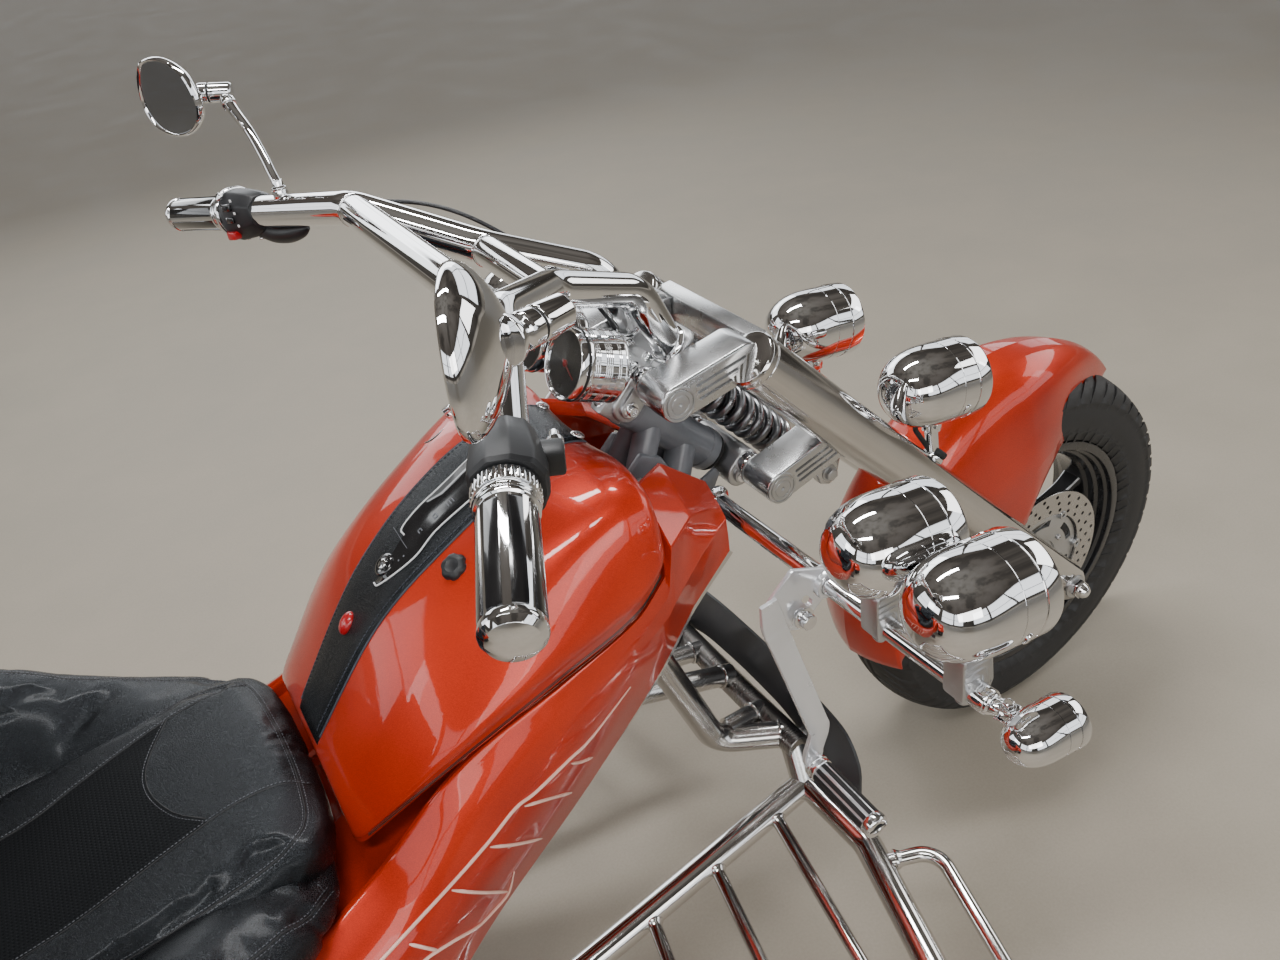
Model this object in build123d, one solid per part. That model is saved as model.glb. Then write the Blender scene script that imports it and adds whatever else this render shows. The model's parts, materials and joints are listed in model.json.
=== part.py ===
from build123d import *
import math
import os

# Motor trike: one steered front wheel in a long raked parallelogram fork, two
# wide rear wheels, engine behind. Millimetres. All places below are written in
# a working frame whose origin is on the ground under the front axle: +X
# forward, +Y left, +Z up. SHIFT moves the finished nodes so that the origin
# is the middle of the footprint.

# ---------------------------------------------------------------- driving sizes
FRONT_END = 320.0          # front of the front tyre
REAR_END = -3250.0         # rear of the bumper
SHIFT = -(FRONT_END + REAR_END) / 2
WHEELBASE = 2420.0
FW_R, FW_HALF = 320.0, 72.0            # front tyre radius, half width
FW_BEAD_R, FW_BEAD_HALF = 206.0, 56.0  # front rim seat radius, half width
RW_R, RW_HALF = 338.0, 148.0           # rear tyre
RW_BEAD_R, RW_BEAD_HALF = 196.0, 128.0
RW_Y = 765.0                           # rear wheel centre from the middle
AXLE_R = 12.5
PIN_GAP = 0.3                          # radial gap of pins and shafts
RAKE_DX, RAKE_DZ = 0.694, -0.720       # fork direction, downwards
STEER_X, STEER_Z = -698.0, 873.0       # a point on the steering axis
FORK_Y, FORK_R = 120.0, 33.0           # fork tube place and radius
FORK_UP = 850.0                        # fork tube length above the axle
FORK_DOWN = 40.0                       # fork tube length below the axle
UP_PIVOT = (-682.0, 908.0)             # upper link pivot (x, z)
LO_PIVOT = (-551.0, 741.0)             # lower link pivot (x, z)
LINK_Y0, LINK_Y1 = 68.0, 121.0         # inner and outer faces of the link arms
BAR_R = 19.0                           # handlebar and frame tube radius
BOARD_R, ROD_R = 19.0, 9.0             # running board rail and rod radii
PANEL_T = 5.0                          # body shell thickness
LAMP_R = 52.5                          # bullet lamp radius
BOARD_Y = 600.0                        # outer edge of the running board

os.makedirs("parts", exist_ok=True)
NODES = []


# ---------------------------------------------------------------- helpers
def rod(p, q, r):
    """round bar from p to q"""
    v = Vector(*q) - Vector(*p)
    return Plane(origin=p, z_dir=v) * Cylinder(
        r, v.length, align=(Align.CENTER, Align.CENTER, Align.MIN))


def pipe(pts, r, bend):
    """round bar along straight runs with tangent bends"""
    path = FilletPolyline(*pts, radius=bend) if len(pts) > 2 else Line(*pts)
    d = Vector(*pts[1]) - Vector(*pts[0])
    return sweep(Plane(origin=pts[0], z_dir=d) * Circle(r), path=path)


def turned(profile, origin, direction):
    """solid of revolution; profile = (distance along the axis, radius) points"""
    face = make_face(Polyline(*[(a, r) for a, r in profile], close=True))
    body = revolve(face, Axis.X)
    d = Vector(*direction).normalized()
    side = Vector(0, 1, 0) if abs(d.Y) < 0.9 else Vector(0, 0, 1)
    z = d.cross(side).normalized()
    return Plane(origin=origin, x_dir=d, z_dir=z) * body


def ring_y(profile, x, z, y=0.0):
    """solid of revolution about a line along Y; profile = (radius, y) wire"""
    return Location((x, y, z)) * revolve(make_face(profile), Axis.Y)


def slab_xz(pts, y0, y1):
    """plate with an outline in the XZ plane, from y0 to y1"""
    face = make_face(Polyline(*[(x, z) for x, z in pts], close=True))
    pl = Plane(origin=(0, max(y0, y1), 0), x_dir=(1, 0, 0), z_dir=(0, -1, 0))
    return extrude(pl * face, abs(y1 - y0))


def bar_xz(a, b, half, y0, y1):
    """straight arm with round ends, seen from the side"""
    dx, dz = b[0] - a[0], b[1] - a[1]
    n = math.hypot(dx, dz)
    nx, nz = -dz / n * half, dx / n * half
    s = slab_xz([(a[0] + nx, a[1] + nz), (b[0] + nx, b[1] + nz),
                 (b[0] - nx, b[1] - nz), (a[0] - nx, a[1] - nz)], y0, y1)
    return s + rod((a[0], y0, a[1]), (a[0], y1, a[1]), half) \
        + rod((b[0], y0, b[1]), (b[0], y1, b[1]), half)


def block(x0, x1, y0, y1, z0, z1, r=0.0):
    b = Location(((x0 + x1) / 2, (y0 + y1) / 2, (z0 + z1) / 2)) * Box(
        x1 - x0, y1 - y0, z1 - z0)
    return fillet(b.edges(), r) if r else b


def section(x, pts):
    """closed outline across the vehicle at one x; pts = (y, z)"""
    return Plane(origin=(x, 0, 0), x_dir=(0, 1, 0), z_dir=(1, 0, 0)) * make_face(
        Polyline(*pts, close=True))


def hull(rows):
    """straight-sided body through outlines; rows = (x, [(y, z), ...])"""
    return loft([section(x, pts) for x, pts in rows], ruled=True)


def mirror_y(s):
    return mirror(s, about=Plane.XZ)


def both(s):
    """a right-hand piece and its mirror image, as two solids"""
    return [s, mirror_y(s)]


def steer_at(t, off=0.0, y=0.0):
    """point t mm down the steering axis, off mm in front of it"""
    return (STEER_X + RAKE_DX * t - RAKE_DZ * off, y,
            STEER_Z + RAKE_DZ * t + RAKE_DX * off)


def fork_at(t, off=0.0, y=0.0):
    """point t mm up the fork line from the front axle, off mm in front"""
    return (-RAKE_DX * t - RAKE_DZ * off, y, FW_R - RAKE_DZ * t + RAKE_DX * off)


def save(name, *solids):
    flat = []
    for s in solids:
        flat += list(s) if isinstance(s, list) else [s]
    out = []
    for s in flat:
        out += s.solids()
    out = [s.moved(Location((SHIFT, 0, 0))) for s in out]
    shape = out[0] if len(out) == 1 else Compound(children=out)
    shape.label = name
    export_step(shape, "parts/" + name + ".step")
    NODES.append(name)


STEER_DIR = (RAKE_DX, 0, RAKE_DZ)
UP_DIR = (-RAKE_DX, 0, -RAKE_DZ)
LATERAL = (0, 1, 0)


# ---------------------------------------------------------------- wheels
def tyre_profile(R, half, bead_r, bead_half):
    h = R - bead_r
    lip = bead_r + 11.5
    half_outline = [(bead_r, bead_half), (lip, bead_half), (lip, bead_half + 7),
                    (bead_r + 0.45 * h, half), (bead_r + 0.7 * h, half * 0.965),
                    (R - 0.16 * h, 0.86 * half)]
    c = half_outline[-1]
    left = Polyline(*[(r, -y) for r, y in half_outline])
    right = Polyline(*reversed(half_outline))
    crown = ThreePointArc((c[0], -c[1]), (R, 0), c)
    return left + crown + right + Line((bead_r, bead_half), (bead_r, -bead_half))


def barrel_profile(bead_r, bead_half, lip=9.0, well=20.0, t=7.0):
    b, w = bead_r, bead_half
    w += 0.4
    pts = [(b - t, -w - 6), (b + lip, -w - 6), (b + lip, -w), (b - 0.2, -w),
           (b - 0.2, -w * 0.55), (b - well, -w * 0.4), (b - well, w * 0.4),
           (b - 0.2, w * 0.55), (b - 0.2, w), (b + lip, w), (b + lip, w + 6),
           (b - t, w + 6), (b - t, w * 0.6), (b - well - t, w * 0.42),
           (b - well - t, -w * 0.42), (b - t, -w * 0.6)]
    return Polyline(*pts, close=True)


def spokes(n, x, z, y0, y1, r0, r1, w, phase=0.0):
    out = None
    for i in range(n):
        a = math.radians(phase + 360.0 * i / n)
        s = Location(((r0 + r1) / 2, (y0 + y1) / 2, 0)) * Box(r1 - r0, y1 - y0, w)
        s = s.rotate(Axis.Y, math.degrees(a))
        out = s if out is None else out + s
    return Location((x, 0, z)) * out


save("front_tyre", ring_y(tyre_profile(FW_R, FW_HALF, FW_BEAD_R, FW_BEAD_HALF), 0, FW_R))
rim = ring_y(barrel_profile(FW_BEAD_R, FW_BEAD_HALF), 0, FW_R)
rim += rod((0, -60, FW_R), (0, 60, FW_R), 36)
rim += spokes(6, 0, FW_R, -14, 14, 30, FW_BEAD_R - 24, 30)
rim -= rod((0, -90, FW_R), (0, 90, FW_R), AXLE_R + PIN_GAP)
save("front_rim", rim)

disc = rod((0, -80.5, FW_R), (0, -75.5, FW_R), 135) - rod((0, -90, FW_R), (0, -60, FW_R), 60)
carrier = rod((0, -75.5, FW_R), (0, -60, FW_R), 78) - rod((0, -90, FW_R), (0, -50, FW_R), AXLE_R + PIN_GAP)
save("front_brake_disc", disc + carrier)

for side, s in (("left", 1), ("right", -1)):
    yc = s * RW_Y
    save("rear_tyre_" + side, ring_y(
        tyre_profile(RW_R, RW_HALF, RW_BEAD_R, RW_BEAD_HALF), -WHEELBASE, RW_R, yc))
    r = ring_y(barrel_profile(RW_BEAD_R, RW_BEAD_HALF, 10, 26, 8), -WHEELBASE, RW_R, yc)
    face0, face1 = yc + s * 60, yc + s * 96
    r += rod((-WHEELBASE, face0, RW_R), (-WHEELBASE, face1 + s * 6, RW_R), 62)
    r += spokes(5, -WHEELBASE, RW_R, min(face0, face1), max(face0, face1), 40, RW_BEAD_R - 5, 52, 90)
    r -= rod((-WHEELBASE, yc - s * 200, RW_R), (-WHEELBASE, yc + s * 70, RW_R), 40)
    save("rear_rim_" + side, r)

# ---------------------------------------------------------------- steering body
# front axle with acorn nuts
axle = rod((0, -158, FW_R), (0, 158, FW_R), AXLE_R)
for s in (-1, 1):
    axle += rod((0, s * 153.5, FW_R), (0, s * 168, FW_R), 15)
    axle += turned([(0, 0), (0, 12), (6, 11), (12, 6), (14, 0)], (0, s * 166, FW_R), (0, s, 0))
save("front_axle", axle)

# fork tubes: closed round tops, lower ends drilled for the axle
tubes = []
for s in (-1, 1):
    t = rod(fork_at(-FORK_DOWN, 0, s * FORK_Y), fork_at(FORK_UP, 0, s * FORK_Y), FORK_R)
    t -= rod((0, s * 60, FW_R), (0, s * 153, FW_R), AXLE_R + PIN_GAP)
    t -= rod((0, s * 153, FW_R), (0, s * 190, FW_R), 40)
    tubes.append(t)
save("fork_tubes", tubes)

# upper link: two arms joined by a box yoke with a window, between the tubes
def clear_of_tubes(s):
    for k in (-1, 1):
        s -= rod(fork_at(-60, 0, k * FORK_Y), fork_at(FORK_UP + 60, 0, k * FORK_Y), FORK_R + PIN_GAP)
    return s


UPF = (UP_PIVOT[0] + 92, UP_PIVOT[1] + 18)
link = slab_xz([(-568, 912), (-553, 915), (-547, 942), (-568, 938)], -LINK_Y1, LINK_Y1)
SPRING_TOP, SPRING_LOW = (-617.0, 886.0), (-446.0, 698.0)
for s in (-1, 1):
    link += bar_xz(UP_PIVOT, UPF, 22, s * LINK_Y0, s * LINK_Y1)
link += rod((SPRING_TOP[0], -LINK_Y0 - 2, SPRING_TOP[1]), (SPRING_TOP[0], LINK_Y0 + 2, SPRING_TOP[1]), 10)
for s in (-1, 1):
    link -= rod((UP_PIVOT[0], s * 60, UP_PIVOT[1]), (UP_PIVOT[0], s * 117, UP_PIVOT[1]), 10 + PIN_GAP)
save("upper_link", clear_of_tubes(link))

# lower link: two arms, a cross bar that holds the spring hangs below them
LOF = (LO_PIVOT[0] + 92, LO_PIVOT[1] + 26)
low = rod((SPRING_LOW[0], -LINK_Y0 - 2, SPRING_LOW[1]), (SPRING_LOW[0], LINK_Y0 + 2, SPRING_LOW[1]), 10)
for s in (-1, 1):
    low += bar_xz(LO_PIVOT, LOF, 21, s * LINK_Y0, s * LINK_Y1)
    low += slab_xz([(-486, 748), (-434, 766), (-430, 686), (-462, 686)], s * LINK_Y0, s * (LINK_Y0 + 16))
for s in (-1, 1):
    low -= rod((LO_PIVOT[0], s * 60, LO_PIVOT[1]), (LO_PIVOT[0], s * 117, LO_PIVOT[1]), 10 + PIN_GAP)
save("lower_link", clear_of_tubes(low))

# stem: shaft through the head tube with an upper and a lower bracket that
# carry the link pivots, and a seat for the handlebar plate
STEM_R = 14.0
PLATE_C = (-641.0, 928.0)              # middle of the handlebar plate (x, z)
STEER_PLANE = Plane(origin=(0, 0, 0), x_dir=(-RAKE_DZ, 0, RAKE_DX), z_dir=(-RAKE_DX, 0, -RAKE_DZ))


def plate_box(length, width, t, lift=0.0):
    """flat box square to the steering axis at the handlebar plate"""
    o = (PLATE_C[0] - RAKE_DX * lift, 0, PLATE_C[1] - RAKE_DZ * lift)
    return Plane(origin=o, x_dir=STEER_PLANE.x_dir, z_dir=STEER_PLANE.z_dir) * Box(length, width, t)


stem = rod(steer_at(-20), steer_at(215), STEM_R)
for pv, t0 in ((UP_PIVOT, -13), (LO_PIVOT, 197)):
    c = steer_at(t0)
    stem += bar_xz((c[0], c[2]), pv, 19, -50, 50)
    stem += rod((pv[0], -66.5, pv[1]), (pv[0], 66.5, pv[1]), 16)
    stem += rod((pv[0], -116.5, pv[1]), (pv[0], 116.5, pv[1]), 10)
stem += bar_xz(UP_PIVOT, (-652, 912), 12, -28, 28)
stem -= plate_box(80, 140, 30, 11.8)
save("steering_stem", stem)

# coil-over spring between the upper and the lower link
def along(a, b, f):
    return (a[0] + (b[0] - a[0]) * f, 0, a[1] + (b[1] - a[1]) * f)


spring = rod(along(SPRING_TOP, SPRING_LOW, 0.17), along(SPRING_TOP, SPRING_LOW, 0.86), 28)
spring += rod(along(SPRING_TOP, SPRING_LOW, 0.05), along(SPRING_TOP, SPRING_LOW, 0.95), 9)
for c in (SPRING_TOP, SPRING_LOW):
    spring += rod((c[0], -20, c[1]), (c[0], 20, c[1]), 18)
for c in (SPRING_TOP, SPRING_LOW):
    spring -= rod((c[0], -30, c[1]), (c[0], 30, c[1]), 10 + PIN_GAP)
save("shock_absorber", spring)

# front fender: crown columns = angle from the front (deg), radius from the axle
CROWN = [(51, 336), (62, 350), (75, 365), (90, 383), (101, 393), (112, 393), (130, 386), (150, 372), (168, 358),
         (191, 345)]
SKIRT = [(-300, 200), (-215, 330), (-70, 440), (60, 520)]
FENDER_Y = 83.0


def fender_outline(inset):
    pts = []
    for a, r in CROWN:
        r -= inset
        pts.append((r * math.cos(math.radians(a)), FW_R + r * math.sin(math.radians(a))))
    return pts


outer = slab_xz(fender_outline(0) + SKIRT, -FENDER_Y, FENDER_Y)
inner = slab_xz(fender_outline(5) + [(-360, 150), (-100, 200), (250, 450)], -FENDER_Y + 5, FENDER_Y - 5)
save("front_fender", outer - inner)

# handlebar
BAR = [(-634, 40, 920), (-675, 40, 1012), (-791, 78, 1062), (-891, 194, 1106), (-1036, 512, 1060)]
halves = []
for s in (-1, 1):
    pts = [(x, s * y, z) for x, y, z in BAR]
    halves.append(pipe(pts, BAR_R, 55))
bar = halves[0] + halves[1]
bar += rod((-891, -188, 1104), (-891, 188, 1104), BAR_R - 1)
bar += rod((-791, -72, 1060), (-791, 72, 1060), BAR_R - 2)
bar -= plate_box(200, 200, 60, -26.8)
save("handlebar", bar)
save("handlebar_clamp", plate_box(62, 128, 6))

grips, housings = [], []
gd = Vector(-145, -318, -46).normalized()
for s in (-1, 1):
    d = Vector(gd.X, gd.Y * -s, gd.Z)
    e = Vector(-1036, s * 512, 1060)
    a = e - d * 128
    g = turned([(0, BAR_R + 0.3), (0, 23), (14, 23), (16, 20.5), (126, 20.5), (134, 14), (136, 0), (129, 0), (129, BAR_R + 0.3)],
               (a.X, a.Y, a.Z), (d.X, d.Y, d.Z))
    grips.append(g)
    h0 = e - d * 185
    housings.append(turned([(0, BAR_R + 0.3), (0, 26), (50, 26), (50, BAR_R + 0.3)], (h0.X, h0.Y, h0.Z), (d.X, d.Y, d.Z)))
save("grips", grips)
save("switch_housings", housings)

# control cable: from the left switch housing round to the handlebar plate
CABLE = [(-938.5, 351.5, 1084.5), (-905, 300, 1096), (-874, 240, 1098), (-800, 170, 1094), (-735, 112, 1044), (-668, 66, 962), (-654, 58, 922)]
save("control_cable", pipe(CABLE, 2.5, 24))

for side, s in (("left", 1), ("right", -1)):
    m = pipe([(-942, s * 303, 1114), (-944, s * 319, 1144), (-948, s * 440, 1207)], 6, 12)
    m += rod((-948, s * 440, 1207), (-1000, s * 450, 1211), 9)
    h = scale(Sphere(50), (0.35, 1.12, 0.96)).rotate(Axis.Z, -27 * s)
    save("mirror_" + side, m + Location((-1008, s * 452, 1211)) * h)

# gauges: two round instruments facing the rider
gauges = []
for s in (-1, 1):
    gauges.append(turned([(0, 0), (0, 40), (60, 40), (68, 30), (68, 0)], (-775, s * 45, 962), (0.914, 0, -0.406)))
g = gauges[0] + gauges[1] + rod((-700, -50, 930), (-700, 50, 930), 8)
save("gauges", g)

# bullet lamps
def bullet(c, r, length, pitch=7.0):
    p = math.radians(pitch)
    d = (math.cos(p), 0, -math.sin(p))
    k = length
    start = (c[0] - d[0] * k * 0.5, c[1], c[2] - d[2] * k * 0.5)
    prof = [(0, 0), (0.01 * k, r * 0.3), (0.06 * k, r * 0.56), (0.16 * k, r * 0.80), (0.3 * k, r * 0.94),
            (0.46 * k, r), (0.94 * k, r), (0.97 * k, r * 0.93), (k, r * 0.6), (1.02 * k, 0)]
    return turned(prof, start, d)


heads = []
for s in (-1, 1):
    c = (-316, s * 118, 793)
    lamp = bullet(c, LAMP_R, 128)
    f = fork_at(468, FORK_R + 1, s * FORK_Y)
    lamp += rod((c[0] + 8, c[1], c[2] - 40), f, 9)
    heads.append(clear_of_tubes(lamp))
save("headlamps", heads)

caliper = block(-150, -96, -95, -62, 262, 338, 4) - rod((0, -86, FW_R), (0, -70, FW_R), 141)
caliper += bar_xz((-122, 318), (-70, 372), 13, -99, -94)
save("brake_caliper", clear_of_tubes(caliper))

# ---------------------------------------------------------------- chassis
# head tube, upper and lower frame tubes
HEAD_R = 28.0
frame = rod(steer_at(16), steer_at(170), HEAD_R)
for s in (-1, 1):
    frame += pipe([steer_at(60, -8, s * 10), (-790, s * 66, 600), (-1150, s * 120, 430), (-1500, s * 200, 330)], 17, 60)
    frame += pipe([steer_at(120, -8, s * 10), (-745, s * 92, 575), (-655, s * 82, 335), (-572, s * 130, 335)], BAR_R, 40)
    frame += rod((-636, s * 84, 348), (-570, s * 78, 340), 15)
    frame += rod((-570, s * 150, 335), (-577, s * 180, 287), BAR_R - 1)
    frame += pipe([(-1400, s * 177, 350), (-1510, s * 202, 228), (-2200, s * 240, 226), (-2900, s * 240, 226)], 21, 60)
    frame += rod((-1500, s * 200, 330), (-1500, s * 200, 230), 17)
    frame += block(-1535, -1465, s * 200 - 30, s * 200 + 30, 195, 232)
frame += pipe([(-570, 0, 348), (-800, 0, 428), (-1160, 0, 428)], 16, 60)
frame += rod((-1150, -120, 430), (-1150, 120, 430), 16)
frame += rod((-1500, -200, 330), (-1500, 200, 330), 17)
frame += rod((-2000, -232, 226), (-2000, 232, 226), 17)
frame += rod((-2880, -240, 226), (-2880, 240, 226), 17)
frame += rod((-570, -165, 335), (-570, 165, 335), BAR_R)
frame -= rod(steer_at(-20), steer_at(230), STEM_R + PIN_GAP)
save("frame", frame)

# rear axle beam with hubs and swing arms
axle = rod((-WHEELBASE, -RW_Y - 40, RW_R), (-WHEELBASE, RW_Y + 40, RW_R), 34)
for s in (-1, 1):
    axle += rod((-WHEELBASE, s * 560, RW_R), (-WHEELBASE, s * 610, RW_R), 120)
save("rear_axle", axle)

save("engine_block", block(-3040, -2580, -300, 300, 248, 640, 20))

# side panels: thin shells from the nose to the rear body
# rows: x, bottom (y, z), crease (y, z), top (y, z)
PANEL = [(-642, (136, 700), (133, 745), (94, 778)),
         (-700, (140, 648), (164, 735), (92, 830)),
         (-748, (145, 592), (180, 704), (120, 836)),
         (-758, (146, 582), (180, 690), (186, 752)),
         (-800, (150, 542), (184, 664), (189, 719)),
         (-900, (166, 470), (206, 604), (193, 687)),
         (-1030, (195, 400), (232, 524), (189, 641)),
         (-1150, (226, 330), (256, 470), (186, 545)),
         (-1400, (272, 250), (304, 420), (250, 480)),
         (-1760, (360, 240), (392, 420), (300, 470))]
rows = []
k = PANEL_T
for x, b, m, t in PANEL:
    rows.append((x, [(-b[0], b[1]), (-m[0], m[1]), (-t[0], t[1]),
                     (-t[0] + k, t[1] - k), (-m[0] + k, m[1] - k), (-b[0] + k, b[1])]))
save("side_panels", both(hull(rows)))

# fuel tank; rows: x, half outline from the bottom edge up (y, z)
TANK = [(-756, [(186, 764), (196, 798), (176, 846), (124, 866), (48, 858)]),
        (-800, [(190, 722), (206, 772), (176, 850), (120, 872), (46, 872)]),
        (-900, [(194, 690), (210, 742), (172, 806), (110, 834), (36, 836)]),
        (-1030, [(190, 644), (204, 684), (150, 724), (100, 742), (36, 750)]),
        (-1146, [(148, 556), (152, 575), (120, 592), (80, 602), (36, 606)])]
rows = [(x, [(-y, z) for y, z in half] + [(y, z) for y, z in reversed(half)]) for x, half in TANK]
tank = hull(rows)
save("fuel_tank", tank)

# padded console strip along the top of the tank; rows: x, half width, height of
# its edge, height of its middle, half width of the middle
STRIP = [(-756, 50, 858.2, 858, 48), (-800, 56, 872, 872, 46), (-900, 66, 835.2, 836, 36), (-960, 66, 794, 796.3, 36),
         (-1030, 52, 748, 750, 36), (-1100, 42, 662.6, 663.1, 36), (-1144, 37, 608.2, 608.5, 36)]
strip = hull([(x, [(-w, ze - 3), (-w, ze + 6), (-k, zi + 7), (k, zi + 7), (w, ze + 6), (w, ze - 3)])
              for x, w, ze, zi, k in STRIP]) - tank
save("tank_console", strip)

# filler cap on the left and choke knob on the right of the strip
cap = turned([(0, 0), (0, 26), (8, 26), (12, 22), (12, 0)], (-876, 130, 827), (-0.37, 0.38, 0.85))
knob = turned([(0, 0), (0, 17), (14, 16), (17, 12), (17, 0)], (-950, -88, 797), (-0.45, -0.3, 0.84))
save("fuel_cap", cap - tank)
save("choke_knob", knob - tank - strip)

# driver's seat; rows: x, half width, bottom, bolster top, middle top
SEAT = [(-1160, 176, 548, 590, 600), (-1200, 222, 532, 590, 602), (-1300, 258, 510, 606, 584),
        (-1430, 304, 494, 655, 560), (-1600, 320, 490, 700, 545), (-1750, 320, 490, 740, 545)]
rows = []
for x, w, zb, zt, zc in SEAT:
    rows.append((x, [(-w, zb), (-w, zt - 14), (-w + 18, zt), (-w + 60, zt - 4), (-w + 105, zc),
                     (w - 105, zc), (w - 60, zt - 4), (w - 18, zt), (w, zt - 14), (w, zb)]))
save("driver_seat", hull(rows))
save("driver_backrest", slab_xz([(-1758, 562), (-1850, 930), (-1940, 915), (-1846, 562)], -265, 265))
save("passenger_seat", slab_xz([(-1975, 800), (-1990, 860), (-2480, 850), (-2480, 770), (-1980, 770)], -330, 330))
save("passenger_backrest", slab_xz([(-2486, 860), (-2570, 1210), (-2650, 1200), (-2580, 860)], -330, 330))

# rear body: shell between the rear wheels, open below
REAR = [(-1840, 400, 250, 480), (-2010, 480, 260, 735), (-2250, 590, 300, 762), (-2700, 590, 330, 762),
        (-3050, 570, 380, 780), (-3180, 520, 430, 740)]
outer = hull([(x, [(-w, zb), (-w, zt - 60), (-w + 60, zt), (w - 60, zt), (w, zt - 60), (w, zb)]) for x, w, zb, zt in REAR])
inner = hull([(x + (-6 if i == 0 else 6 if i == len(REAR) - 1 else 0),
               [(-w + 6, zb - 60), (-w + 6, zt - 63), (-w + 63, zt - 6), (w - 63, zt - 6), (w - 6, zt - 63), (w - 6, zb - 60)])
              for i, (x, w, zb, zt) in enumerate(REAR)])
shell = outer - inner
for s in (-1, 1):
    shell -= rod((-WHEELBASE, s * 500, RW_R), (-WHEELBASE, s * 700, RW_R), 140)
    shell -= block(-WHEELBASE - 140, -WHEELBASE + 140, s * 600 - 60, s * 600 + 60, 200, RW_R)
save("rear_body", shell)

fenders = []
for s in (-1, 1):
    f = ring_y(Polyline((372, 0), (380, 0), (380, 330), (300, 338), (300, 330), (372, 322), close=True), -WHEELBASE, RW_R, 0)
    f &= Location((-WHEELBASE, 165, RW_R + 250)) * Box(900, 400, 420)
    f = f.moved(Location((0, 600, 0)))
    fenders.append(f if s > 0 else mirror_y(f))
save("rear_fenders", fenders)

# running boards: front rail swept back, two long rails, a rear rail and cross
# rods parallel to the front rail; a toe loop stands in front of the front rail
BOARD_IN0, BOARD_IN1 = (-582, -182, 283), (-1080, -205, 190)
BOARD_OUT0, BOARD_OUT1 = (-650, -BOARD_Y + 20, 262), (-1185, -BOARD_Y + 20, 172)


def board_at(a, b, f):
    return tuple(p + (q - p) * f for p, q in zip(a, b))


b = pipe([(-575, -172, 285), (-568, -300, 274), BOARD_OUT0], BOARD_R, 60)
b += rod(BOARD_IN0, BOARD_IN1, BOARD_R)
b += rod(BOARD_OUT0, BOARD_OUT1, BOARD_R)
b += rod(BOARD_IN1, BOARD_OUT1, BOARD_R)
for c in (BOARD_OUT0, BOARD_OUT1, BOARD_IN1):
    b += Location(c) * Sphere(BOARD_R)
for f in (0.11, 0.32, 0.53, 0.74):
    b += rod(board_at(BOARD_IN0, BOARD_IN1, f), board_at(BOARD_OUT0, BOARD_OUT1, f), ROD_R)
b += pipe([(-572, -336, 276), (-508, -366, 284), (-560, -552, 272), (-646, -562, 264)], ROD_R + 1, 34)
b -= rod((-570, -150, 335), (-577, -180, 287), BAR_R - 1)
save("running_board_right", b)
save("running_board_left", mirror_y(b))

# passenger footboards: treadplates on short brackets from the lower rails
foot = rod((-1600, -240, 226), (-1600, -350, 226), 12) + block(-1700, -1500, -455, -340, 218, 232, 3)
foot -= rod((-1510, -202, 228), (-2200, -240, 226), 21.3)
foot -= rod((-1500, -200, 230), (-1500, -200, 330), 17.3)
save("passenger_footboards", both(foot - block(-1700, -1500, -240, 0, 150, 260)))

# lamp bar with lamps and turn signals
LAMP_BAR = ((-620, -72, 732), (-600, -500, 717))
save("lamp_bar", both(rod(*LAMP_BAR, 12)))
lamps, signals = [], []
for s in (-1, 1):
    for y in (355, 465):
        lamp = bullet((-605, s * y, 823), LAMP_R, 128)
        lamp += rod((-606, s * y, 790), (-606, s * y, 728), 9)
        lamp -= rod((LAMP_BAR[0][0], s * 72, LAMP_BAR[0][2]), (LAMP_BAR[1][0], s * 500, LAMP_BAR[1][2]), 12.2)
        lamps.append(lamp)
    signals.append(bullet((-590, s * 545, 712), 26.5, 78) + rod((-599, s * 502.5, 716), (-592, s * 530, 713), 8))
save("bar_lamps", lamps)
save("front_turn_signals", signals)

# foot pedals
p = slab_xz([(-688, 733), (-655, 762), (-607, 742), (-598, 712), (-615, 703), (-648, 676), (-686, 695)], -274, -268)
p += rod((-648, -287, 699), (-648, -262, 699), 8)
p -= rod(*LAMP_BAR, 12.2)
p += bar_xz((-668, 690), (-630, 508), 13, -281, -274)
p += bar_xz((-630, 508), (-636, 462), 13, -281, -274)
p += rod((-632, -275, 449), (-630, -385, 441), 16)
save("foot_pedals", both(p))

# front shield: dark plate that stands in front of the lateral member; rows:
# y, lower z, upper z
SHIELD = [(0, 350, 442), (90, 345, 438), (150, 326, 427), (218, 306, 417), (247, 296, 394), (262, 292, 352)]
low_edge = [(-y, a) for y, a, b in reversed(SHIELD)] + [(y, a) for y, a, b in SHIELD[1:]]
top_edge = [(y, b) for y, a, b in reversed(SHIELD)] + [(-y, b) for y, a, b in SHIELD[1:]]
plate = extrude(section(-548, low_edge + top_edge), 4)
for y in (-150, 150):
    plate += rod((-556, y, 340), (-546, y, 340), 9)
save("front_shield", plate - rod((-570, -165, 335), (-570, 165, 335), BAR_R + 0.3))

# exhausts, tail lights, plate holder, bumper
save("exhausts", both(rod((-2700, -340, 250), (-3230, -340, 250), 38)))
save("tail_lights", both(block(-3215, -3184, -500, -360, 560, 640, 8)))
plate = block(-3206, -3200, -140, 140, 420, 560)
for y in (-85, 85):
    for z in (440, 540):
        plate -= rod((-3210, y, z), (-3190, y, z), 3.0)
save("plate_holder", plate)
bump = pipe([(-3100, -420, 360), (-3225, -420, 360), (-3225, 420, 360), (-3100, 420, 360)], 25, 60)
save("rear_bumper", bump)
print(len(NODES), "nodes")
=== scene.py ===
import bpy, bmesh, json, math
from mathutils import Vector, Matrix, noise
from mathutils.bvhtree import BVHTree


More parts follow.
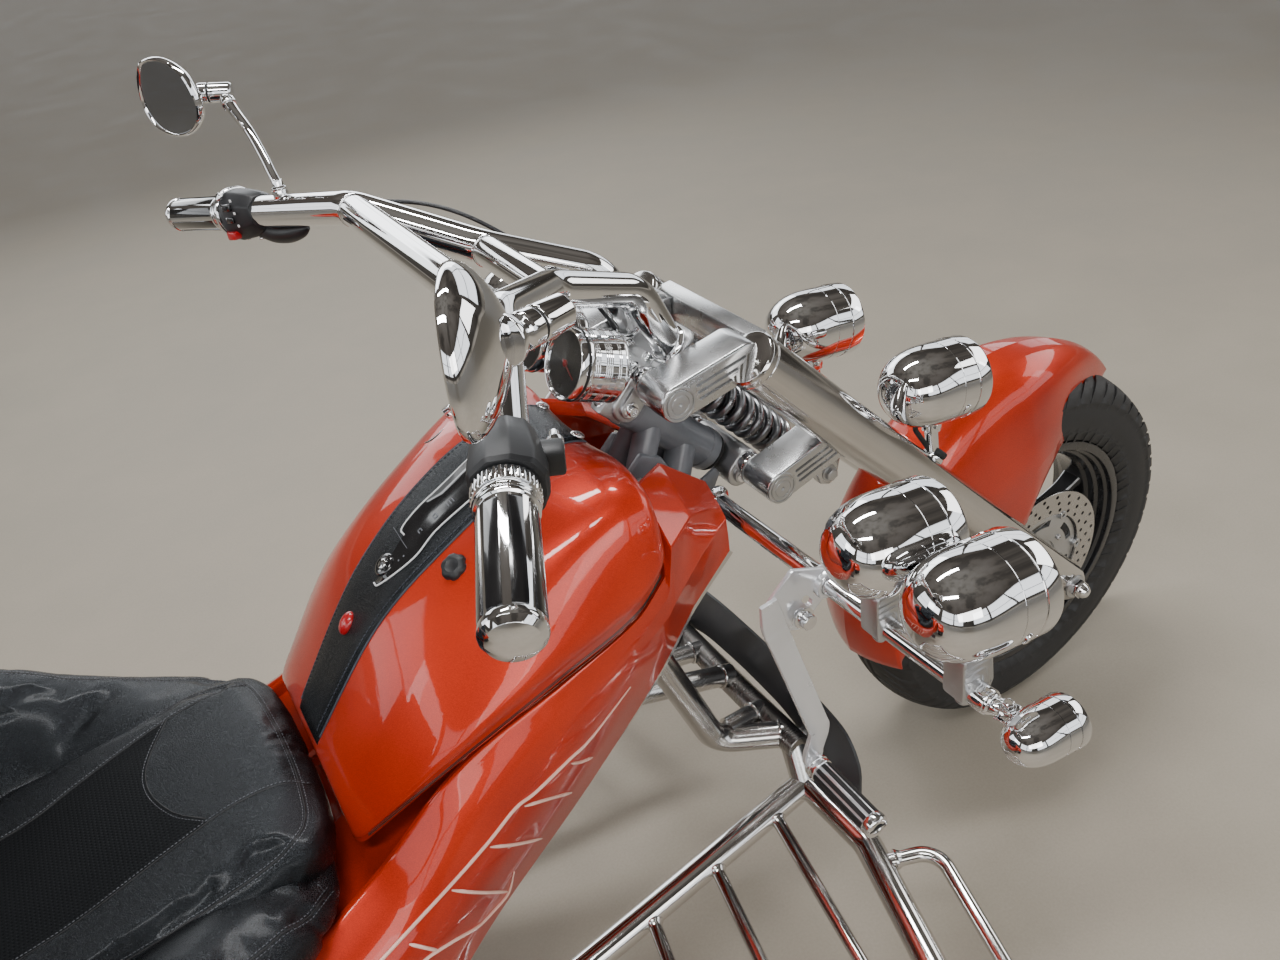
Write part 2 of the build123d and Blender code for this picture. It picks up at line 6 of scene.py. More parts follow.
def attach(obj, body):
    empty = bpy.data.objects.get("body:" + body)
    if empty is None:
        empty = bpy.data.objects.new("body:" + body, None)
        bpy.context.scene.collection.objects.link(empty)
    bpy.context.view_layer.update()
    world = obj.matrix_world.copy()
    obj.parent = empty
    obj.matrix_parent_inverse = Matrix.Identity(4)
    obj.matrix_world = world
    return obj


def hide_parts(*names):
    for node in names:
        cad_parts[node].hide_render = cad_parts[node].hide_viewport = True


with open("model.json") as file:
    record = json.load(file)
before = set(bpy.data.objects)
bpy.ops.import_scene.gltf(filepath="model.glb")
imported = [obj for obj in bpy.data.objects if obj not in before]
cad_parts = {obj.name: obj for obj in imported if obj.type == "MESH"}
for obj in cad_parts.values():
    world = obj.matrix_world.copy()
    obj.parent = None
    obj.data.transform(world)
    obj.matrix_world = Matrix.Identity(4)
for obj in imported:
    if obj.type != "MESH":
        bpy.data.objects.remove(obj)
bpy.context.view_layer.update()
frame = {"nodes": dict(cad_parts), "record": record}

# Motor trike. Points below are in millimetres in a working frame: origin on
# the ground under the front axle, +X forward, +Y left, +Z up. P() takes them to
# metres in the row frame, whose origin is the middle of the footprint.
SHIFT = 1465.0
FW_R, RW_R, WHEELBASE, RW_Y = 320.0, 338.0, 2420.0, 765.0
RAKE_DX, RAKE_DZ = 0.694, -0.720
STEER_X, STEER_Z = -698.0, 873.0
FORK_Y, FORK_R = 120.0, 33.0


def P(p):
    return Vector(((p[0] + SHIFT) / 1000.0, p[1] / 1000.0, p[2] / 1000.0))


def W(v):
    return Vector((v[0] * 1000.0 - SHIFT, v[1] * 1000.0, v[2] * 1000.0))


def steer_at(t, off=0.0, y=0.0):
    return Vector((STEER_X + RAKE_DX * t - RAKE_DZ * off, y, STEER_Z + RAKE_DZ * t + RAKE_DX * off))


def fork_at(t, off=0.0, y=0.0):
    return Vector((-RAKE_DX * t - RAKE_DZ * off, y, FW_R - RAKE_DZ * t + RAKE_DX * off))


# ------------------------------------------------------------- mesh building
class Geo:
    """Forms in millimetres that make one piece; each face keeps a material index."""

    def __init__(self):
        self.v, self.f, self.m = [], [], []

    def add(self, verts, faces, mat=0):
        k = len(self.v)
        self.v += [Vector(p) for p in verts]
        for i, f in enumerate(faces):
            self.f.append([j + k for j in f])
            self.m.append(mat[i] if isinstance(mat, (list, tuple)) else mat)
        return self

    def mirror(self):
        """the same forms on the other side, added to this piece"""
        k = len(self.v)
        self.v += [Vector((p.x, -p.y, p.z)) for p in self.v[:k]]
        n = len(self.f)
        for i in range(n):
            self.f.append([j + k for j in reversed(self.f[i])])
            self.m.append(self.m[i])
        return self

    def other_side(self):
        g = Geo()
        g.v = [Vector((p.x, -p.y, p.z)) for p in self.v]
        g.f = [list(reversed(f)) for f in self.f]
        g.m = list(self.m)
        return g


def to_mesh(g, name, outward=True):
    me = bpy.data.meshes.new(name)
    me.from_pydata([tuple(P(p)) for p in g.v], [], g.f)
    me.validate()
    if len(me.polygons) == len(g.m):
        me.polygons.foreach_set("material_index", g.m)
    if outward:
        bm = bmesh.new()
        bm.from_mesh(me)
        bmesh.ops.recalc_face_normals(bm, faces=bm.faces)
        bm.to_mesh(me)
        bm.free()
    me.polygons.foreach_set("use_smooth", [True] * len(me.polygons))
    me.update()
    return me


def link(o):
    bpy.context.scene.collection.objects.link(o)
    return o


def piece(name, g, mats, body, nodes=(), sharp=32.0, outward=True, weighted=False, weld=0.0):
    """one visible piece that rides on a body and may stand for CAD nodes"""
    me = to_mesh(g, name, outward)
    if weld:
        bm = bmesh.new()
        bm.from_mesh(me)
        bmesh.ops.remove_doubles(bm, verts=bm.verts, dist=weld)
        bmesh.ops.recalc_face_normals(bm, faces=bm.faces)
        bm.to_mesh(me)
        bm.free()
    if sharp:
        me.set_sharp_from_angle(angle=math.radians(sharp))
    for m in (mats if isinstance(mats, (list, tuple)) else [mats]):
        me.materials.append(m)
    o = link(bpy.data.objects.new(name, me))
    if weighted:
        w = o.modifiers.new("even", "WEIGHTED_NORMAL")
        w.keep_sharp = True
    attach(o, body)
    if nodes:
        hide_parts(*([nodes] if isinstance(nodes, str) else nodes))
    return o


def applied(o):
    """the piece's mesh with its modifiers applied"""
    bpy.context.view_layer.update()
    dg = bpy.context.evaluated_depsgraph_get()
    me = bpy.data.meshes.new_from_object(o.evaluated_get(dg), depsgraph=dg)
    o.modifiers.clear()
    old = o.data
    o.data = me
    me.name = o.name
    bpy.data.meshes.remove(old)
    return o


def carve(g, cutter, name="carve"):
    """g with the forms of cutter taken away, as a new Geo"""
    a = link(bpy.data.objects.new(name + "_a", to_mesh(g, name + "_a")))
    b = link(bpy.data.objects.new(name + "_b", to_mesh(cutter, name + "_b")))
    for i in range(max(list(g.m) + list(cutter.m) + [0]) + 1):
        m = bpy.data.materials.new("tmp")
        a.data.materials.append(m)
        b.data.materials.append(m)
    md = a.modifiers.new("cut", "BOOLEAN")
    md.object, md.operation, md.solver = b, "DIFFERENCE", "EXACT"
    bpy.context.view_layer.update()
    dg = bpy.context.evaluated_depsgraph_get()
    me = bpy.data.meshes.new_from_object(a.evaluated_get(dg), depsgraph=dg)
    out = Geo()
    out.v = [W(v.co) for v in me.vertices]
    out.f = [list(p.vertices) for p in me.polygons]
    out.m = [p.material_index for p in me.polygons]
    mats = list(a.data.materials)
    ma, mb = a.data, b.data
    bpy.data.objects.remove(a)
    bpy.data.objects.remove(b)
    for x in (ma, mb, me):
        bpy.data.meshes.remove(x)
    for m in set(mats):
        bpy.data.materials.remove(m)
    return out


def basis(direction, ref=None):
    """three unit vectors: along, side, up"""
    d = Vector(direction).normalized()
    r = Vector(ref) if ref is not None else (Vector((0, 1, 0)) if abs(d.y) < 0.9 else Vector((0, 0, 1)))
    s = (r - d * r.dot(d)).normalized()
    return d, s, d.cross(s)


def rounded(prof, radius, seg=3, closed=False):
    """a profile whose corners get small arcs"""
    out, n = [], len(prof)
    for i in range(n):
        p = Vector(prof[i])
        if not closed and i in (0, n - 1):
            out.append(tuple(p))
            continue
        a, b = Vector(prof[i - 1]), Vector(prof[(i + 1) % n])
        u, v = a - p, b - p
        if u.length < 1e-6 or v.length < 1e-6:
            out.append(tuple(p))
            continue
        un, vn = u.normalized(), v.normalized()
        c = max(-1.0, min(1.0, un.dot(vn)))
        ang = math.acos(c)
        if ang > math.radians(168) or ang < 0.05:
            out.append(tuple(p))
            continue
        t = min(radius / math.tan(ang / 2), u.length * 0.45, v.length * 0.45)
        r = t * math.tan(ang / 2)
        mid = (un + vn).normalized()
        cen = p + mid * (r / math.sin(ang / 2))
        s0, s1 = p + un * t - cen, p + vn * t - cen
        tot = math.acos(max(-1.0, min(1.0, s0.normalized().dot(s1.normalized()))))
        for k in range(seg + 1):
            w = k / seg
            if tot < 1e-6:
                q = s0
            else:
                q = (s0 * math.sin((1 - w) * tot) + s1 * math.sin(w * tot)) / math.sin(tot)
            out.append(tuple(cen + q))
    return out


def lathe(g, prof, origin, direction, n=56, mat=0, fillet=0.6, ref=None, seg=2):
    """turned form; prof = (distance along the axis, radius), ends on or off the axis"""
    if fillet:
        prof = rounded(prof, fillet, seg, closed=prof[0][1] > 0.01 and prof[-1][1] > 0.01 and prof[0] == prof[-1])
    d, s, u = basis(direction, ref)
    o = Vector(origin)
    verts, faces, rings = [], [], []
    for a, r in prof:
        if r < 1e-4:
            rings.append([len(verts)])
            verts.append(o + d * a)
        else:
            k = len(verts)
            rings.append(list(range(k, k + n)))
            for i in range(n):
                t = 2 * math.pi * i / n
                verts.append(o + d * a + s * (r * math.cos(t)) + u * (r * math.sin(t)))
    for ra, rb in zip(rings, rings[1:]):
        for i in range(n):
            j = (i + 1) % n
            if len(ra) == 1 and len(rb) == 1:
                break
            if len(ra) == 1:
                faces.append([ra[0], rb[i], rb[j]])
            elif len(rb) == 1:
                faces.append([ra[i], rb[0], ra[j]])
            else:
                faces.append([ra[i], rb[i], rb[j], ra[j]])
    if len(rings[0]) > 1 and prof[0] != prof[-1]:
        faces.append(list(reversed(rings[0])))
    if len(rings[-1]) > 1 and prof[0] != prof[-1]:
        faces.append(list(rings[-1]))
    return g.add(verts, faces, mat)


def ring_form(g, prof, origin, direction, n=64, mat=0, fillet=0.6, seg=2, ref=None):
    """turned ring; prof is a closed outline of (distance along the axis, radius)"""
    if fillet:
        prof = rounded(prof, fillet, seg, closed=True)
    d, s, u = basis(direction, ref)
    o = Vector(origin)
    k = len(prof)
    verts, faces = [], []
    for i in range(n):
        t = 2 * math.pi * i / n
        e = s * math.cos(t) + u * math.sin(t)
        verts += [o + d * a + e * r for a, r in prof]
    for i in range(n):
        j = (i + 1) % n
        for q in range(k):
            p = (q + 1) % k
            faces.append([i * k + q, i * k + p, j * k + p, j * k + q])
    return g.add(verts, faces, mat)


def bar_path(pts, bend, step=6.0):
    """straight runs of a rigid tube joined by tangent bends"""
    pts = [Vector(p) for p in pts]
    out = [pts[0]]
    for i in range(1, len(pts) - 1):
        p, a, b = pts[i], pts[i - 1], pts[i + 1]
        un, vn = (a - p).normalized(), (b - p).normalized()
        ang = math.acos(max(-1.0, min(1.0, un.dot(vn))))
        if ang > math.radians(178):
            out.append(p)
            continue
        r = bend[i - 1] if isinstance(bend, (list, tuple)) else bend
        t = min(r / math.tan(ang / 2), (a - p).length * 0.48, (b - p).length * 0.48)
        r = t * math.tan(ang / 2)
        cen = p + (un + vn).normalized() * (r / math.sin(ang / 2))
        s0, s1 = p + un * t - cen, p + vn * t - cen
        tot = math.pi - ang
        k = max(3, int(math.degrees(tot) / step) + 1)
        for q in range(k + 1):
            w = q / k
            out.append(cen + (s0 * math.sin((1 - w) * tot) + s1 * math.sin(w * tot)) / math.sin(tot))
    out.append(pts[-1])
    return out


def sweep(g, path, section, mat=0, ref=None, caps=True, size=None, closed=False):
    """section = (side, up) outline carried along a path without twist"""
    n, k = len(path), len(section)
    verts, faces = [], []
    side = None
    for i in range(n):
        if closed:
            d = (path[(i + 1) % n] - path[i - 1]).normalized()
        elif i == 0:
            d = (path[1] - path[0]).normalized()
        elif i == n - 1:
            d = (path[-1] - path[-2]).normalized()
        else:
            d = ((path[i] - path[i - 1]).normalized() + (path[i + 1] - path[i]).normalized()).normalized()
        if side is None:
            _, side, _ = basis(d, ref)
        side = (side - d * side.dot(d)).normalized()
        up = d.cross(side)
        f = size(i / (n - 1)) if size else 1.0
        verts += [path[i] + side * (a * f) + up * (b * f) for a, b in section]
    m = n if closed else n - 1
    for i in range(m):
        j = (i + 1) % n
        for q in range(k):
            p = (q + 1) % k
            faces.append([i * k + q, i * k + p, j * k + p, j * k + q])
    if caps and not closed:
        faces.append(list(reversed(range(k))))
        faces.append(list(range((n - 1) * k, n * k)))
    return g.add(verts, faces, mat)


def circle(r, n=32, ry=None):
    ry = r if ry is None else ry
    return [(r * math.cos(2 * math.pi * i / n), ry * math.sin(2 * math.pi * i / n)) for i in range(n)]


def tube(g, pts, r, bend=0.0, n=36, mat=0, size=None):
    path = bar_path(pts, bend) if len(pts) > 2 else [Vector(p) for p in pts]
    return sweep(g, path, circle(r, n), mat, size=size)


def curve_through(pts, n):
    """smooth line through points (centripetal blend), n samples in each gap"""
    pts = [Vector(p) for p in pts]
    ext = [pts[0] * 2 - pts[1]] + pts + [pts[-1] * 2 - pts[-2]]
    out = []
    for i in range(1, len(ext) - 2):
        a, b, c, d = ext[i - 1], ext[i], ext[i + 1], ext[i + 2]
        for q in range(n):
            t = q / n
            out.append(0.5 * ((2 * b) + (c - a) * t + (2 * a - 5 * b + 4 * c - d) * t * t
                              + (3 * b - a - 3 * c + d) * t ** 3))
    out.append(pts[-1])
    return out


def weld_bead(g, path, r, mat=0, n=10):
    """row of small ripples along a joint"""
    return sweep(g, path, circle(r, n), mat, size=lambda t: 1.0 + 0.12 * math.sin(t * 6.283 * len(path) * 0.5),
                 closed=False)


def ring_path(c, direction, r, n=40, ref=None):
    d, s, u = basis(direction, ref)
    return [Vector(c) + s * (r * math.cos(2 * math.pi * i / n)) + u * (r * math.sin(2 * math.pi * i / n)) for i in range(n)]


def prism(g, outline, origin, xd, zd, t0, t1, bevel=0.0, mat=0, seg=2, only_long=False):
    """plate with an outline (a, b) in the plane of xd and zd x xd, from t0 to t1 along zd"""
    z = Vector(zd).normalized()
    x = Vector(xd)
    x = (x - z * x.dot(z)).normalized()
    y = z.cross(x)
    o = Vector(origin)
    n = len(outline)
    verts = [o + x * a + y * b + z * t0 for a, b in outline] + [o + x * a + y * b + z * t1 for a, b in outline]
    faces = [list(reversed(range(n))), list(range(n, 2 * n))]
    faces += [[i, (i + 1) % n, (i + 1) % n + n, i + n] for i in range(n)]
    return hard(g, verts, faces, bevel, mat, seg)


def hard(g, verts, faces, bevel=0.0, mat=0, seg=2, limit=25.0):
    """a flat-sided form whose edges are broken by a small bevel"""
    if not bevel:
        return g.add(verts, faces, mat)
    bm = bmesh.new()
    vs = [bm.verts.new(v) for v in verts]
    for f in faces:
        bm.faces.new([vs[i] for i in f])
    bmesh.ops.recalc_face_normals(bm, faces=bm.faces)
    edges = [e for e in bm.edges if len(e.link_faces) == 2 and e.calc_face_angle(0.0) > math.radians(limit)]
    bmesh.ops.bevel(bm, geom=edges, offset=bevel, segments=seg, profile=0.5, affect="EDGES", clamp_overlap=True)
    bm.verts.index_update()
    g.add([v.co.copy() for v in bm.verts], [[v.index for v in f.verts] for f in bm.faces], mat)
    bm.free()
    return g


def box(g, c, size, xd=(1, 0, 0), zd=(0, 0, 1), bevel=1.0, mat=0, seg=2):
    a, b, t = size[0] / 2, size[1] / 2, size[2] / 2
    return prism(g, [(-a, -b), (a, -b), (a, b), (-a, b)], c, xd, zd, -t, t, bevel, mat, seg)


def slab_xz(g, pts, y0, y1, bevel=0.0, mat=0, seg=2):
    """plate with an outline (x, z), from y0 to y1"""
    lo, hi = min(y0, y1), max(y0, y1)
    n = len(pts)
    verts = [Vector((x, lo, z)) for x, z in pts] + [Vector((x, hi, z)) for x, z in pts]
    faces = [list(range(n)), list(reversed(range(n, 2 * n)))]
    faces += [[(i + 1) % n, i, i + n, (i + 1) % n + n] for i in range(n)]
    return hard(g, verts, faces, bevel, mat, seg)


def stadium(a, b, half, seg=14):
    """outline of a straight arm with round ends, from a to b in its plane"""
    d = Vector((b[0] - a[0], b[1] - a[1]))
    t0 = math.atan2(d.y, d.x)
    out = []
    for k in range(seg + 1):
        t = t0 + math.pi / 2 + math.pi * k / seg
        out.append((a[0] + half * math.cos(t), a[1] + half * math.sin(t)))
    for k in range(seg + 1):
        t = t0 - math.pi / 2 + math.pi * k / seg
        out.append((b[0] + half * math.cos(t), b[1] + half * math.sin(t)))
    return out


def round_outline(pts, r, seg=5):
    return rounded(pts, r, seg, closed=True)


def bolt(g, c, direction, r=6.0, h=5.0, mat=0, socket=True, washer=True, hexed=True):
    """screw head with a washer; hexagon or round with a socket"""
    d, s, u = basis(direction)
    c = Vector(c)
    if washer:
        lathe(g, [(0, 0), (0, r * 1.45), (1.2, r * 1.45), (1.2, 0)], c, d, 28, mat, 0.3)
        c = c + d * 1.2
    if hexed:
        pts = [(r * 1.12 * math.cos(math.pi / 3 * i), r * 1.12 * math.sin(math.pi / 3 * i)) for i in range(6)]
        prism(g, pts, c, s, d, 0, h, 0.5, mat)
        lathe(g, [(h - 0.1, r * 0.93), (h + 0.5, r * 0.8), (h + 0.5, 0)], c, d, 28, mat, 0.2)
    else:
        lathe(g, [(0, 0), (0, r), (h - 1, r), (h, r - 1), (h, r * 0.52), (h * 0.4, r * 0.45), (h * 0.4, 0)], c, d, 30, mat, 0.25)
    return g


def coil(g, a, b, radius, wire, turns, mat=0, n=12, per=28, flat=0.6):
    """helical spring from a to b, its end turns closed up"""
    a, b = Vector(a), Vector(b)
    d, s, u = basis(b - a)
    length = (b - a).length
    path, total = [], int(turns * per)
    for i in range(total + 1):
        t = i / total * turns
        if t < 1:
            h = wire * 2 * t * flat
        elif t > turns - 1:
            h = length - wire * 2 * (turns - t) * flat
        else:
            w = (t - 1) / (turns - 2)
            h = wire * 2 * flat + w * (length - wire * 4 * flat)
        ang = 2 * math.pi * t
        path.append(a + d * h + s * (radius * math.cos(ang)) + u * (radius * math.sin(ang)))
    return sweep(g, path, circle(wire, n), mat)


def skin(g, rows, mat=0, closed_v=False, closed_u=False, cap0=False, cap1=False):
    """sheet of quads through rows of points"""
    n, k = len(rows), len(rows[0])
    verts = [Vector(p) for r in rows for p in r]
    faces = []
    for i in range(n if closed_u else n - 1):
        j = (i + 1) % n
        for q in range(k if closed_v else k - 1):
            p = (q + 1) % k
            faces.append([i * k + q, i * k + p, j * k + p, j * k + q])
    if cap0:
        faces.append(list(reversed(range(k))))
    if cap1:
        faces.append(list(range((n - 1) * k, n * k)))
    return g.add(verts, faces, mat)


def resample(pts, n):
    """n points evenly along a line of points"""
    pts = [Vector(p) for p in pts]
    cum = [0.0]
    for a, b in zip(pts, pts[1:]):
        cum.append(cum[-1] + (b - a).length)
    out, j = [], 0
    for i in range(n):
        t = cum[-1] * i / (n - 1)
        while j < len(cum) - 2 and cum[j + 1] < t:
            j += 1
        w = 0 if cum[j + 1] == cum[j] else (t - cum[j]) / (cum[j + 1] - cum[j])
        out.append(pts[j].lerp(pts[j + 1], max(0.0, min(1.0, w))))
    return out


def smooth_steps(a, b, t):
    t = max(0.0, min(1.0, (t - a) / (b - a)))
    return t * t * (3 - 2 * t)


def table(rows, x):
    """value of a table (x, value...) at x, smoothly joined"""
    if x <= rows[0][0]:
        return [float(c) for c in rows[0][1:]]
    for i in range(len(rows) - 1):
        if x <= rows[i + 1][0]:
            p0 = rows[max(0, i - 1)]
            p1, p2 = rows[i], rows[i + 1]
            p3 = rows[min(len(rows) - 1, i + 2)]
            t = (x - p1[0]) / (p2[0] - p1[0])
            out = []
            for k in range(1, len(p1)):
                m1 = (p2[k] - p0[k]) / (p2[0] - p0[0]) if p2[0] != p0[0] else 0.0
                m2 = (p3[k] - p1[k]) / (p3[0] - p1[0]) if p3[0] != p1[0] else 0.0
                h = p2[0] - p1[0]
                out.append((2 * t ** 3 - 3 * t * t + 1) * p1[k] + (t ** 3 - 2 * t * t + t) * h * m1
                           + (-2 * t ** 3 + 3 * t * t) * p2[k] + (t ** 3 - t * t) * h * m2)
            return out
    return [float(c) for c in rows[-1][1:]]


# ------------------------------------------------------------- materials
class Mat:
    """a procedural material; textures use object coordinates in metres"""

    def __init__(self, name, **fixed):
        self.m = bpy.data.materials.new(name)
        self.m.use_nodes = True
        self.t = self.m.node_tree
        self.b = self.t.nodes["Principled BSDF"]
        self.co = self.t.nodes.new("ShaderNodeTexCoord").outputs["Object"]
        for k, v in fixed.items():
            self.b.inputs[k.replace("_", " ")].default_value = v

    def node(self, kind, **props):
        n = self.t.nodes.new("ShaderNode" + kind)
        for k, v in props.items():
            setattr(n, k, v)
        return n

    def put(self, sock, value):
        if isinstance(value, bpy.types.NodeSocket):
            self.t.links.new(value, sock)
        else:
            sock.default_value = value

    def noise(self, scale, detail=3.0, rough=0.5, stretch=None, co=None, distort=0.0):
        n = self.node("TexNoise")
        n.inputs["Scale"].default_value = scale
        n.inputs["Detail"].default_value = detail
        n.inputs["Roughness"].default_value = rough
        n.inputs["Distortion"].default_value = distort
        src = co or self.co
        if stretch:
            mp = self.node("Mapping")
            mp.inputs["Scale"].default_value = stretch
            self.t.links.new(src, mp.inputs["Vector"])
            src = mp.outputs["Vector"]
        self.t.links.new(src, n.inputs["Vector"])
        return n.outputs["Fac"]

    def cells(self, scale, feature="F1", rand=1.0, co=None, out="Distance", stretch=None):
        n = self.node("TexVoronoi", feature=feature)
        n.inputs["Scale"].default_value = scale
        n.inputs["Randomness"].default_value = rand
        src = co or self.co
        if stretch:
            mp = self.node("Mapping")
            mp.inputs["Scale"].default_value = stretch
            self.t.links.new(src, mp.inputs["Vector"])
            src = mp.outputs["Vector"]
        self.t.links.new(src, n.inputs["Vector"])
        return n.outputs[out]

    def span(self, value, lo, hi, a=0.0, b=1.0):
        n = self.node("MapRange")
        n.inputs["From Min"].default_value = lo
        n.inputs["From Max"].default_value = hi
        n.inputs["To Min"].default_value = a
        n.inputs["To Max"].default_value = b
        self.t.links.new(value, n.inputs["Value"])
        return n.outputs["Result"]

    def ramp(self, value, stops):
        n = self.node("ValToRGB")
        e = n.color_ramp.elements
        while len(e) < len(stops):
            e.new(0.5)
        for i, (p, c) in enumerate(stops):
            e[i].position = p
            e[i].color = (c[0], c[1], c[2], 1.0)
        self.t.links.new(value, n.inputs["Fac"])
        return n.outputs["Color"]

    def math(self, op, a, b=0.0):
        n = self.node("Math", operation=op)
        self.put(n.inputs[0], a)
        self.put(n.inputs[1], b)
        return n.outputs[0]

    def bump(self, height, strength=0.3, dist=0.001, normal=None):
        n = self.node("Bump")
        n.inputs["Strength"].default_value = strength
        n.inputs["Distance"].default_value = dist
        self.t.links.new(height, n.inputs["Height"])
        if normal is not None:
            self.t.links.new(normal, n.inputs["Normal"])
        return n.outputs["Normal"]

    def set(self, **links):
        for k, v in links.items():
            self.put(self.b.inputs[k.replace("_", " ")], v)
        return self


def col(*c):
    return (c[0], c[1], c[2], 1.0)


def paint(name, dark, mid, light, metal=0.35):
    """metallic paint under clear coat, with fine flake and slight orange peel"""
    m = Mat(name, Metallic=metal, Coat_Weight=0.85, Coat_Roughness=0.03, Coat_IOR=1.45, IOR=1.4, Specular_IOR_Level=0.25)
    flake = m.cells(2600.0, out="Color")
    sep = m.node("SeparateColor")
    m.t.links.new(flake, sep.inputs["Color"])
    cloud = m.noise(5.0, 2.0)
    f = m.math("ADD", m.math("MULTIPLY", sep.outputs["Red"], 0.28), m.math("MULTIPLY", cloud, 0.72))
    m.set(Base_Color=m.ramp(f, [(0.25, dark), (0.5, mid), (0.8, light)]))
    m.set(Roughness=m.span(sep.outputs["Green"], 0.0, 1.0, 0.28, 0.46))
    peel = m.noise(170.0, 2.0)
    m.set(Coat_Normal=m.bump(peel, 0.035, 0.001))
    return m.m


def bright(name, base, r0, r1, smudge=9.0, grain=None, wave=0.02, tint=0.05, metal=1.0):
    """polished or plated metal with faint smudges; grain stretches fine brush marks"""
    m = Mat(name, Metallic=metal)
    s = m.noise(smudge, 5.0, 0.6)
    lo = [c * (1 - tint) for c in base]
    m.set(Base_Color=m.ramp(s, [(0.3, lo), (0.7, base)]))
    rough = m.span(s, 0.35, 0.75, r0, r1)
    if grain:
        g = m.noise(1.0, 3.0, 0.6, stretch=grain)
        rough = m.math("ADD", rough, m.span(g, 0.3, 0.7, -0.04, 0.07))
        m.set(Normal=m.bump(g, 0.05, 0.0006))
    else:
        m.set(Normal=m.bump(m.noise(26.0, 1.0), wave, 0.001))
    m.set(Roughness=rough)
    return m.m


def plastic(name, lo, hi, r0=0.35, r1=0.55, grain=900.0, depth=0.18, coat=0.0):
    m = Mat(name, Coat_Weight=coat, Coat_Roughness=0.06)
    s = m.noise(14.0, 4.0, 0.6)
    g = m.noise(grain, 2.0)
    m.set(Base_Color=m.ramp(s, [(0.3, lo), (0.75, hi)]))
    m.set(Roughness=m.span(s, 0.3, 0.7, r0, r1))
    m.set(Normal=m.bump(g, depth, 0.0003))
    return m.m


def leather(name, lo, hi, r0, r1, scale=420.0, depth=0.35, holes=0.0, spec=0.42):
    """grained leather: pebbles between fine creases; holes = pitch of a punched pattern, each hole darkened with
    painted shade
    """
    m = Mat(name, Coat_Weight=0.10, Coat_Roughness=0.2, IOR=1.45, Specular_IOR_Level=spec, Specular_Tint=(0.80, 0.90, 1.0, 1.0))
    c1 = m.cells(scale, "DISTANCE_TO_EDGE")
    c2 = m.cells(scale * 2.7, "DISTANCE_TO_EDGE")
    creases = m.noise(60.0, 5.0, 0.6, stretch=(1.0, 0.42, 1.0), distort=0.8)
    h = m.math("ADD", m.math("MULTIPLY", m.span(c1, 0.0, 0.12), 0.7), m.math("MULTIPLY", m.span(c2, 0.0, 0.2), 0.25))
    h = m.math("ADD", h, m.math("MULTIPLY", creases, 1.1))
    s = m.noise(7.0, 4.0)
    m.set(Base_Color=m.ramp(s, [(0.3, lo), (0.72, hi)]))
    m.set(Roughness=m.span(m.math("ADD", m.math("MULTIPLY", c1, 2.0), s), 0.3, 0.9, r0, r1))
    nrm = m.bump(h, depth, 0.0008)
    if holes:
        sc = m.node("VectorMath", operation="SCALE")
        sc.inputs["Scale"].default_value = 1.0 / holes
        m.t.links.new(m.co, sc.inputs[0])
        fr = m.node("VectorMath", operation="FRACTION")
        m.t.links.new(sc.outputs[0], fr.inputs[0])
        sx = m.node("SeparateXYZ")
        m.t.links.new(fr.outputs[0], sx.inputs[0])
        dx = m.math("SUBTRACT", sx.outputs["X"], 0.5)
        dy = m.math("SUBTRACT", sx.outputs["Y"], 0.5)
        d = m.math("SQRT", m.math("ADD", m.math("MULTIPLY", dx, dx), m.math("MULTIPLY", dy, dy)))
        hole = m.span(d, 0.2, 0.3)
        nrm = m.bump(hole, 0.8, 0.0012, nrm)
        # inside each hole the colour is multiplied down: painted shade for the hole's depth
        mix = m.node("Mix", data_type="RGBA", blend_type="MULTIPLY")
        mix.inputs["Factor"].default_value = 1.0
        src = m.b.inputs["Base Color"].links[0].from_socket
        m.t.links.new(src, mix.inputs[6])
        m.t.links.new(m.ramp(hole, [(0.0, (0.15, 0.15, 0.15)), (1.0, (1, 1, 1))]), mix.inputs[7])
        m.t.links.new(mix.outputs[2], m.b.inputs["Base Color"])
    m.set(Normal=nrm)
    return m.m


ORANGE = paint("orange_metallic_paint", (0.30, 0.012, 0.003), (0.52, 0.026, 0.0055), (0.74, 0.052, 0.012))
# darker copy of the orange paint for the beads: painted shade
ORANGE_PAINTED_SHADE = paint("orange_paint_with_painted_shade", (0.26, 0.013, 0.004), (0.40, 0.024, 0.006), (0.55, 0.045, 0.011))
CHROME = bright("mirror_chrome", (0.82, 0.825, 0.835), 0.02, 0.06)
STAINLESS = bright("polished_stainless", (0.62, 0.615, 0.605), 0.14, 0.26, grain=(40.0, 40.0, 900.0))
STEEL_TUBE = bright("polished_tube_steel", (0.68, 0.67, 0.66), 0.07, 0.16, smudge=14.0)
ALLOY = bright("satin_alloy", (0.54, 0.545, 0.55), 0.32, 0.46, smudge=20.0, grain=(500.0, 30.0, 500.0))
ARM = bright("polished_arm_alloy", (0.60, 0.605, 0.61), 0.22, 0.33, smudge=14.0, wave=0.012)
CAST = bright("cast_alloy", (0.50, 0.51, 0.52), 0.42, 0.62, smudge=60.0, grain=(700.0, 700.0, 700.0))
DISC = bright("brake_disc_steel", (0.55, 0.54, 0.53), 0.2, 0.34, smudge=40.0)
DARK_STEEL = plastic("dark_coated_steel", (0.018, 0.019, 0.022), (0.040, 0.042, 0.046), 0.32, 0.5, 500.0, 0.1)
SPRING = bright("dark_spring_steel", (0.23, 0.235, 0.245), 0.24, 0.42, smudge=60.0)
BLACK = plastic("black_moulded_plastic", (0.006, 0.0065, 0.0075), (0.013, 0.0135, 0.0155), 0.36, 0.55)
SATIN_BLACK = plastic("satin_black_plastic", (0.010, 0.0105, 0.012), (0.022, 0.023, 0.026), 0.42, 0.6, 1400.0, 0.3)
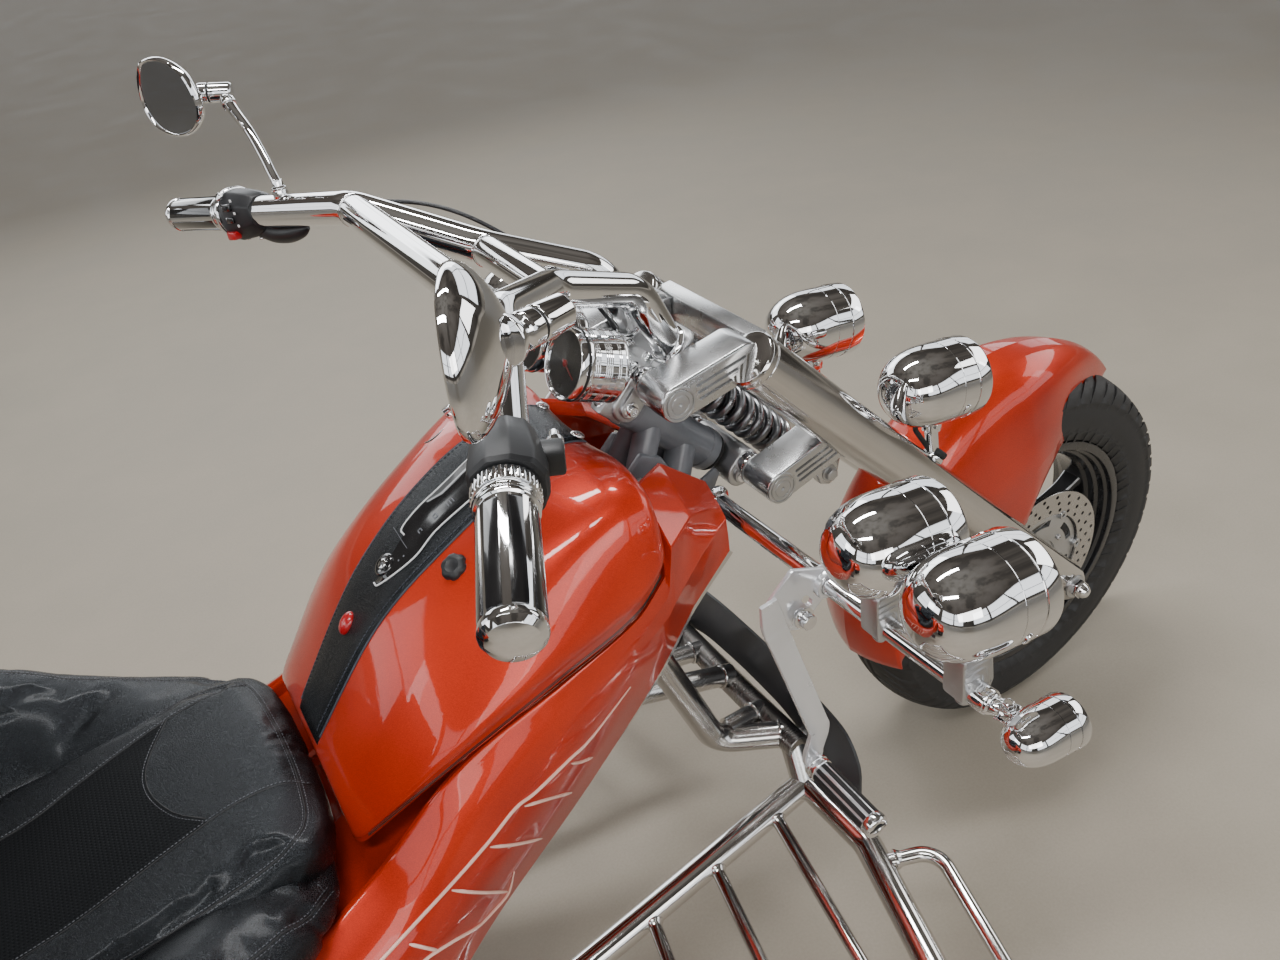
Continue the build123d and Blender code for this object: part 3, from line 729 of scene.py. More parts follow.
GLOSS_BLACK = plastic("gloss_black", (0.004, 0.004, 0.005), (0.010, 0.010, 0.011), 0.08, 0.2, 200.0, 0.02, 1.0)
BLACK_RIM = plastic("black_rim_paint", (0.006, 0.006, 0.007), (0.016, 0.016, 0.018), 0.2, 0.36, 300.0, 0.04, 0.6)
RUBBER = plastic("black_rubber", (0.007, 0.007, 0.007), (0.018, 0.0175, 0.017), 0.55, 0.75, 700.0, 0.25)
CABLE = plastic("black_cable_sheath", (0.008, 0.008, 0.009), (0.020, 0.020, 0.022), 0.3, 0.45, 300.0, 0.1)
LEATHER = leather("black_leather", (0.0024, 0.0025, 0.0029), (0.0056, 0.0058, 0.0066), 0.19, 0.33, depth=0.42, spec=0.33)
SOFT_LEATHER = leather("fine_black_leather", (0.005, 0.005, 0.006), (0.011, 0.011, 0.0125), 0.36, 0.55, 700.0, 0.2)
PUNCHED = leather("punched_black_leather", (0.0022, 0.0022, 0.0025), (0.0048, 0.0048, 0.0053), 0.46, 0.62, 600.0, 0.22, holes=0.0045, spec=0.16)
THREAD = plastic("grey_thread", (0.10, 0.105, 0.12), (0.20, 0.21, 0.23), 0.6, 0.8, 3000.0, 0.5)
EDGE_CORD = plastic("blue_grey_edge_cord", (0.03, 0.034, 0.046), (0.07, 0.08, 0.105), 0.5, 0.7, 3000.0, 0.5)
GREY_PAINT = plastic("light_grey_paint", (0.10, 0.11, 0.125), (0.19, 0.20, 0.22), 0.26, 0.46, 500.0, 0.12, 0.35)
WHITE = plastic("white_print", (0.62, 0.63, 0.64), (0.80, 0.80, 0.80), 0.35, 0.5, 400.0, 0.02)
PRINT = plastic("dial_print", (0.78, 0.79, 0.80), (0.90, 0.90, 0.90), 0.4, 0.5, 400.0, 0.02)
DIAL = plastic("grey_dial", (0.045, 0.042, 0.040), (0.070, 0.066, 0.062), 0.4, 0.5, 900.0, 0.05)
# pale pinkish colour for the panel's raised lines: painted highlight along the relief steps
RIDGE_PAINTED_HIGHLIGHT = plastic("pale_line_painted_highlight", (0.80, 0.46, 0.36), (0.92, 0.60, 0.50), 0.2, 0.3, 300.0, 0.02, 0.8)
RED = plastic("red_button_plastic", (0.30, 0.004, 0.008), (0.48, 0.010, 0.014), 0.18, 0.34, 500.0, 0.04, 0.5)
RED_LENS = plastic("red_lens", (0.32, 0.003, 0.004), (0.55, 0.008, 0.008), 0.06, 0.14, 120.0, 0.03, 1.0)
AMBER = plastic("amber_lens", (0.70, 0.16, 0.01), (0.90, 0.26, 0.02), 0.06, 0.14, 120.0, 0.03, 1.0)
MIRROR = bright("dark_mirror_glass", (0.34, 0.35, 0.37), 0.008, 0.02, wave=0.0, tint=0.02)
REFLECTOR = bright("lamp_reflector", (0.88, 0.88, 0.88), 0.05, 0.1, smudge=30.0)
COPPER = bright("brass_fitting", (0.55, 0.40, 0.20), 0.2, 0.35, smudge=60.0)
PLATE = plastic("blank_plate", (0.55, 0.56, 0.57), (0.66, 0.67, 0.68), 0.35, 0.5, 300.0, 0.05, 0.3)


def glass(name, tint, rough=0.02):
    m = Mat(name, Transmission_Weight=1.0, IOR=1.45)
    m.set(Roughness=m.span(m.noise(30.0, 3.0), 0.3, 0.7, rough, rough + 0.03))
    m.set(Base_Color=m.ramp(m.noise(8.0, 2.0), [(0.3, [c * 0.97 for c in tint]), (0.7, tint)]))
    return m.m


GLASS = glass("clear_lens_glass", (0.96, 0.97, 0.98))


def tyre_rubber():
    m = Mat("tyre_rubber", IOR=1.5)
    dust = m.noise(9.0, 6.0, 0.65)
    fine = m.noise(260.0, 4.0, 0.6)
    m.set(Base_Color=m.ramp(dust, [(0.3, (0.012, 0.012, 0.0125)), (0.6, (0.022, 0.0215, 0.021)), (0.85, (0.045, 0.043, 0.040))]))
    m.set(Roughness=m.span(dust, 0.3, 0.7, 0.5, 0.74))
    m.set(Normal=m.bump(fine, 0.3, 0.0006))
    return m.m


TYRE = tyre_rubber()


def engine_metal():
    m = Mat("engine_cast_metal", Metallic=0.75)
    d = m.noise(11.0, 6.0, 0.65)
    g = m.noise(420.0, 3.0)
    m.set(Base_Color=m.ramp(d, [(0.3, (0.11, 0.11, 0.11)), (0.65, (0.22, 0.22, 0.22)), (0.85, (0.30, 0.29, 0.28))]))
    m.set(Roughness=m.span(d, 0.3, 0.7, 0.42, 0.68))
    m.set(Normal=m.bump(g, 0.35, 0.0008))
    return m.m


ENGINE = engine_metal()

SLOT_MATERIAL = {
    "orange_paint": ORANGE, "grey_paint": GREY_PAINT, "dark_steel": DARK_STEEL, "chrome": CHROME,
    "polished_steel": STAINLESS, "alloy": ALLOY, "black_rim": BLACK_RIM, "disc_steel": DISC,
    "black_leather": LEATHER, "black_plastic": BLACK, "rubber": RUBBER, "tyre": TYRE,
    "red_lens": RED_LENS, "engine_metal": ENGINE, "spring_steel": SPRING,
}
for row in frame["record"]["subparts"]:
    ob = frame["nodes"].get(row.get("node"))
    mt = SLOT_MATERIAL.get(row.get("material_slot", ""))
    if ob is not None and mt is not None:
        for i in range(max(1, len(ob.material_slots))):
            if len(ob.material_slots) <= i:
                ob.data.materials.append(mt)
            ob.material_slots[i].link = "OBJECT"
            ob.material_slots[i].material = mt


# ------------------------------------------------------------- stage
def stage_set():
    m = Mat("pale_floor", IOR=1.45)
    n = m.noise(3.0, 5.0, 0.6)
    f = m.noise(240.0, 3.0, 0.6)
    v = m.math("ADD", m.math("MULTIPLY", n, 0.6), m.math("MULTIPLY", f, 0.4))
    m.set(Base_Color=m.ramp(v, [(0.3, (0.37, 0.33, 0.265)), (0.7, (0.455, 0.405, 0.33))]))
    m.set(Roughness=m.span(n, 0.3, 0.7, 0.55, 0.7))
    n = 48
    verts = [(0, 0, -0.0006)] + [(30 * math.cos(6.2832 * i / n), 30 * math.sin(6.2832 * i / n), -0.0006) for i in range(n)]
    me = bpy.data.meshes.new("floor")
    me.from_pydata(verts, [], [(0, 1 + i, 1 + (i + 1) % n) for i in range(n)])
    me.materials.append(m.m)
    fl = link(bpy.data.objects.new("floor", me))

    w = bpy.data.worlds.new("studio")
    bpy.context.scene.world = w
    w.use_nodes = True
    t = w.node_tree
    bg = t.nodes["Background"]
    tc = t.nodes.new("ShaderNodeTexCoord")
    sx = t.nodes.new("ShaderNodeSeparateXYZ")
    t.links.new(tc.outputs["Generated"], sx.inputs[0])

    def ranged(value, lo, hi):
        mr = t.nodes.new("ShaderNodeMapRange")
        mr.inputs["From Min"].default_value = lo
        mr.inputs["From Max"].default_value = hi
        t.links.new(value, mr.inputs["Value"])
        return mr.outputs["Result"]

    def stops(value, rows, kind="LINEAR"):
        r = t.nodes.new("ShaderNodeValToRGB")
        r.color_ramp.interpolation = kind
        e = r.color_ramp.elements
        while len(e) < len(rows):
            e.new(0.5)
        for i, (p, c) in enumerate(rows):
            e[i].position = p
            e[i].color = (c[0], c[1], c[2], 1)
        t.links.new(value, r.inputs["Fac"])
        return r.outputs["Color"]
    up = ranged(sx.outputs["Z"], -1.0, 1.0)
    room = stops(up, [(0.0, (0.26, 0.235, 0.20)), (0.495, (0.28, 0.255, 0.22)), (0.505, (0.05, 0.045, 0.04)), (0.56, (0.06, 0.054, 0.048)),
                      (0.72, (0.075, 0.066, 0.058)), (0.88, (0.125, 0.112, 0.10)), (1.0, (0.20, 0.187, 0.17))])
    # uneven ceiling: darker fields and lighter beams
    nz = t.nodes.new("ShaderNodeTexNoise")
    nz.inputs["Scale"].default_value = 3.2
    nz.inputs["Detail"].default_value = 3.0
    t.links.new(tc.outputs["Generated"], nz.inputs["Vector"])
    fields = stops(nz.outputs["Fac"], [(0.38, (0.45, 0.45, 0.45)), (0.5, (0.85, 0.84, 0.82)), (0.56, (0.9, 0.9, 0.9)), (0.64, (1.0, 1.0, 1.0))])
    dim = t.nodes.new("ShaderNodeMix")
    dim.data_type, dim.blend_type = "RGBA", "MULTIPLY"
    dim.inputs["Factor"].default_value = 1.0
    t.links.new(room, dim.inputs[6])
    t.links.new(fields, dim.inputs[7])
    room = dim.outputs[2]
    band = stops(up, [(0.0, (0, 0, 0)), (0.527, (0, 0, 0)), (0.531, (1, 1, 1)), (0.608, (0.95, 0.95, 0.95)), (0.610, (0.1, 0.1, 0.1)),
                      (0.614, (0.1, 0.1, 0.1)), (0.616, (1, 1, 1)), (0.705, (0.95, 0.95, 0.95)), (0.715, (0, 0, 0))])
    turn = t.nodes.new("ShaderNodeMath")
    turn.operation = "ARCTAN2"
    t.links.new(sx.outputs["Y"], turn.inputs[0])
    t.links.new(sx.outputs["X"], turn.inputs[1])
    # window panels round the room: start and end of each, as shares of the full turn
    panels = [(0.03, 0.10), (0.106, 0.16), (0.215, 0.285), (0.291, 0.36), (0.366, 0.435), (0.56, 0.63), (0.636, 0.70), (0.706, 0.77), (0.87, 0.97)]
    rows = [(0.0, (0, 0, 0))]
    for a, b in panels:
        rows += [(a, (1.45, 1.5, 1.56)), (b, (0.0, 0.0, 0.0))]
    pane = stops(ranged(turn.outputs[0], -math.pi, math.pi), rows, "CONSTANT")
    mul = t.nodes.new("ShaderNodeMix")
    mul.data_type, mul.blend_type = "RGBA", "MULTIPLY"
    mul.inputs["Factor"].default_value = 1.0
    mul.clamp_result = False
    t.links.new(pane, mul.inputs[6])
    t.links.new(band, mul.inputs[7])
    both = t.nodes.new("ShaderNodeMix")
    both.data_type, both.blend_type = "RGBA", "ADD"
    both.inputs["Factor"].default_value = 1.0
    both.clamp_result = False
    t.links.new(room, both.inputs[6])
    t.links.new(mul.outputs[2], both.inputs[7])
    t.links.new(both.outputs[2], bg.inputs["Color"])
    bg.inputs["Strength"].default_value = 1.3


def soft_light(name, at, to, size, power, colour=(1, 1, 1)):
    d = bpy.data.lights.new(name, "AREA")
    d.shape = "RECTANGLE"
    d.size, d.size_y = size
    d.energy = power
    d.color = colour
    o = link(bpy.data.objects.new(name, d))
    o.location = at
    o.rotation_euler = (Vector(to) - Vector(at)).to_track_quat("-Z", "Y").to_euler()
    return o


stage_set()
soft_light("tube_a", (0.9, 0.7, 2.9), (0.7, 0.1, 0.5), (1.5, 0.22), 46)
soft_light("tube_b", (-0.5, -0.9, 2.9), (0.1, 0.0, 0.5), (1.5, 0.22), 34)
soft_light("window_left", (1.0, 4.2, 2.3), (0.6, 0.0, 0.6), (4.6, 1.6), 62, (0.95, 0.98, 1.0))
soft_light("window_front", (4.6, -0.6, 2.4), (0.8, 0.0, 0.6), (2.6, 1.4), 42, (1.0, 0.99, 0.97))
soft_light("fill_right", (-0.4, -3.8, 2.2), (0.2, 0.0, 0.5), (3.2, 1.2), 52, (1.0, 0.98, 0.95))
soft_light("fill_rear", (-4.4, 0.4, 2.4), (-0.6, 0.0, 0.6), (2.4, 1.2), 30)

# the camera stands beside and above the rider's right shoulder
CAM_R = ((0.8491306, -0.5171399, -0.1074407), (-0.3646547, -0.4268210, -0.8275571), (0.3821049, 0.7418829, -0.5510042))
cam = bpy.data.cameras.new("camera")
cam.sensor_width = 36.0
cam.sensor_fit = "HORIZONTAL"
cam.lens = 36.0 * 1029.36 / 1280.0
cam.clip_start = 0.01
cam_ob = link(bpy.data.objects.new("camera", cam))
bx, by, bz = Vector(CAM_R[0]), -Vector(CAM_R[1]), -Vector(CAM_R[2])
mw = Matrix((bx, by, bz)).transposed().to_4x4()
mw.translation = Vector((0.2977, -0.9493, 1.4516))
cam_ob.matrix_world = mw
bpy.context.scene.camera = cam_ob


# ------------------------------------------------------------- wheels
def tyre(name, R, half, br, bh, xc, yc, pitches, body, node, gw=0.075, seg=5):
    """tyre with sidewall ribs and a tread of swept grooves cut into the mesh"""
    h = R - br
    y1, r1 = 0.86 * half, R - 0.16 * h
    s = R - r1
    rho = (y1 * y1 + s * s) / (2 * s)
    crown = [0.0, 0.07, 0.125, 0.15, 0.21, 0.25, 0.38, 0.52, 0.66, 0.78, 0.9, 1.0]
    side = [(0.925 * half, br + 0.775 * h), (0.965 * half, br + 0.70 * h), (0.975 * half, br + 0.675 * h),
            (0.965 * half, br + 0.66 * h), (0.985 * half, br + 0.57 * h), (half, br + 0.45 * h),
            (0.99 * half, br + 0.35 * h), (0.96 * half, br + 0.27 * h), (0.965 * half, br + 0.255 * h),
            (0.955 * half, br + 0.24 * h), (0.93 * half, br + 0.2 * h), (bh + 6.6, br + 12.2), (bh + 4.0, br + 10.0),
            (bh, br + 9.8), (bh, br)]
    prof = [(c * y1, R - rho + math.sqrt(rho * rho - (c * y1) ** 2)) for c in crown] + side
    n_groove = len(crown) + 2
    full = [(-y, r) for y, r in reversed(prof)] + prof[1:]
    cuts = [0.0, 0.18 - gw, 0.18 - gw * 0.75, 0.18 + gw * 0.75, 0.18 + gw, 0.42, 0.64 - gw * 0.8, 0.64 - gw * 0.55,
            0.64 + gw * 0.55, 0.64 + gw * 0.8, 0.84]
    deep = [0, 0, 1, 1, 0, 0, 0, 2, 2, 0, 0]
    rows = []
    pitch = 2 * math.pi / pitches
    for i in range(pitches):
        for u, dp in zip(cuts, deep):
            row = []
            for y, r in full:
                ay = abs(y) / y1
                # the grid follows the grooves, which sweep back towards the shoulder
                shear = pitch * (0.95 * min(ay, 1.25) ** 1.5 + (0.25 if y > 0 else -0.25) * smooth_steps(0.0, 0.2, ay))
                depth = 0.0
                if dp == 1 and 0.20 < ay < 1.13:
                    depth = 5.0
                elif dp == 2 and 0.6 < ay < 1.13:
                    depth = 3.6
                if abs(ay - 0.14) < 0.02 or abs(ay - 0.15) < 0.001:
                    depth = max(depth, 4.0 if 0.12 < ay < 0.18 else 0.0)
                if ay > 1.06:
                    depth *= 0.55
                t = pitch * (i + u) + shear
                rr = r - depth
                row.append((xc + rr * math.cos(t), yc + y, R + rr * math.sin(t)))
            rows.append(row)
    g = Geo()
    skin(g, rows, closed_u=True, closed_v=True)
    return piece(name, g, TYRE, body, node, sharp=38)


tyre("front_tyre_treaded", FW_R, 72.0, 206.0, 56.0, 0.0, 0.0, 30, "front_wheel", "front_tyre")
for sd, s in (("left", 1), ("right", -1)):
    tyre("rear_tyre_treaded_" + sd, RW_R, 148.0, 196.0, 128.0, -WHEELBASE, s * RW_Y, 26, "rear_wheel_" + sd,
         "rear_tyre_" + sd)


def front_rim():
    g = Geo()
    c = (0, 0, FW_R)
    Y = (0, 1, 0)
    prof = [(-62.2, 200), (-62.2, 214.5), (-56.4, 214.5), (-56.4, 205.7), (-31, 205.7), (-22.6, 186.5), (22.6, 186.5),
            (31, 205.7), (56.4, 205.7), (56.4, 214.5), (62.2, 214.5), (62.2, 200), (54, 199), (51, 193.5), (40, 192.5),
            (37, 186), (27, 184), (22, 178.5), (-22, 178.5), (-27, 184), (-37, 186), (-40, 192.5), (-51, 193.5), (-54, 199)]
    ring_form(g, prof, c, Y, 112, 0, 1.3, 3)
    lathe(g, [(-60, 14), (-60, 27), (-48, 30), (-34, 33), (-18, 37), (18, 37), (34, 33), (48, 30), (60, 27), (60, 14)], c, Y, 64, 0, 2.0, seg=3)
    for i in range(6):
        a = math.radians(60 * i + 12)
        d = Vector((math.cos(a), 0, math.sin(a)))
        t = Vector((-math.sin(a), 0, math.cos(a)))
        o = Vector(c)
        # each spoke forks into two slim legs towards the barrel
        for k in (-1, 1):
            stations = [(30, 5 * k, 9, 20), (60, 6 * k, 8, 18), (105, 9 * k, 7, 15), (150, 16 * k, 7, 14), (184, 26 * k, 9, 17)]
            rows = []
            for r, off, w, dp in stations:
                m = o + d * r + t * off
                rows.append([m + t * w - Vector(Y) * (dp - 3), m + t * (w - 3) - Vector(Y) * dp, m - t * (w - 3) - Vector(Y) * dp,
                             m - t * w - Vector(Y) * (dp - 3), m - t * w + Vector(Y) * (dp - 3), m - t * (w - 3) + Vector(Y) * dp,
                             m + t * (w - 3) + Vector(Y) * dp, m + t * w + Vector(Y) * (dp - 3)])
            skin(g, rows, 0, closed_v=True, cap0=True, cap1=True)
            for s in (-1, 1):
                edge = [o + d * r + t * (off + k * (w - 1.5)) + Vector(Y) * (s * (dp - 1.3)) for r, off, w, dp in stations]
                sweep(g, curve_through(edge, 3), circle(1.7, 8), 1)
    for i in range(5):
        a = math.radians(72 * i + 20)
        bolt(g, (49 * math.cos(a), -60.2, FW_R + 49 * math.sin(a)), (0, 1, 0), 4.5, 4, 1, washer=False)
    # air valve
    tube(g, [(0, 18, FW_R + 184), (0, 42, FW_R + 164)], 3.2, 0, 14, 2)
    piece("front_rim_detailed", g, [BLACK_RIM, ALLOY, BLACK], "front_wheel", "front_rim", sharp=30)


front_rim()


def brake_disc():
    c = Vector((0, 0, FW_R))
    Y = Vector((0, 1, 0))
    g = Geo()
    ring_form(g, [(-80.4, 93), (-80.4, 134.8), (-75.6, 134.8), (-75.6, 93)], c, Y, 120, 0, 0.4, 1)
    holes = Geo()
    for k, (r, off) in enumerate([(101, 0.0), (113.5, 0.33), (126, 0.66)]):
        n = 26
        for i in range(n):
            a = 2 * math.pi * (i + off) / n
            lathe(holes, [(-83, 0), (-83, 3.4), (-73, 3.4), (-73, 0)], c + Vector((r * math.cos(a), 0, r * math.sin(a))), Y, 12, 0, 0)
    g = carve(g, holes, "disc")
    g2 = Geo()
    ring_form(g2, [(-76.5, 42), (-76.5, 90.5), (-71.5, 90.5), (-71.5, 42)], c, Y, 96, 1, 0.8, 2)
    slots = Geo()
    for i in range(6):
        a0 = math.radians(60 * i + 14)
        path = [c + Vector((76 * math.cos(a0 + math.radians(32) * q / 8), 0, 76 * math.sin(a0 + math.radians(32) * q / 8))) for q in range(9)]
        sweep(slots, path, [(-5.5, -12), (5.5, -12), (5.5, 12), (-5.5, 12)], 1, ref=(0, 0, 1) if abs(math.sin(a0)) < 0.7 else (1, 0, 0))
    for i in range(6):
        a0 = math.radians(60 * i + 14)
        # flat slot bodies square to the axle
        pts = []
        for q in range(9):
            t = a0 + math.radians(32) * q / 8
            pts.append((81 * math.cos(t), 81 * math.sin(t)))
        for q in range(9):
            t = a0 + math.radians(32) * (8 - q) / 8
            pts.append((69 * math.cos(t), 69 * math.sin(t)))
        if i == 0:
            slots = Geo()
        n = len(pts)
        verts = [Vector((x, -84, FW_R + z)) for x, z in pts] + [Vector((x, -64, FW_R + z)) for x, z in pts]
        faces = [list(range(n)), list(reversed(range(n, 2 * n)))] + [[(j + 1) % n, j, j + n, (j + 1) % n + n] for j in range(n)]
        slots.add(verts, faces, 1)
    g2 = carve(g2, slots, "carrier")
    lathe(g2, [(-75, 24), (-75, 38), (-73.5, 44), (-60.5, 44), (-60.5, 24)], c, Y, 64, 1, 1.0)
    for i in range(6):
        a = math.radians(60 * i)
        p = c + Vector((91.5 * math.cos(a), 0, 91.5 * math.sin(a)))
        ring_form(g2, [(-82.2, 3.2), (-82.2, 7.6), (-73.2, 7.6), (-73.2, 3.2)], p, Y, 28, 1, 0.6)
        lathe(g2, [(-81.2, 0), (-81.2, 3.3), (-74, 3.3), (-74, 0)], p, Y, 20, 2, 0.3)
    for i in range(5):
        a = math.radians(72 * i + 36)
        bolt(g2, c + Vector((56 * math.cos(a), -76.6, 56 * math.sin(a))), (0, -1, 0), 4.6, 4.2, 0, hexed=False, washer=False)
    g.add(g2.v, g2.f, g2.m)
    piece("front_brake_disc_drilled", g, [DISC, ALLOY, DARK_STEEL], "front_wheel", "front_brake_disc", sharp=30)


brake_disc()


def rear_rim(sd, s):
    yc = s * RW_Y
    c = (-WHEELBASE, yc, RW_R)
    Y = (0, s, 0)
    g = Geo()
    prof = [(-134.2, 189), (-134.2, 205.5), (-128.4, 205.5), (-128.4, 195.7), (-70, 195.7), (-51, 170.5), (51, 170.5), (70, 195.7),
            (128.4, 195.7), (128.4, 205.5), (134.2, 205.5), (134.2, 196), (131, 190), (118, 187.5), (112, 182), (76, 180),
            (64, 172), (54, 163), (-54, 163), (-72, 184), (-126, 187)]
    ring_form(g, prof, c, Y, 120, 0, 1.6, 3)
    # five broad spokes with a raised rib and a window between them
    o = Vector(c)
    yv = Vector(Y)
    for i in range(5):
        a = math.radians(90 + 72 * i)
        d = Vector((math.cos(a), 0, math.sin(a)))
        t = Vector((-math.sin(a), 0, math.cos(a)))
        rows = []
        for r, w, y0, y1, rib in [(36, 25, 60, 97, 3), (70, 23, 60, 98, 4), (110, 21, 60, 95, 4), (150, 24, 60, 92, 3), (186, 36, 60, 94, 1)]:
            m = o + d * r
            rows.append([m + t * w + yv * y0, m + t * w + yv * (y1 - 7), m + t * (w - 5) + yv * (y1 - 1), m + t * 7 + yv * (y1 - 2),
                         m + t * 4 + yv * (y1 + rib - 2), m - t * 4 + yv * (y1 + rib - 2), m - t * 7 + yv * (y1 - 2),
                         m - t * (w - 5) + yv * (y1 - 1), m - t * w + yv * (y1 - 7), m - t * w + yv * y0])
        fine = []
        cols = len(rows[0])
        lines = [curve_through([r[q] for r in rows], 5) for q in range(cols)]
        for k in range(len(lines[0])):
            fine.append([lines[q][k] for q in range(cols)])
        skin(g, fine, 0, closed_v=True, cap0=True, cap1=True)
    lathe(g, [(60, 41), (60, 60), (94, 60), (99, 56), (101, 46), (101, 0), (96, 0), (96, 30), (70, 41)], c, Y, 72, 0, 1.5, seg=3)
    lathe(g, [(100, 0), (100, 33), (104, 31), (109, 24), (111, 0)], c, Y, 56, 1, 1.2, seg=3)
    for i in range(5):
        a = math.radians(54 + 72 * i)
        p = o + Vector((50 * math.cos(a), 0, 50 * math.sin(a))) + yv * 99
        bolt(g, p, yv, 8.0, 11, 1)
    tube(g, [tuple(o + Vector((0, 0, 180)) + yv * 84), tuple(o + Vector((0, 0, 166)) + yv * 108)], 3.4, 0, 14, 2)
    piece("rear_rim_detailed_" + sd, g, [ALLOY, CHROME, BLACK], "rear_wheel_" + sd, "rear_rim_" + sd, sharp=30)


rear_rim("left", 1)
rear_rim("right", -1)


# ------------------------------------------------------------- fork
UP = Vector((-RAKE_DX, 0, -RAKE_DZ))
FRONT = Vector((-RAKE_DZ, 0, RAKE_DX))
UP_PIVOT, LO_PIVOT = (-682.0, 908.0), (-551.0, 741.0)
UPF = (UP_PIVOT[0] + 92, UP_PIVOT[1] + 18)
LOF = (LO_PIVOT[0] + 92, LO_PIVOT[1] + 26)
LINK_Y0, LINK_Y1 = 68.0, 121.0
SPRING_TOP, SPRING_LOW = (-617.0, 886.0), (-446.0, 698.0)


def fork_tubes():
    g = Geo()
    for s in (-1, 1):
        o = fork_at(0, 0, s * FORK_Y)
        lathe(g, [(-40, 0), (-40, 19), (-38.5, 26), (-34, 31), (-27, 33), (400, 33), (836, 33), (837.2, 32.2), (838.4, 33),
                  (846, 32.8), (849.2, 30.8), (850.4, 20), (851, 0)], o, UP, 88, 0, 1.3, seg=3)
    piece("fork_tubes_polished", g, STEEL_TUBE, "steering", "fork_tubes", sharp=50)


fork_tubes()


def front_axle():
    g = Geo()
    Y = Vector((0, 1, 0))
    c = Vector((0, 0, FW_R))
    lathe(g, [(-160, 0), (-160, 12.4), (160, 12.4), (160, 0)], c, Y, 40, 0, 0.4)
    for s in (-1, 1):
        d = Y * s
        lathe(g, [(62, 0), (62, 17), (64, 18.5), (74, 18.5), (76, 16.5), (88, 16.5), (88, 0)], c, d, 44, 0, 0.6)
        lathe(g, [(152.0, 0), (152.0, 20), (155.4, 20), (155.4, 0)], c, d, 44, 1, 0.4)
        hexa = [(16.0 * math.cos(math.pi / 3 * i + 0.2), 16.0 * math.sin(math.pi / 3 * i + 0.2)) for i in range(6)]
        prism(g, hexa, c, (1, 0, 0), d, 155.4, 167, 0.8, 0)
        lathe(g, [(166, 0), (166, 12.2), (167.5, 13.0), (169, 12.2), (173.5, 11), (177.6, 7.6), (179.6, 3.4), (180, 0)], c, d, 44, 0, 0.9, seg=3)
    piece("front_axle_nuts", g, [CHROME, ALLOY], "steering", "front_axle", sharp=32)


front_axle()


def groove_cutter(g, a, b, y, offsets, start, end, half=2.1, deep=3.2):
    """long slots along an arm, sunk into its outer face"""
    u = Vector((b[0] - a[0], 0, b[1] - a[1])).normalized()
    n = Vector((-u.z, 0, u.x))
    for off in offsets:
        p = Vector((a[0], 0, a[1])) + u * start + n * off
        q = Vector((a[0], 0, a[1])) + u * end + n * off
        out = stadium((p.x, p.z), (q.x, q.z), half, 6)
        slab_xz(g, out, y - deep if y > 0 else y - 3, y + 3 if y > 0 else y + deep, 0)
    return g


def pivot_cap(g, x, z, s, mat, r=20.4):
    """ringed round cap with a small centre dot"""
    lathe(g, [(LINK_Y1 - 2, 0), (LINK_Y1 - 2, r), (LINK_Y1 + 1.4, r), (LINK_Y1 + 1.4, r - 2.6), (LINK_Y1 - 0.6, r - 3.0),
              (LINK_Y1 - 0.6, r - 4.2), (LINK_Y1 + 1.8, r - 4.6), (LINK_Y1 + 1.8, r - 8.6), (LINK_Y1 + 0.9, r - 8.9),
              (LINK_Y1 + 0.9, r - 9.8), (LINK_Y1 + 1.8, r - 10.1), (LINK_Y1 + 1.8, 2.4), (LINK_Y1 - 1.2, 2.0), (LINK_Y1 - 1.2, 0)],
          (x, 0, z), (0, s, 0), 56, mat, 0.25)


def arm_pair(a, b, half):
    g = Geo()
    slab_xz(g, stadium(a, b, half, 18), LINK_Y0, LINK_Y1, 3.0, 0, 3)
    cut = groove_cutter(Geo(), a, b, LINK_Y1, (-8.5, 0.0, 8.5), half + 5, 96)
    g = carve(g, cut, "arm")
    pivot_cap(g, a[0], a[1], 1, 1)
    # turned boss on the inner face, round the pivot pin
    ring_form(g, [(LINK_Y0 - 1.4, 17.0), (LINK_Y0 - 1.4, 21), (LINK_Y0 + 1, 21), (LINK_Y0 + 1, 17.0)], (a[0], 0, a[1]), (0, 1, 0), 48, 1, 0.4)
    return g.mirror()


def upper_link():
    g = arm_pair(UP_PIVOT, UPF, 22)
    # yoke wall in front, with the corners towards the arms filled
    slab_xz(g, [(-570, 911), (-553, 915), (-547, 942), (-568, 939)], -102, 102, 2.4, 0, 3)
    slab_xz(g, [(-569, 905), (-556, 907), (-551, 917), (-568, 914)], -86, 86, 1.6, 0, 2)
    for s in (-1, 1):
        prism(g, [(-16, -10), (6, -10), (6, 14)], (-576, s * 76, 0), (1, 0, 0), (0, 0, 1), 912, 937, 1.5, 0)
        bolt(g, (-559, s * 40, 909), (0.2, 0, -1), 5.0, 4, 1)
    lathe(g, [(-70, 0), (-70, 10), (-21, 10), (-21, 0)], (SPRING_TOP[0], 0, SPRING_TOP[1]), (0, 1, 0), 36, 1, 0.5)
    lathe(g, [(70, 0), (70, 10), (21, 10), (21, 0)], (SPRING_TOP[0], 0, SPRING_TOP[1]), (0, 1, 0), 36, 1, 0.5)
    for s in (-1, 1):
        lathe(g, [(21, 10), (21, 15), (28, 15), (28, 10)], (SPRING_TOP[0], 0, SPRING_TOP[1]), (0, s, 0), 36, 1, 0.5)
    piece("upper_link_machined", g, [ARM, ALLOY], "steering", "upper_link", sharp=30)


upper_link()


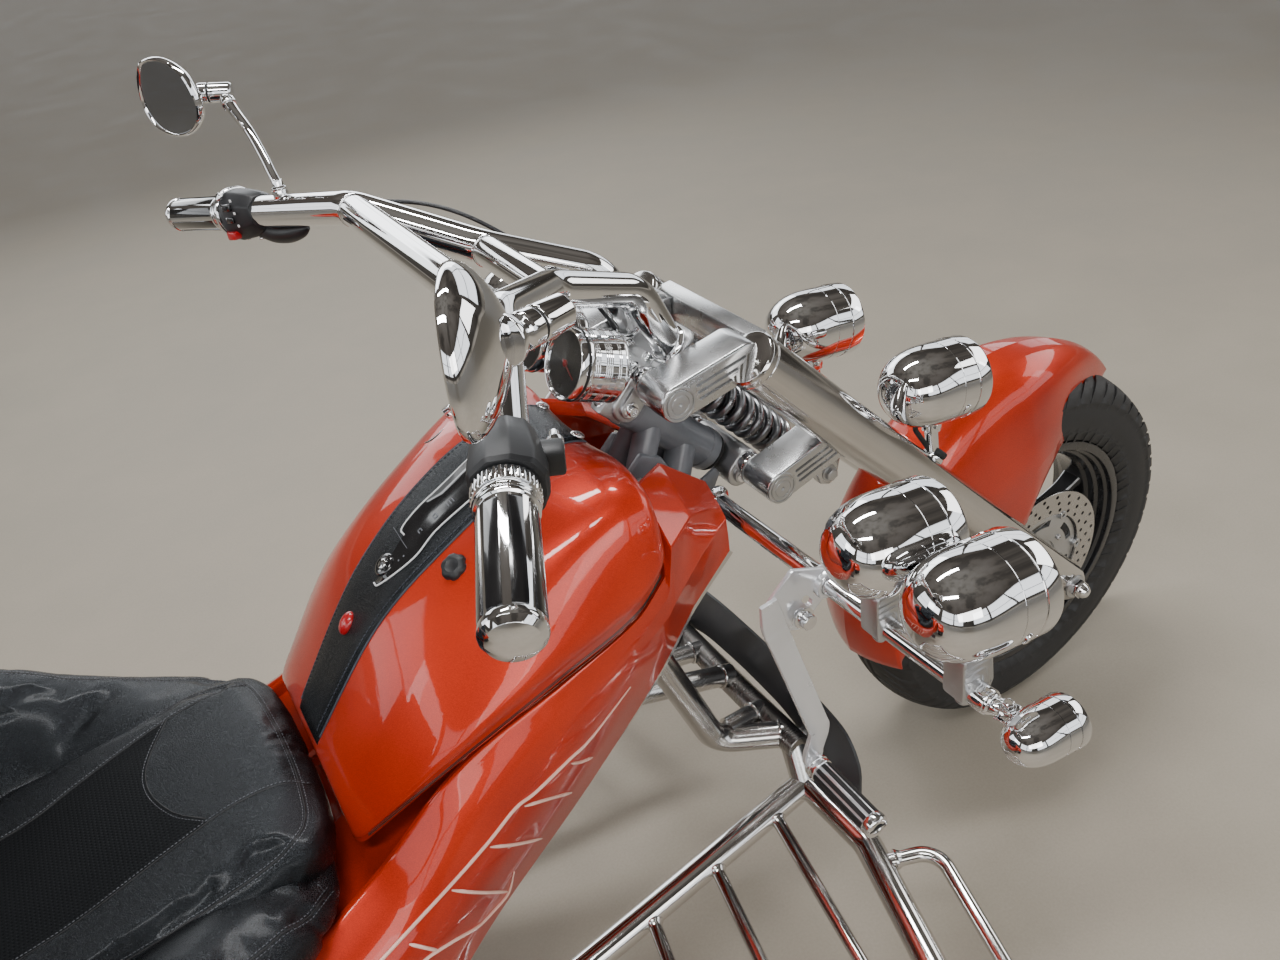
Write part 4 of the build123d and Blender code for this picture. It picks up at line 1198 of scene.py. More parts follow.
def lower_link():
    g = arm_pair(LO_PIVOT, LOF, 21)
    for s in (-1, 1):
        slab_xz(g, [(-488, 748), (-434, 764), (-428, 712), (-434, 686), (-446, 680), (-460, 686), (-468, 712)], s * LINK_Y0,
                s * (LINK_Y0 + 15), 2.0, 0, 2)
        bolt(g, (SPRING_LOW[0], s * (LINK_Y0 + 15), SPRING_LOW[1]), (0, s, 0), 8.0, 6, 1)
        lathe(g, [(21, 0), (21, 10), (70, 10), (70, 0)], (SPRING_LOW[0], 0, SPRING_LOW[1]), (0, s, 0), 36, 1, 0.5)
        lathe(g, [(21, 10), (21, 15), (28, 15), (28, 10)], (SPRING_LOW[0], 0, SPRING_LOW[1]), (0, s, 0), 36, 1, 0.5)
    piece("lower_link_machined", g, [ARM, ALLOY], "steering", "lower_link", sharp=30)


lower_link()


def steering_stem():
    g = Geo()
    lathe(g, [(-20, 0), (-20, 13.6), (-18, 14), (213, 14), (215, 13), (215, 0)], steer_at(0), -UP, 48, 1, 0.6)
    lathe(g, [(214, 0), (214, 17), (220, 17), (222, 14), (222, 0)], steer_at(0), -UP, 44, 1, 0.8)
    for pv, t0 in ((UP_PIVOT, -13), (LO_PIVOT, 197)):
        c = steer_at(t0)
        slab_xz(g, stadium((c.x, c.z), pv, 19, 14), -50, 50, 3.0, 0, 3)
        for s in (-1, 1):
            # milled steps on the bracket's flanks
            slab_xz(g, stadium((c.x, c.z), pv, 12, 12), s * 49, s * 56, 2.0, 0, 2)
            lathe(g, [(48, 0), (48, 17.5), (60, 17.5), (62, 16), (66.5, 16), (66.5, 0)], (pv[0], 0, pv[1]), (0, s, 0), 48, 1, 0.8)
            lathe(g, [(60, 0), (60, 9.9), (116.4, 9.9), (116.4, 0)], (pv[0], 0, pv[1]), (0, s, 0), 36, 1, 0.4)
            bolt(g, (c.x, s * 56, c.z), (0, s, 0), 6.4, 6, 1, hexed=False)
        ring_form(g, [(19, 14), (19, 26), (23.4, 26), (23.4, 14)], c, -UP if t0 < 0 else UP, 52, 2, 1.6, 3)
    # square clamp block in front of the upper bracket with two socket screws
    c = steer_at(-13)
    for s in (-1, 1):
        box(g, (c.x - 14, s * 34, c.z + 1), (26, 22, 34), FRONT, UP, 2.2, 0)
        bolt(g, Vector((c.x - 14, s * 34, c.z + 1)) + UP * 17, UP, 6.0, 6, 1, hexed=False)
    slab_xz(g, stadium(UP_PIVOT, (-655, 909), 11, 10), -28, 28, 2.0, 0, 2)
    piece("steering_stem_brackets", g, [ALLOY, CHROME, RUBBER], "steering", "steering_stem", sharp=32)


steering_stem()


def shock():
    g = Geo()
    a, b = Vector((SPRING_TOP[0], 0, SPRING_TOP[1])), Vector((SPRING_LOW[0], 0, SPRING_LOW[1]))
    n = (b - a).length
    d = (b - a).normalized()
    # eyes, body, piston rod and cups
    for c in (a, b):
        lathe(g, [(-20, 10.4), (-20, 17.4), (-18.5, 18), (18.5, 18), (20, 17.4), (20, 10.4), (-20, 10.4)], c, (0, 1, 0), 48, 1, 0.6)
        lathe(g, [(-17, 10.5), (-17, 14.5), (17, 14.5), (17, 10.5)], c, (0, 1, 0), 40, 2, 0.5)
    lathe(g, [(14, 0), (14, 12), (30, 14), (34, 25), (36, 27.6), (42, 27.6), (43.5, 24), (43.5, 0)], a, d, 64, 1, 1.2, seg=3)
    lathe(g, [(43, 0), (43, 15), (130, 15), (132, 13), (136, 13), (136, 0)], a, d, 48, 0, 0.8)
    lathe(g, [(130, 0), (130, 8.9), (n - 16, 8.9), (n - 16, 0)], a, d, 36, 3, 0.4)
    lathe(g, [(n - 44, 0), (n - 44, 24), (n - 42, 27.4), (n - 37, 27.4), (n - 34, 24), (n - 26, 14), (n - 14, 12), (n - 14, 0)], a, d, 64, 1, 1.2, seg=3)
    for k in range(2):
        ring_form(g, [(43.5 + 7 * k, 15), (43.5 + 7 * k, 25.6), (49.5 + 7 * k, 25.6), (49.5 + 7 * k, 15)], a, d, 60, 0, 0.8)
    coil(g, a + d * 58, a + d * (n - 44), 22.4, 5.4, 9.0, 0, n=14, per=40)
    piece("shock_absorber_coil_over", g, [SPRING, STAINLESS, RUBBER, CHROME], "steering", "shock_absorber", sharp=36)


shock()


# fender crown: angle from the front (deg), ridge radius from the axle
CROWN = [(51, 336), (62, 350), (75, 365), (90, 383), (101, 393), (112, 393), (130, 386), (150, 372), (168, 356), (190, 341)]
# front and lower edge: share of the way from tip to tail, then x, z and half width
EDGE = [(0.0, 207, 574, 0.5), (0.02, 197, 571, 7), (0.045, 181, 567, 15), (0.08, 155, 566, 25), (0.12, 128, 563, 35), (0.165, 98, 558, 46), (0.21, 69, 550, 56),
        (0.275, 25, 526, 70), (0.325, -12, 489, 79), (0.353, -30, 462, 82), (0.378, -46, 428, 83), (0.40, -64, 420, 83), (0.55, -152, 376, 83),
        (0.72, -236, 322, 83), (0.86, -292, 294, 83), (0.95, -303, 279, 83), (1.0, -301, 264, 83)]


def straight(rows, x):
    """value of a table at x, straight between its rows"""
    for a, b in zip(rows, rows[1:]):
        if x <= b[0]:
            t = (x - a[0]) / (b[0] - a[0])
            return [p + (q - p) * t for p, q in zip(a[1:], b[1:])]
    return list(rows[-1][1:])


def front_fender():
    g = Geo()
    steps = sorted(set([round(i / 70, 5) for i in range(71)] + [0.006, 0.02, 0.378, 0.353]))
    cols, fold = [], []
    for i, u in enumerate(steps):
        ang = math.radians(51 + (190 - 51) * u)
        r = table(CROWN, math.degrees(ang))[0]
        lx, lz, ly = straight(EDGE, u)
        wide = min(83.0, 1.0 + 84.0 * smooth_steps(-0.06, 0.40, u))
        wide = max(wide, ly * 0.80)
        rs = r - 3 - 25 * smooth_steps(0.0, 0.34, u)
        ridge, low = Vector((r * math.cos(ang), 0, FW_R + r * math.sin(ang))), Vector((lx, ly, lz))
        sho = Vector((rs * math.cos(ang), wide, FW_R + rs * math.sin(ang)))
        # crisp ridge, gently domed roof, round shoulder that sharpens to the tail, straight flank
        soft = 0.55 - 0.40 * smooth_steps(0.55, 0.95, u)
        roof = lambda t: ridge.lerp(sho, t) + Vector((math.cos(ang), 0, math.sin(ang))) * (4.6 * math.sin(math.pi * t) * smooth_steps(0.03, 0.3, u))
        row = [roof((1 - soft) * k / 7) for k in range(8)]
        c0, c2 = roof(1 - soft), sho.lerp(low, soft * 0.62)
        for k in range(1, 8):
            t = k / 7
            row.append(c0 * (1 - t) ** 2 + sho * 2 * t * (1 - t) + c2 * t * t)
        # low on the flank a fold runs up from the pointed corner to the front edge
        fr = 0.0 if u < 0.17 else 0.46 * smooth_steps(0.17, 0.378, u) if u < 0.378 else 0.46 - 0.30 * (u - 0.378) / 0.622
        fp = low.lerp(c2, max(0.02, fr))
        fp.y = min(84.5, fp.y + 3.4 * min(1.0, fr * 3.5))
        for k in range(1, 7):
            t = k / 6
            q = c2.lerp(fp, t)
            q.y += 1.6 * math.sin(math.pi * t)
            row.append(q)
        fold.append(row[-1].copy())
        for k in range(1, 5):
            row.append(fp.lerp(low, k / 4))
        cols.append(row)
    full = [[Vector((q.x, -q.y, q.z)) for q in reversed(r[1:])] + r for r in cols]
    skin(g, full)
    me = to_mesh(g, "front_fender_shell", outward=False)
    bm = bmesh.new()
    bm.from_mesh(me)
    bmesh.ops.recalc_face_normals(bm, faces=bm.faces)
    mid = max(bm.faces, key=lambda f: f.calc_center_median().z)
    if mid.normal.z < 0:
        bmesh.ops.reverse_faces(bm, faces=bm.faces)
    bm.to_mesh(me)
    bm.free()
    me.materials.append(ORANGE)
    o = link(bpy.data.objects.new("front_fender_shell", me))
    sd = o.modifiers.new("thick", "SOLIDIFY")
    sd.thickness, sd.offset, sd.use_even_offset = 0.0035, -1.0, False
    bv = o.modifiers.new("edge", "BEVEL")
    bv.width, bv.segments, bv.limit_method, bv.angle_limit = 0.0011, 2, "ANGLE", math.radians(60)
    applied(o)
    me = o.data
    me.polygons.foreach_set("use_smooth", [True] * len(me.polygons))
    me.set_sharp_from_angle(angle=math.radians(33))
    # the ridge and the fold stay crisp
    crisp = set()
    for q in fold:
        for sy in (1, -1):
            w = P(Vector((q.x, q.y * sy, q.z)))
            crisp.add((round(w.x * 2e4), round(w.y * 2e4), round(w.z * 2e4)))
    mark = [abs(v.co.y) < 2e-5 or (round(v.co.x * 2e4), round(v.co.y * 2e4), round(v.co.z * 2e4)) in crisp for v in me.vertices]
    att = me.attributes.get("sharp_edge") or me.attributes.new("sharp_edge", "BOOLEAN", "EDGE")
    for e in me.edges:
        if mark[e.vertices[0]] and mark[e.vertices[1]]:
            att.data[e.index].value = True
    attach(o, "steering")
    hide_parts("front_fender")
    g = Geo()
    # stays and rivets that hold it to the fork
    for s in (-1, 1):
        for x, z in ((-232, 470), (-262, 420)):
            bolt(g, (x, s * 82.6, z), (0, s, 0), 5.5, 4, 0, hexed=False)
        slab_xz(g, [(-280, 402), (-214, 452), (-206, 492), (-222, 500), (-292, 432)], s * 83.2, s * 86.6, 0.8, 1)
    piece("front_fender_stays", g, [CHROME, STAINLESS], "steering", sharp=30)


front_fender()


def caliper():
    g = Geo()
    body = Geo()
    pts = [(-152, 270), (-146, 262), (-118, 258), (-100, 268), (-95, 296), (-99, 326), (-110, 340), (-136, 342), (-150, 330)]
    slab_xz(body, round_outline(pts, 7, 3), -96, -62, 2.5, 0, 3)
    cut = Geo()
    lathe(cut, [(-84.5, 0), (-84.5, 139), (-71.5, 139), (-71.5, 0)], (0, 0, FW_R), (0, 1, 0), 90, 0, 0)
    g = carve(body, cut, "caliper")
    for z in (282, 318):
        lathe(g, [(-99.5, 0), (-99.5, 11), (-98, 13.5), (-94, 14.5), (-94, 0)], (-124, 0, z), (0, 1, 0), 44, 0, 0.8, seg=3)
        lathe(g, [(-100.8, 0), (-100.8, 5), (-99, 6), (-99, 0)], (-124, 0, z), (0, 1, 0), 6, 1, 0.3)
    for x, z in ((-142, 334), (-142, 268), (-104, 334)):
        bolt(g, (x, -96, z), (0, -1, 0), 4.6, 4.5, 1, hexed=False)
    slab_xz(g, [(-140, 330), (-122, 318), (-74, 358), (-58, 380), (-72, 392), (-92, 372)], -99, -94, 1.0, 0)
    # brake hose banjo
    lathe(g, [(0, 0), (0, 7.5), (9, 7.5), (9, 0)], (-130, -97, 346), (0, 0, 1), 36, 2, 0.8)
    lathe(g, [(9, 0), (9, 5.6), (14, 5.6), (14, 0)], (-130, -97, 346), (0, 0, 1), 6, 1, 0.5)
    piece("brake_caliper_body", g, [CAST, CHROME, ALLOY], "steering", "brake_caliper", sharp=32)


caliper()


# ------------------------------------------------------------- handlebar
BAR = [(-634, 40, 920), (-675, 40, 1012), (-791, 78, 1062), (-891, 194, 1106), (-1036, 512, 1060)]
BAR_END = Vector((-1036, 512, 1060))
GRIP_DIR = Vector((-145, 318, -46)).normalized()
PLATE_C = (-641.0, 928.0)


def other(p, s):
    return Vector((p[0], p[1] * s, p[2]))


def handlebar():
    g = Geo()
    for s in (-1, 1):
        pts = [other(p, s) for p in BAR]
        path = bar_path(pts, 55, 4.0)
        sweep(g, path, circle(19, 56))
        # ripples of the weld where the cross tubes meet the bar
        for at, r in (((-891, s * 188, 1104), 17.9), ((-791, s * 70, 1060), 16.9)):
            ring_form(g, [(-1.6, r - 1), (-1.6, r + 0.8), (0, r + 1.8), (1.6, r + 0.8), (1.6, r - 1)], at, (0, 1, 0), 60, 0, 0.7)
    sweep(g, [Vector((-891, -188, 1104)), Vector((-891, 0, 1104)), Vector((-891, 188, 1104))], circle(18, 52))
    sweep(g, [Vector((-791, -72, 1060)), Vector((-791, 72, 1060))], circle(17, 48))
    piece("handlebar_tubes", g, CHROME, "steering", "handlebar", sharp=50)
    g = Geo()
    o = Vector((PLATE_C[0], 0, PLATE_C[1]))
    out = round_outline([(-31, -64), (31, -64), (31, 64), (-31, 64)], 12, 6)
    prism(g, out, o, FRONT, UP, -3, 3, 0.9, 0)
    for s in (-1, 1):
        ring_form(g, [(3, 18.5), (3, 24), (8, 24), (10, 21), (10, 18.5)], o + FRONT * 5 + Vector((0, s * 40, 0)), UP, 52, 1, 1.0)
        bolt(g, o - FRONT * 20 + Vector((0, s * 22, 0)) + UP * 3, UP, 6.0, 6.5, 1, hexed=False)
    piece("handlebar_clamp_plate", g, [ALLOY, CHROME], "steering", "handlebar_clamp", sharp=32)


handlebar()


def grips():
    g = Geo()
    for s in (-1, 1):
        d = other(GRIP_DIR, s)
        a = other(BAR_END, s) - d * 128
        # fluted ring made of small rounded teeth
        rows, n = [], 216
        for t, r, amp in ((0, 21.0, 0), (0.5, 23.6, 0.1), (1.4, 24.4, 0.7), (11.7, 24.4, 0.7), (12.7, 23.6, 0.1), (13.2, 21.0, 0)):
            row = []
            dd, sd, ud = basis(d)
            for i in range(n):
                w = 2 * math.pi * i / n
                q = r - amp * (0.5 - 0.5 * math.cos(36 * w)) ** 3
                row.append(a + dd * t + sd * (q * math.cos(w)) + ud * (q * math.sin(w)))
            rows.append(row)
        skin(g, rows, 0, closed_v=True, cap0=True, cap1=True)
        lathe(g, [(13.6, 0), (13.6, 22.8), (17.2, 23.4), (18, 22.4), (19, 22.0), (20, 22.6), (23.4, 22.6), (24.4, 20.6), (122, 20.0),
                  (122.8, 21.4), (127, 21.4), (129, 20.6), (133, 17.2), (135.4, 11.0), (136.4, 5.0), (136.6, 0)], a, d, 72, 0, 0.7, seg=2)
        dd, sd, ud = basis(d)
        for i in range(8):
            a0 = 2 * math.pi * (i + 0.18) / 8
            a1 = 2 * math.pi * (i + 0.82) / 8
            sec = [(21.2 * math.cos(a0 + (a1 - a0) * k / 6), 21.2 * math.sin(a0 + (a1 - a0) * k / 6)) for k in range(7)]
            sec += [(19.4 * math.cos(a1 - (a1 - a0) * k / 6), 19.4 * math.sin(a1 - (a1 - a0) * k / 6)) for k in range(7)]
            for i0, (t0, t1, f0, f1) in enumerate([(27, 29.5, 0.972, 1.0), (29.5, 117.5, 1.0, 1.0), (117.5, 120, 1.0, 0.972)]):
                rows = []
                for t, f in ((t0, f0), (t1, f1)):
                    rows.append([a + dd * t + sd * (x * (f if k < 7 else 1)) + ud * (y * (f if k < 7 else 1)) for k, (x, y) in enumerate(sec)])
                skin(g, rows, 1, closed_v=True, cap0=i0 == 0, cap1=i0 == 2)
    piece("grips_inlaid", g, [CHROME, GLOSS_BLACK], "steering", "grips", sharp=28, weld=0.00002)


grips()


def housings():
    g = Geo()
    for s in (-1, 1):
        d = other(GRIP_DIR, s)
        a = other(BAR_END, s) - d * 128
        dd, fr, up = basis(d, (1, 0, 0))
        if up.z < 0:
            up = -up
        # faceted body: stations (distance inboard of the grip, half height up, down, front, rear)
        st = [(57.5, 20, 21, 20, 20), (54, 22.5, 24, 23, 21.5), (36, 26, 30, 27, 23), (14, 29, 33, 30, 25), (4, 28.5, 32, 29.5, 25), (0.8, 26.5, 29, 27, 23)]
        rows = []
        for t, hu, hd, hf, hr in st:
            c = a - dd * t
            ol = [(hf, hu * 0.35), (hf * 0.72, hu * 0.8), (hf * 0.2, hu), (-hr * 0.45, hu * 0.96), (-hr, hu * 0.5), (-hr, -hd * 0.45),
                  (-hr * 0.5, -hd * 0.95), (hf * 0.3, -hd), (hf * 0.8, -hd * 0.75), (hf, -hd * 0.3)]
            ol = rounded(ol, 6.0, 2, closed=True)
            rows.append([c + fr * x + up * y for x, y in ol])
        skin(g, rows, 0, closed_v=True, cap0=True, cap1=True)
        # two small screws on the underside
        for t in (14, 40):
            c = a - dd * t
            bolt(g, c - up * 30.5 - fr * 4, -up, 3.2, 2.5, 2, hexed=False, washer=False)
        if s < 0:
            # brake lever bracket in front of the bar, with its hose fitting
            c = a - dd * 30
            box(g, c + fr * 29, (18, 26, 22), dd, up, 3.0, 0)
            lathe(g, [(0, 0), (0, 6.5), (10, 6.5), (12, 4), (20, 3.6), (20, 0)], c + fr * 36 - dd * 8, -dd, 32, 2, 0.6)
            # throttle cable elbow
            tube(g, [tuple(c - up * 30), tuple(c - up * 42 - dd * 4), tuple(c - up * 48 - dd * 26)], 3.6, 9, 18, 0)
        else:
            ring_form(g, [(-7.5, 22), (-7.5, 30.4), (-5.8, 31.6), (-1.8, 31.6), (0.0, 30.4), (0.0, 22)], a, dd, 80, 2, 0.8)
            # switches on the face towards the rider: rocker, slide, round and red button
            c = a - dd * 22
            box(g, c - fr * 25 + up * 12, (15, 5, 9), dd, up, 1.6, 3)
            box(g, c - fr * 27.4 + up * 12, (7, 4, 5), dd, up, 1.2, 0)
            box(g, c - fr * 25 - up * 3, (13, 5, 8), dd, up, 1.6, 3)
            lathe(g, [(0, 0), (0, 5), (4, 5), (5, 4.2), (5, 0)], c - fr * 22 + up * 24 + dd * 9, -fr + up * 0.6, 30, 2, 0.6)
            box(g, c - fr * 23 - up * 22 + dd * 7, (15, 11, 10), dd, up, 1.8, 4)
            for k in range(3):
                box(g, c - fr * 25.4 + up * (20 - 15 * k) - dd * 13, (3.2, 1.2, 3.2), dd, up, 0.3, 5)
            # tapered tail under the bar
            path = [a - dd * 40 - up * 20 + fr * 2, a - dd * 62 - up * 27 + fr * 3, a - dd * 86 - up * 29 + fr * 4, a - dd * 112 - up * 26 + fr * 4,
                    a - dd * 128 - up * 22 + fr * 4]
            sweep(g, curve_through(path, 6), circle(11, 24, 13), 0, ref=(1, 0, 0), size=lambda t: max(0.16, 1.0 - 0.15 * t - 0.66 * t ** 3))
    piece("switch_housings_faceted", g, [BLACK, GLOSS_BLACK, CHROME, GLOSS_BLACK, RED, WHITE], "steering", "switch_housings",
          sharp=26)


housings()

# mirror outline in the plane of its glass: (across, up) in mm
MIRROR_OUT = [(-25, 44), (2, 47.5), (24, 43), (42, 32), (51, 18), (56, -3), (51, -20), (38, -32), (20, -41), (0, -45), (-20, -44),
              (-38, -38), (-49, -26), (-54, -12), (-53, 4), (-48, 20), (-38, 35)]


def mirrors():
    for sd, s in (("left", 1), ("right", -1)):
        g = Geo()
        ang = math.radians(27)
        nrm = Vector((-math.cos(ang), -s * math.sin(ang), 0.02)).normalized()
        h = Vector((math.sin(ang), -s * math.cos(ang), 0))
        z = Vector((0, 0, 1))
        c = Vector((-1008, s * 452, 1211))
        e = Vector((-948, s * 440, 1207))
        loop = [Vector((x, y, 0)) for x, y in MIRROR_OUT]
        smooth = []
        m = len(loop)
        for i in range(m):
            p0, p1, p2, p3 = loop[i - 1], loop[i], loop[(i + 1) % m], loop[(i + 2) % m]
            for q in range(5):
                t = q / 5
                smooth.append(0.5 * ((2 * p1) + (p2 - p0) * t + (2 * p0 - 5 * p1 + 4 * p2 - p3) * t * t + (3 * p1 - p0 - 3 * p2 + p3) * t ** 3))
        rows = []
        # from the glass edge over the bezel to the back; the back leans to the neck
        for f, dp in ((0.90, -2.0), (0.915, -4.2), (0.945, -5.2), (0.98, -4.0), (1.0, -0.5), (0.992, 1.8), (0.965, 4.6), (0.92, 7.6),
                      (0.84, 11.4), (0.74, 15.0), (0.62, 18.4), (0.49, 21.4), (0.35, 24.0), (0.22, 26.0), (0.12, 27.0)):
            lean = smooth_steps(0.0, 28.0, dp) * 10.0
            rows.append([c + h * (p.x * f + lean * (1 - f)) + z * (p.y * f) - nrm * dp for p in smooth])
        skin(g, rows, 0, closed_v=True, cap1=True)
        rows = [[c + h * (p.x * f) + z * (p.y * f) - nrm * dp for p in smooth] for f, dp in ((0.905, -2.6), (0.6, -2.9), (0.3, -3.1), (0.02, -3.2))]
        skin(g, rows, 1, closed_v=True, cap1=True)
        # neck, two-part collar with a dark groove, elbow, bent stem and base
        b0 = c - nrm * 24 + h * 8
        ax = (e - b0).normalized()
        n = (e - b0).length
        lathe(g, [(-4, 0), (-4, 16), (1, 14.5), (5, 9), (8, 8.2), (10, 11.2), (12, 11.8), (20, 11.8), (21, 11.2), (21, 10.2), (23, 10.2), (23, 11.2),
                  (24, 11.8), (n + 8, 11.4), (n + 11, 9.6), (n + 12, 0)], b0, ax, 56, 0, 0.8, seg=3)
        ring_form(g, [(21.2, 10.0), (21.2, 10.9), (22.8, 10.9), (22.8, 10.0)], b0, ax, 48, 2, 0.2)
        base = Vector((-942, s * 303, 1109))
        path = curve_through([e + Vector((0, -s * 3, -6)), e + Vector((1, -s * 30, -18)), e + Vector((4, -s * 75, -37)), Vector((-943, s * 331, 1147)),
                              Vector((-943, s * 313, 1132)), base + Vector((0, 0, 12))], 8)
        sweep(g, path, circle(6.2, 32), 0, size=lambda t: 1.15 - 0.25 * smooth_steps(0.0, 0.5, t))
        lathe(g, [(2, 0), (2, 9.2), (14, 9.2), (15, 7.6), (15, 0)], path[0] + (path[1] - path[0]).normalized() * 2, path[6] - path[0], 40, 0, 0.9)
        hexa = [(9.4 * math.cos(math.pi / 3 * i), 9.4 * math.sin(math.pi / 3 * i)) for i in range(6)]
        up = Vector((0, s * 0.12, 1)).normalized()
        prism(g, hexa, base - up * 4, (1, 0, 0), up, 0, 11, 0.8, 0)
        lathe(g, [(10, 0), (10, 8.6), (13, 8.6), (15, 6.6), (22, 6.4), (22, 0)], base - up * 4, up, 40, 0, 0.6)
        piece("mirror_chromed_" + sd, g, [CHROME, MIRROR, RUBBER], "steering", "mirror_" + sd, sharp=40, weld=0.00001)


mirrors()


def gauges():
    ax = Vector((0.914, 0, -0.406)).normalized()
    g = Geo()
    for s in (-1, 1):
        o = Vector((-775, s * 45, 962))
        d, sd, ud = basis(ax, (0, 1, 0))
        if ud.z < 0:
            ud = -ud
        prof = [(4.5, 35.8), (1.2, 36.4), (0.2, 37.6), (0.0, 38.8), (1.4, 40.0), (8.4, 40.0), (8.8, 38.6), (11.4, 38.6), (11.8, 40.0), (15.2, 40.0)]
        for t in (17.0, 19.4, 21.8, 30.0, 32.4, 34.8, 37.2, 46.0, 48.4, 55.0):
            prof += [(t, 40.0), (t + 0.15, 39.35), (t + 0.85, 39.35), (t + 1.0, 40.0)]
        prof += [(58.6, 40.0), (60.4, 38.4), (64.5, 34.5), (67.6, 31), (68, 29), (68, 12), (78, 11.6), (80, 10), (80, 0)]
        lathe(g, prof, o, ax, 88, 0, 0.35, seg=1)
        ring_form(g, [(8.7, 38.4), (8.7, 40.3), (10.1, 40.8), (11.5, 40.3), (11.5, 38.4)], o, ax, 80, 1, 0.5)
        # dial with ring steps and marks
        lathe(g, [(6.0, 0), (6.0, 22.6)], o, ax, 80, 7, 0.0)
        lathe(g, [(5.9, 22.4), (4.9, 22.9), (4.9, 24.6), (5.8, 25.0), (4.4, 34.6), (4.4, 36)], o, ax, 80, 2, 0.3)
        for k in range(31):
            a = math.radians(-220 + 260 * k / 30)
            major = k % 5 == 0
            r0, r1 = (28.4 if major else 30.4), 33.6
            c = o + d * 4.9 + (sd * math.cos(a) - ud * math.sin(a)) * ((r0 + r1) / 2)
            box(g, c, (r1 - r0, 1.3 if major else 0.7, 0.9), sd * math.cos(a) - ud * math.sin(a), -d, 0.0, 6)
        for k in range(7):
            a = math.radians(-220 + 260 * k / 6)
            c = o + d * 5.5 + (sd * math.cos(a) - ud * math.sin(a)) * 22.6
            box(g, c, (1.4, 3.0, 0.8), ud, -d, 0.0, 6)
        a = math.radians(-205)
        nd = sd * math.cos(a) - ud * math.sin(a)
        prism(g, [(-6, -1.6), (25, -0.7), (25, 0.7), (-6, 1.6)], o + d * 3.6, nd, -d, 0, 0.8, 0.15, 4)
        lathe(g, [(2.2, 0), (2.2, 3.4), (3.0, 4.0), (6.0, 4.0)], o, ax, 32, 4, 0.3)
        # small window outline and a little knob low on the dial
        for (x0, y0), (x1, y1) in (((-8, -6), (5, -6)), ((5, -6), (9, -19)), ((9, -19), (-4, -19)), ((-4, -19), (-8, -6))):
            p, q = o + d * 5.3 + sd * x0 + ud * y0, o + d * 5.5 + sd * x1 + ud * y1
            box(g, (p + q) / 2, ((q - p).length + 0.9, 1.1, 1.5), q - p, -d, 0.0, 6)
        lathe(g, [(3.0, 0), (3.0, 2.2), (3.6, 2.6), (6, 2.6)], o - ud * 25.4 + sd * 1.0, ax, 28, 1, 0.3)
        # clear glass
        lathe(g, [(1.6, 0), (1.5, 20), (1.7, 36.2), (2.9, 36.2), (2.8, 20), (2.8, 0)], o, ax, 72, 5, 0.0)
        # rubber boot and cable towards the steering head
        tube(g, [tuple(o + ax * 76), tuple(o + ax * 92), tuple(Vector((-694, s * 38, 915)))], 5.2, 14, 24, 1)
        # stay to the cross rod
        p, q = o + ax * 58, Vector((-700, s * 45, 930))
        box(g, (p + q) / 2 + Vector((0, s * 4, 0)), ((q - p).length + 22, 4, 16), q - p, Vector((0, 1, 0)).cross(q - p), 1.2, 2)
    lathe(g, [(-52, 0), (-52, 7), (-50, 8), (50, 8), (52, 7), (52, 0)], (-700, 0, 930), (0, 1, 0), 40, 2, 0.5)
    for s in (-1, 1):
        lathe(g, [(52, 0), (52, 9.5), (57, 9.5), (58.5, 7), (58.5, 0)], (-700, 0, 930), (0, s, 0), 36, 0, 0.8)
    piece("gauges_ringed", g, [CHROME, RUBBER, SATIN_BLACK, WHITE, RED, GLASS, PRINT, DIAL], "steering", "gauges", sharp=28)


gauges()

# the cable keeps its route: from the left housing round to the handlebar plate
CABLE_ROUTE = [(-938.5, 351.5, 1084.5), (-905, 300, 1096), (-874, 240, 1098), (-800, 170, 1094), (-735, 112, 1044), (-668, 66, 962), (-654, 58, 922)]
cu = bpy.data.curves.new("control_cable_curve", "CURVE")
cu.dimensions = "3D"
sp = cu.splines.new("NURBS")
sp.points.add(len(CABLE_ROUTE) - 1)
for i, p in enumerate(CABLE_ROUTE):
    q = P(p)
    sp.points[i].co = (q.x, q.y, q.z, 1.0)
sp.order_u = 3
sp.use_endpoint_u = True
sp.resolution_u = 20
cu.bevel_depth = 0.0025
cu.bevel_resolution = 6
cu.use_fill_caps = True
cu.materials.append(CABLE)
cable = link(bpy.data.objects.new("control_cable_sheath", cu))
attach(cable, "steering")
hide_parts("control_cable")


# ------------------------------------------------------------- lamps
BAR_A, BAR_B = (-620, 72, 732), (-600, 500, 717)


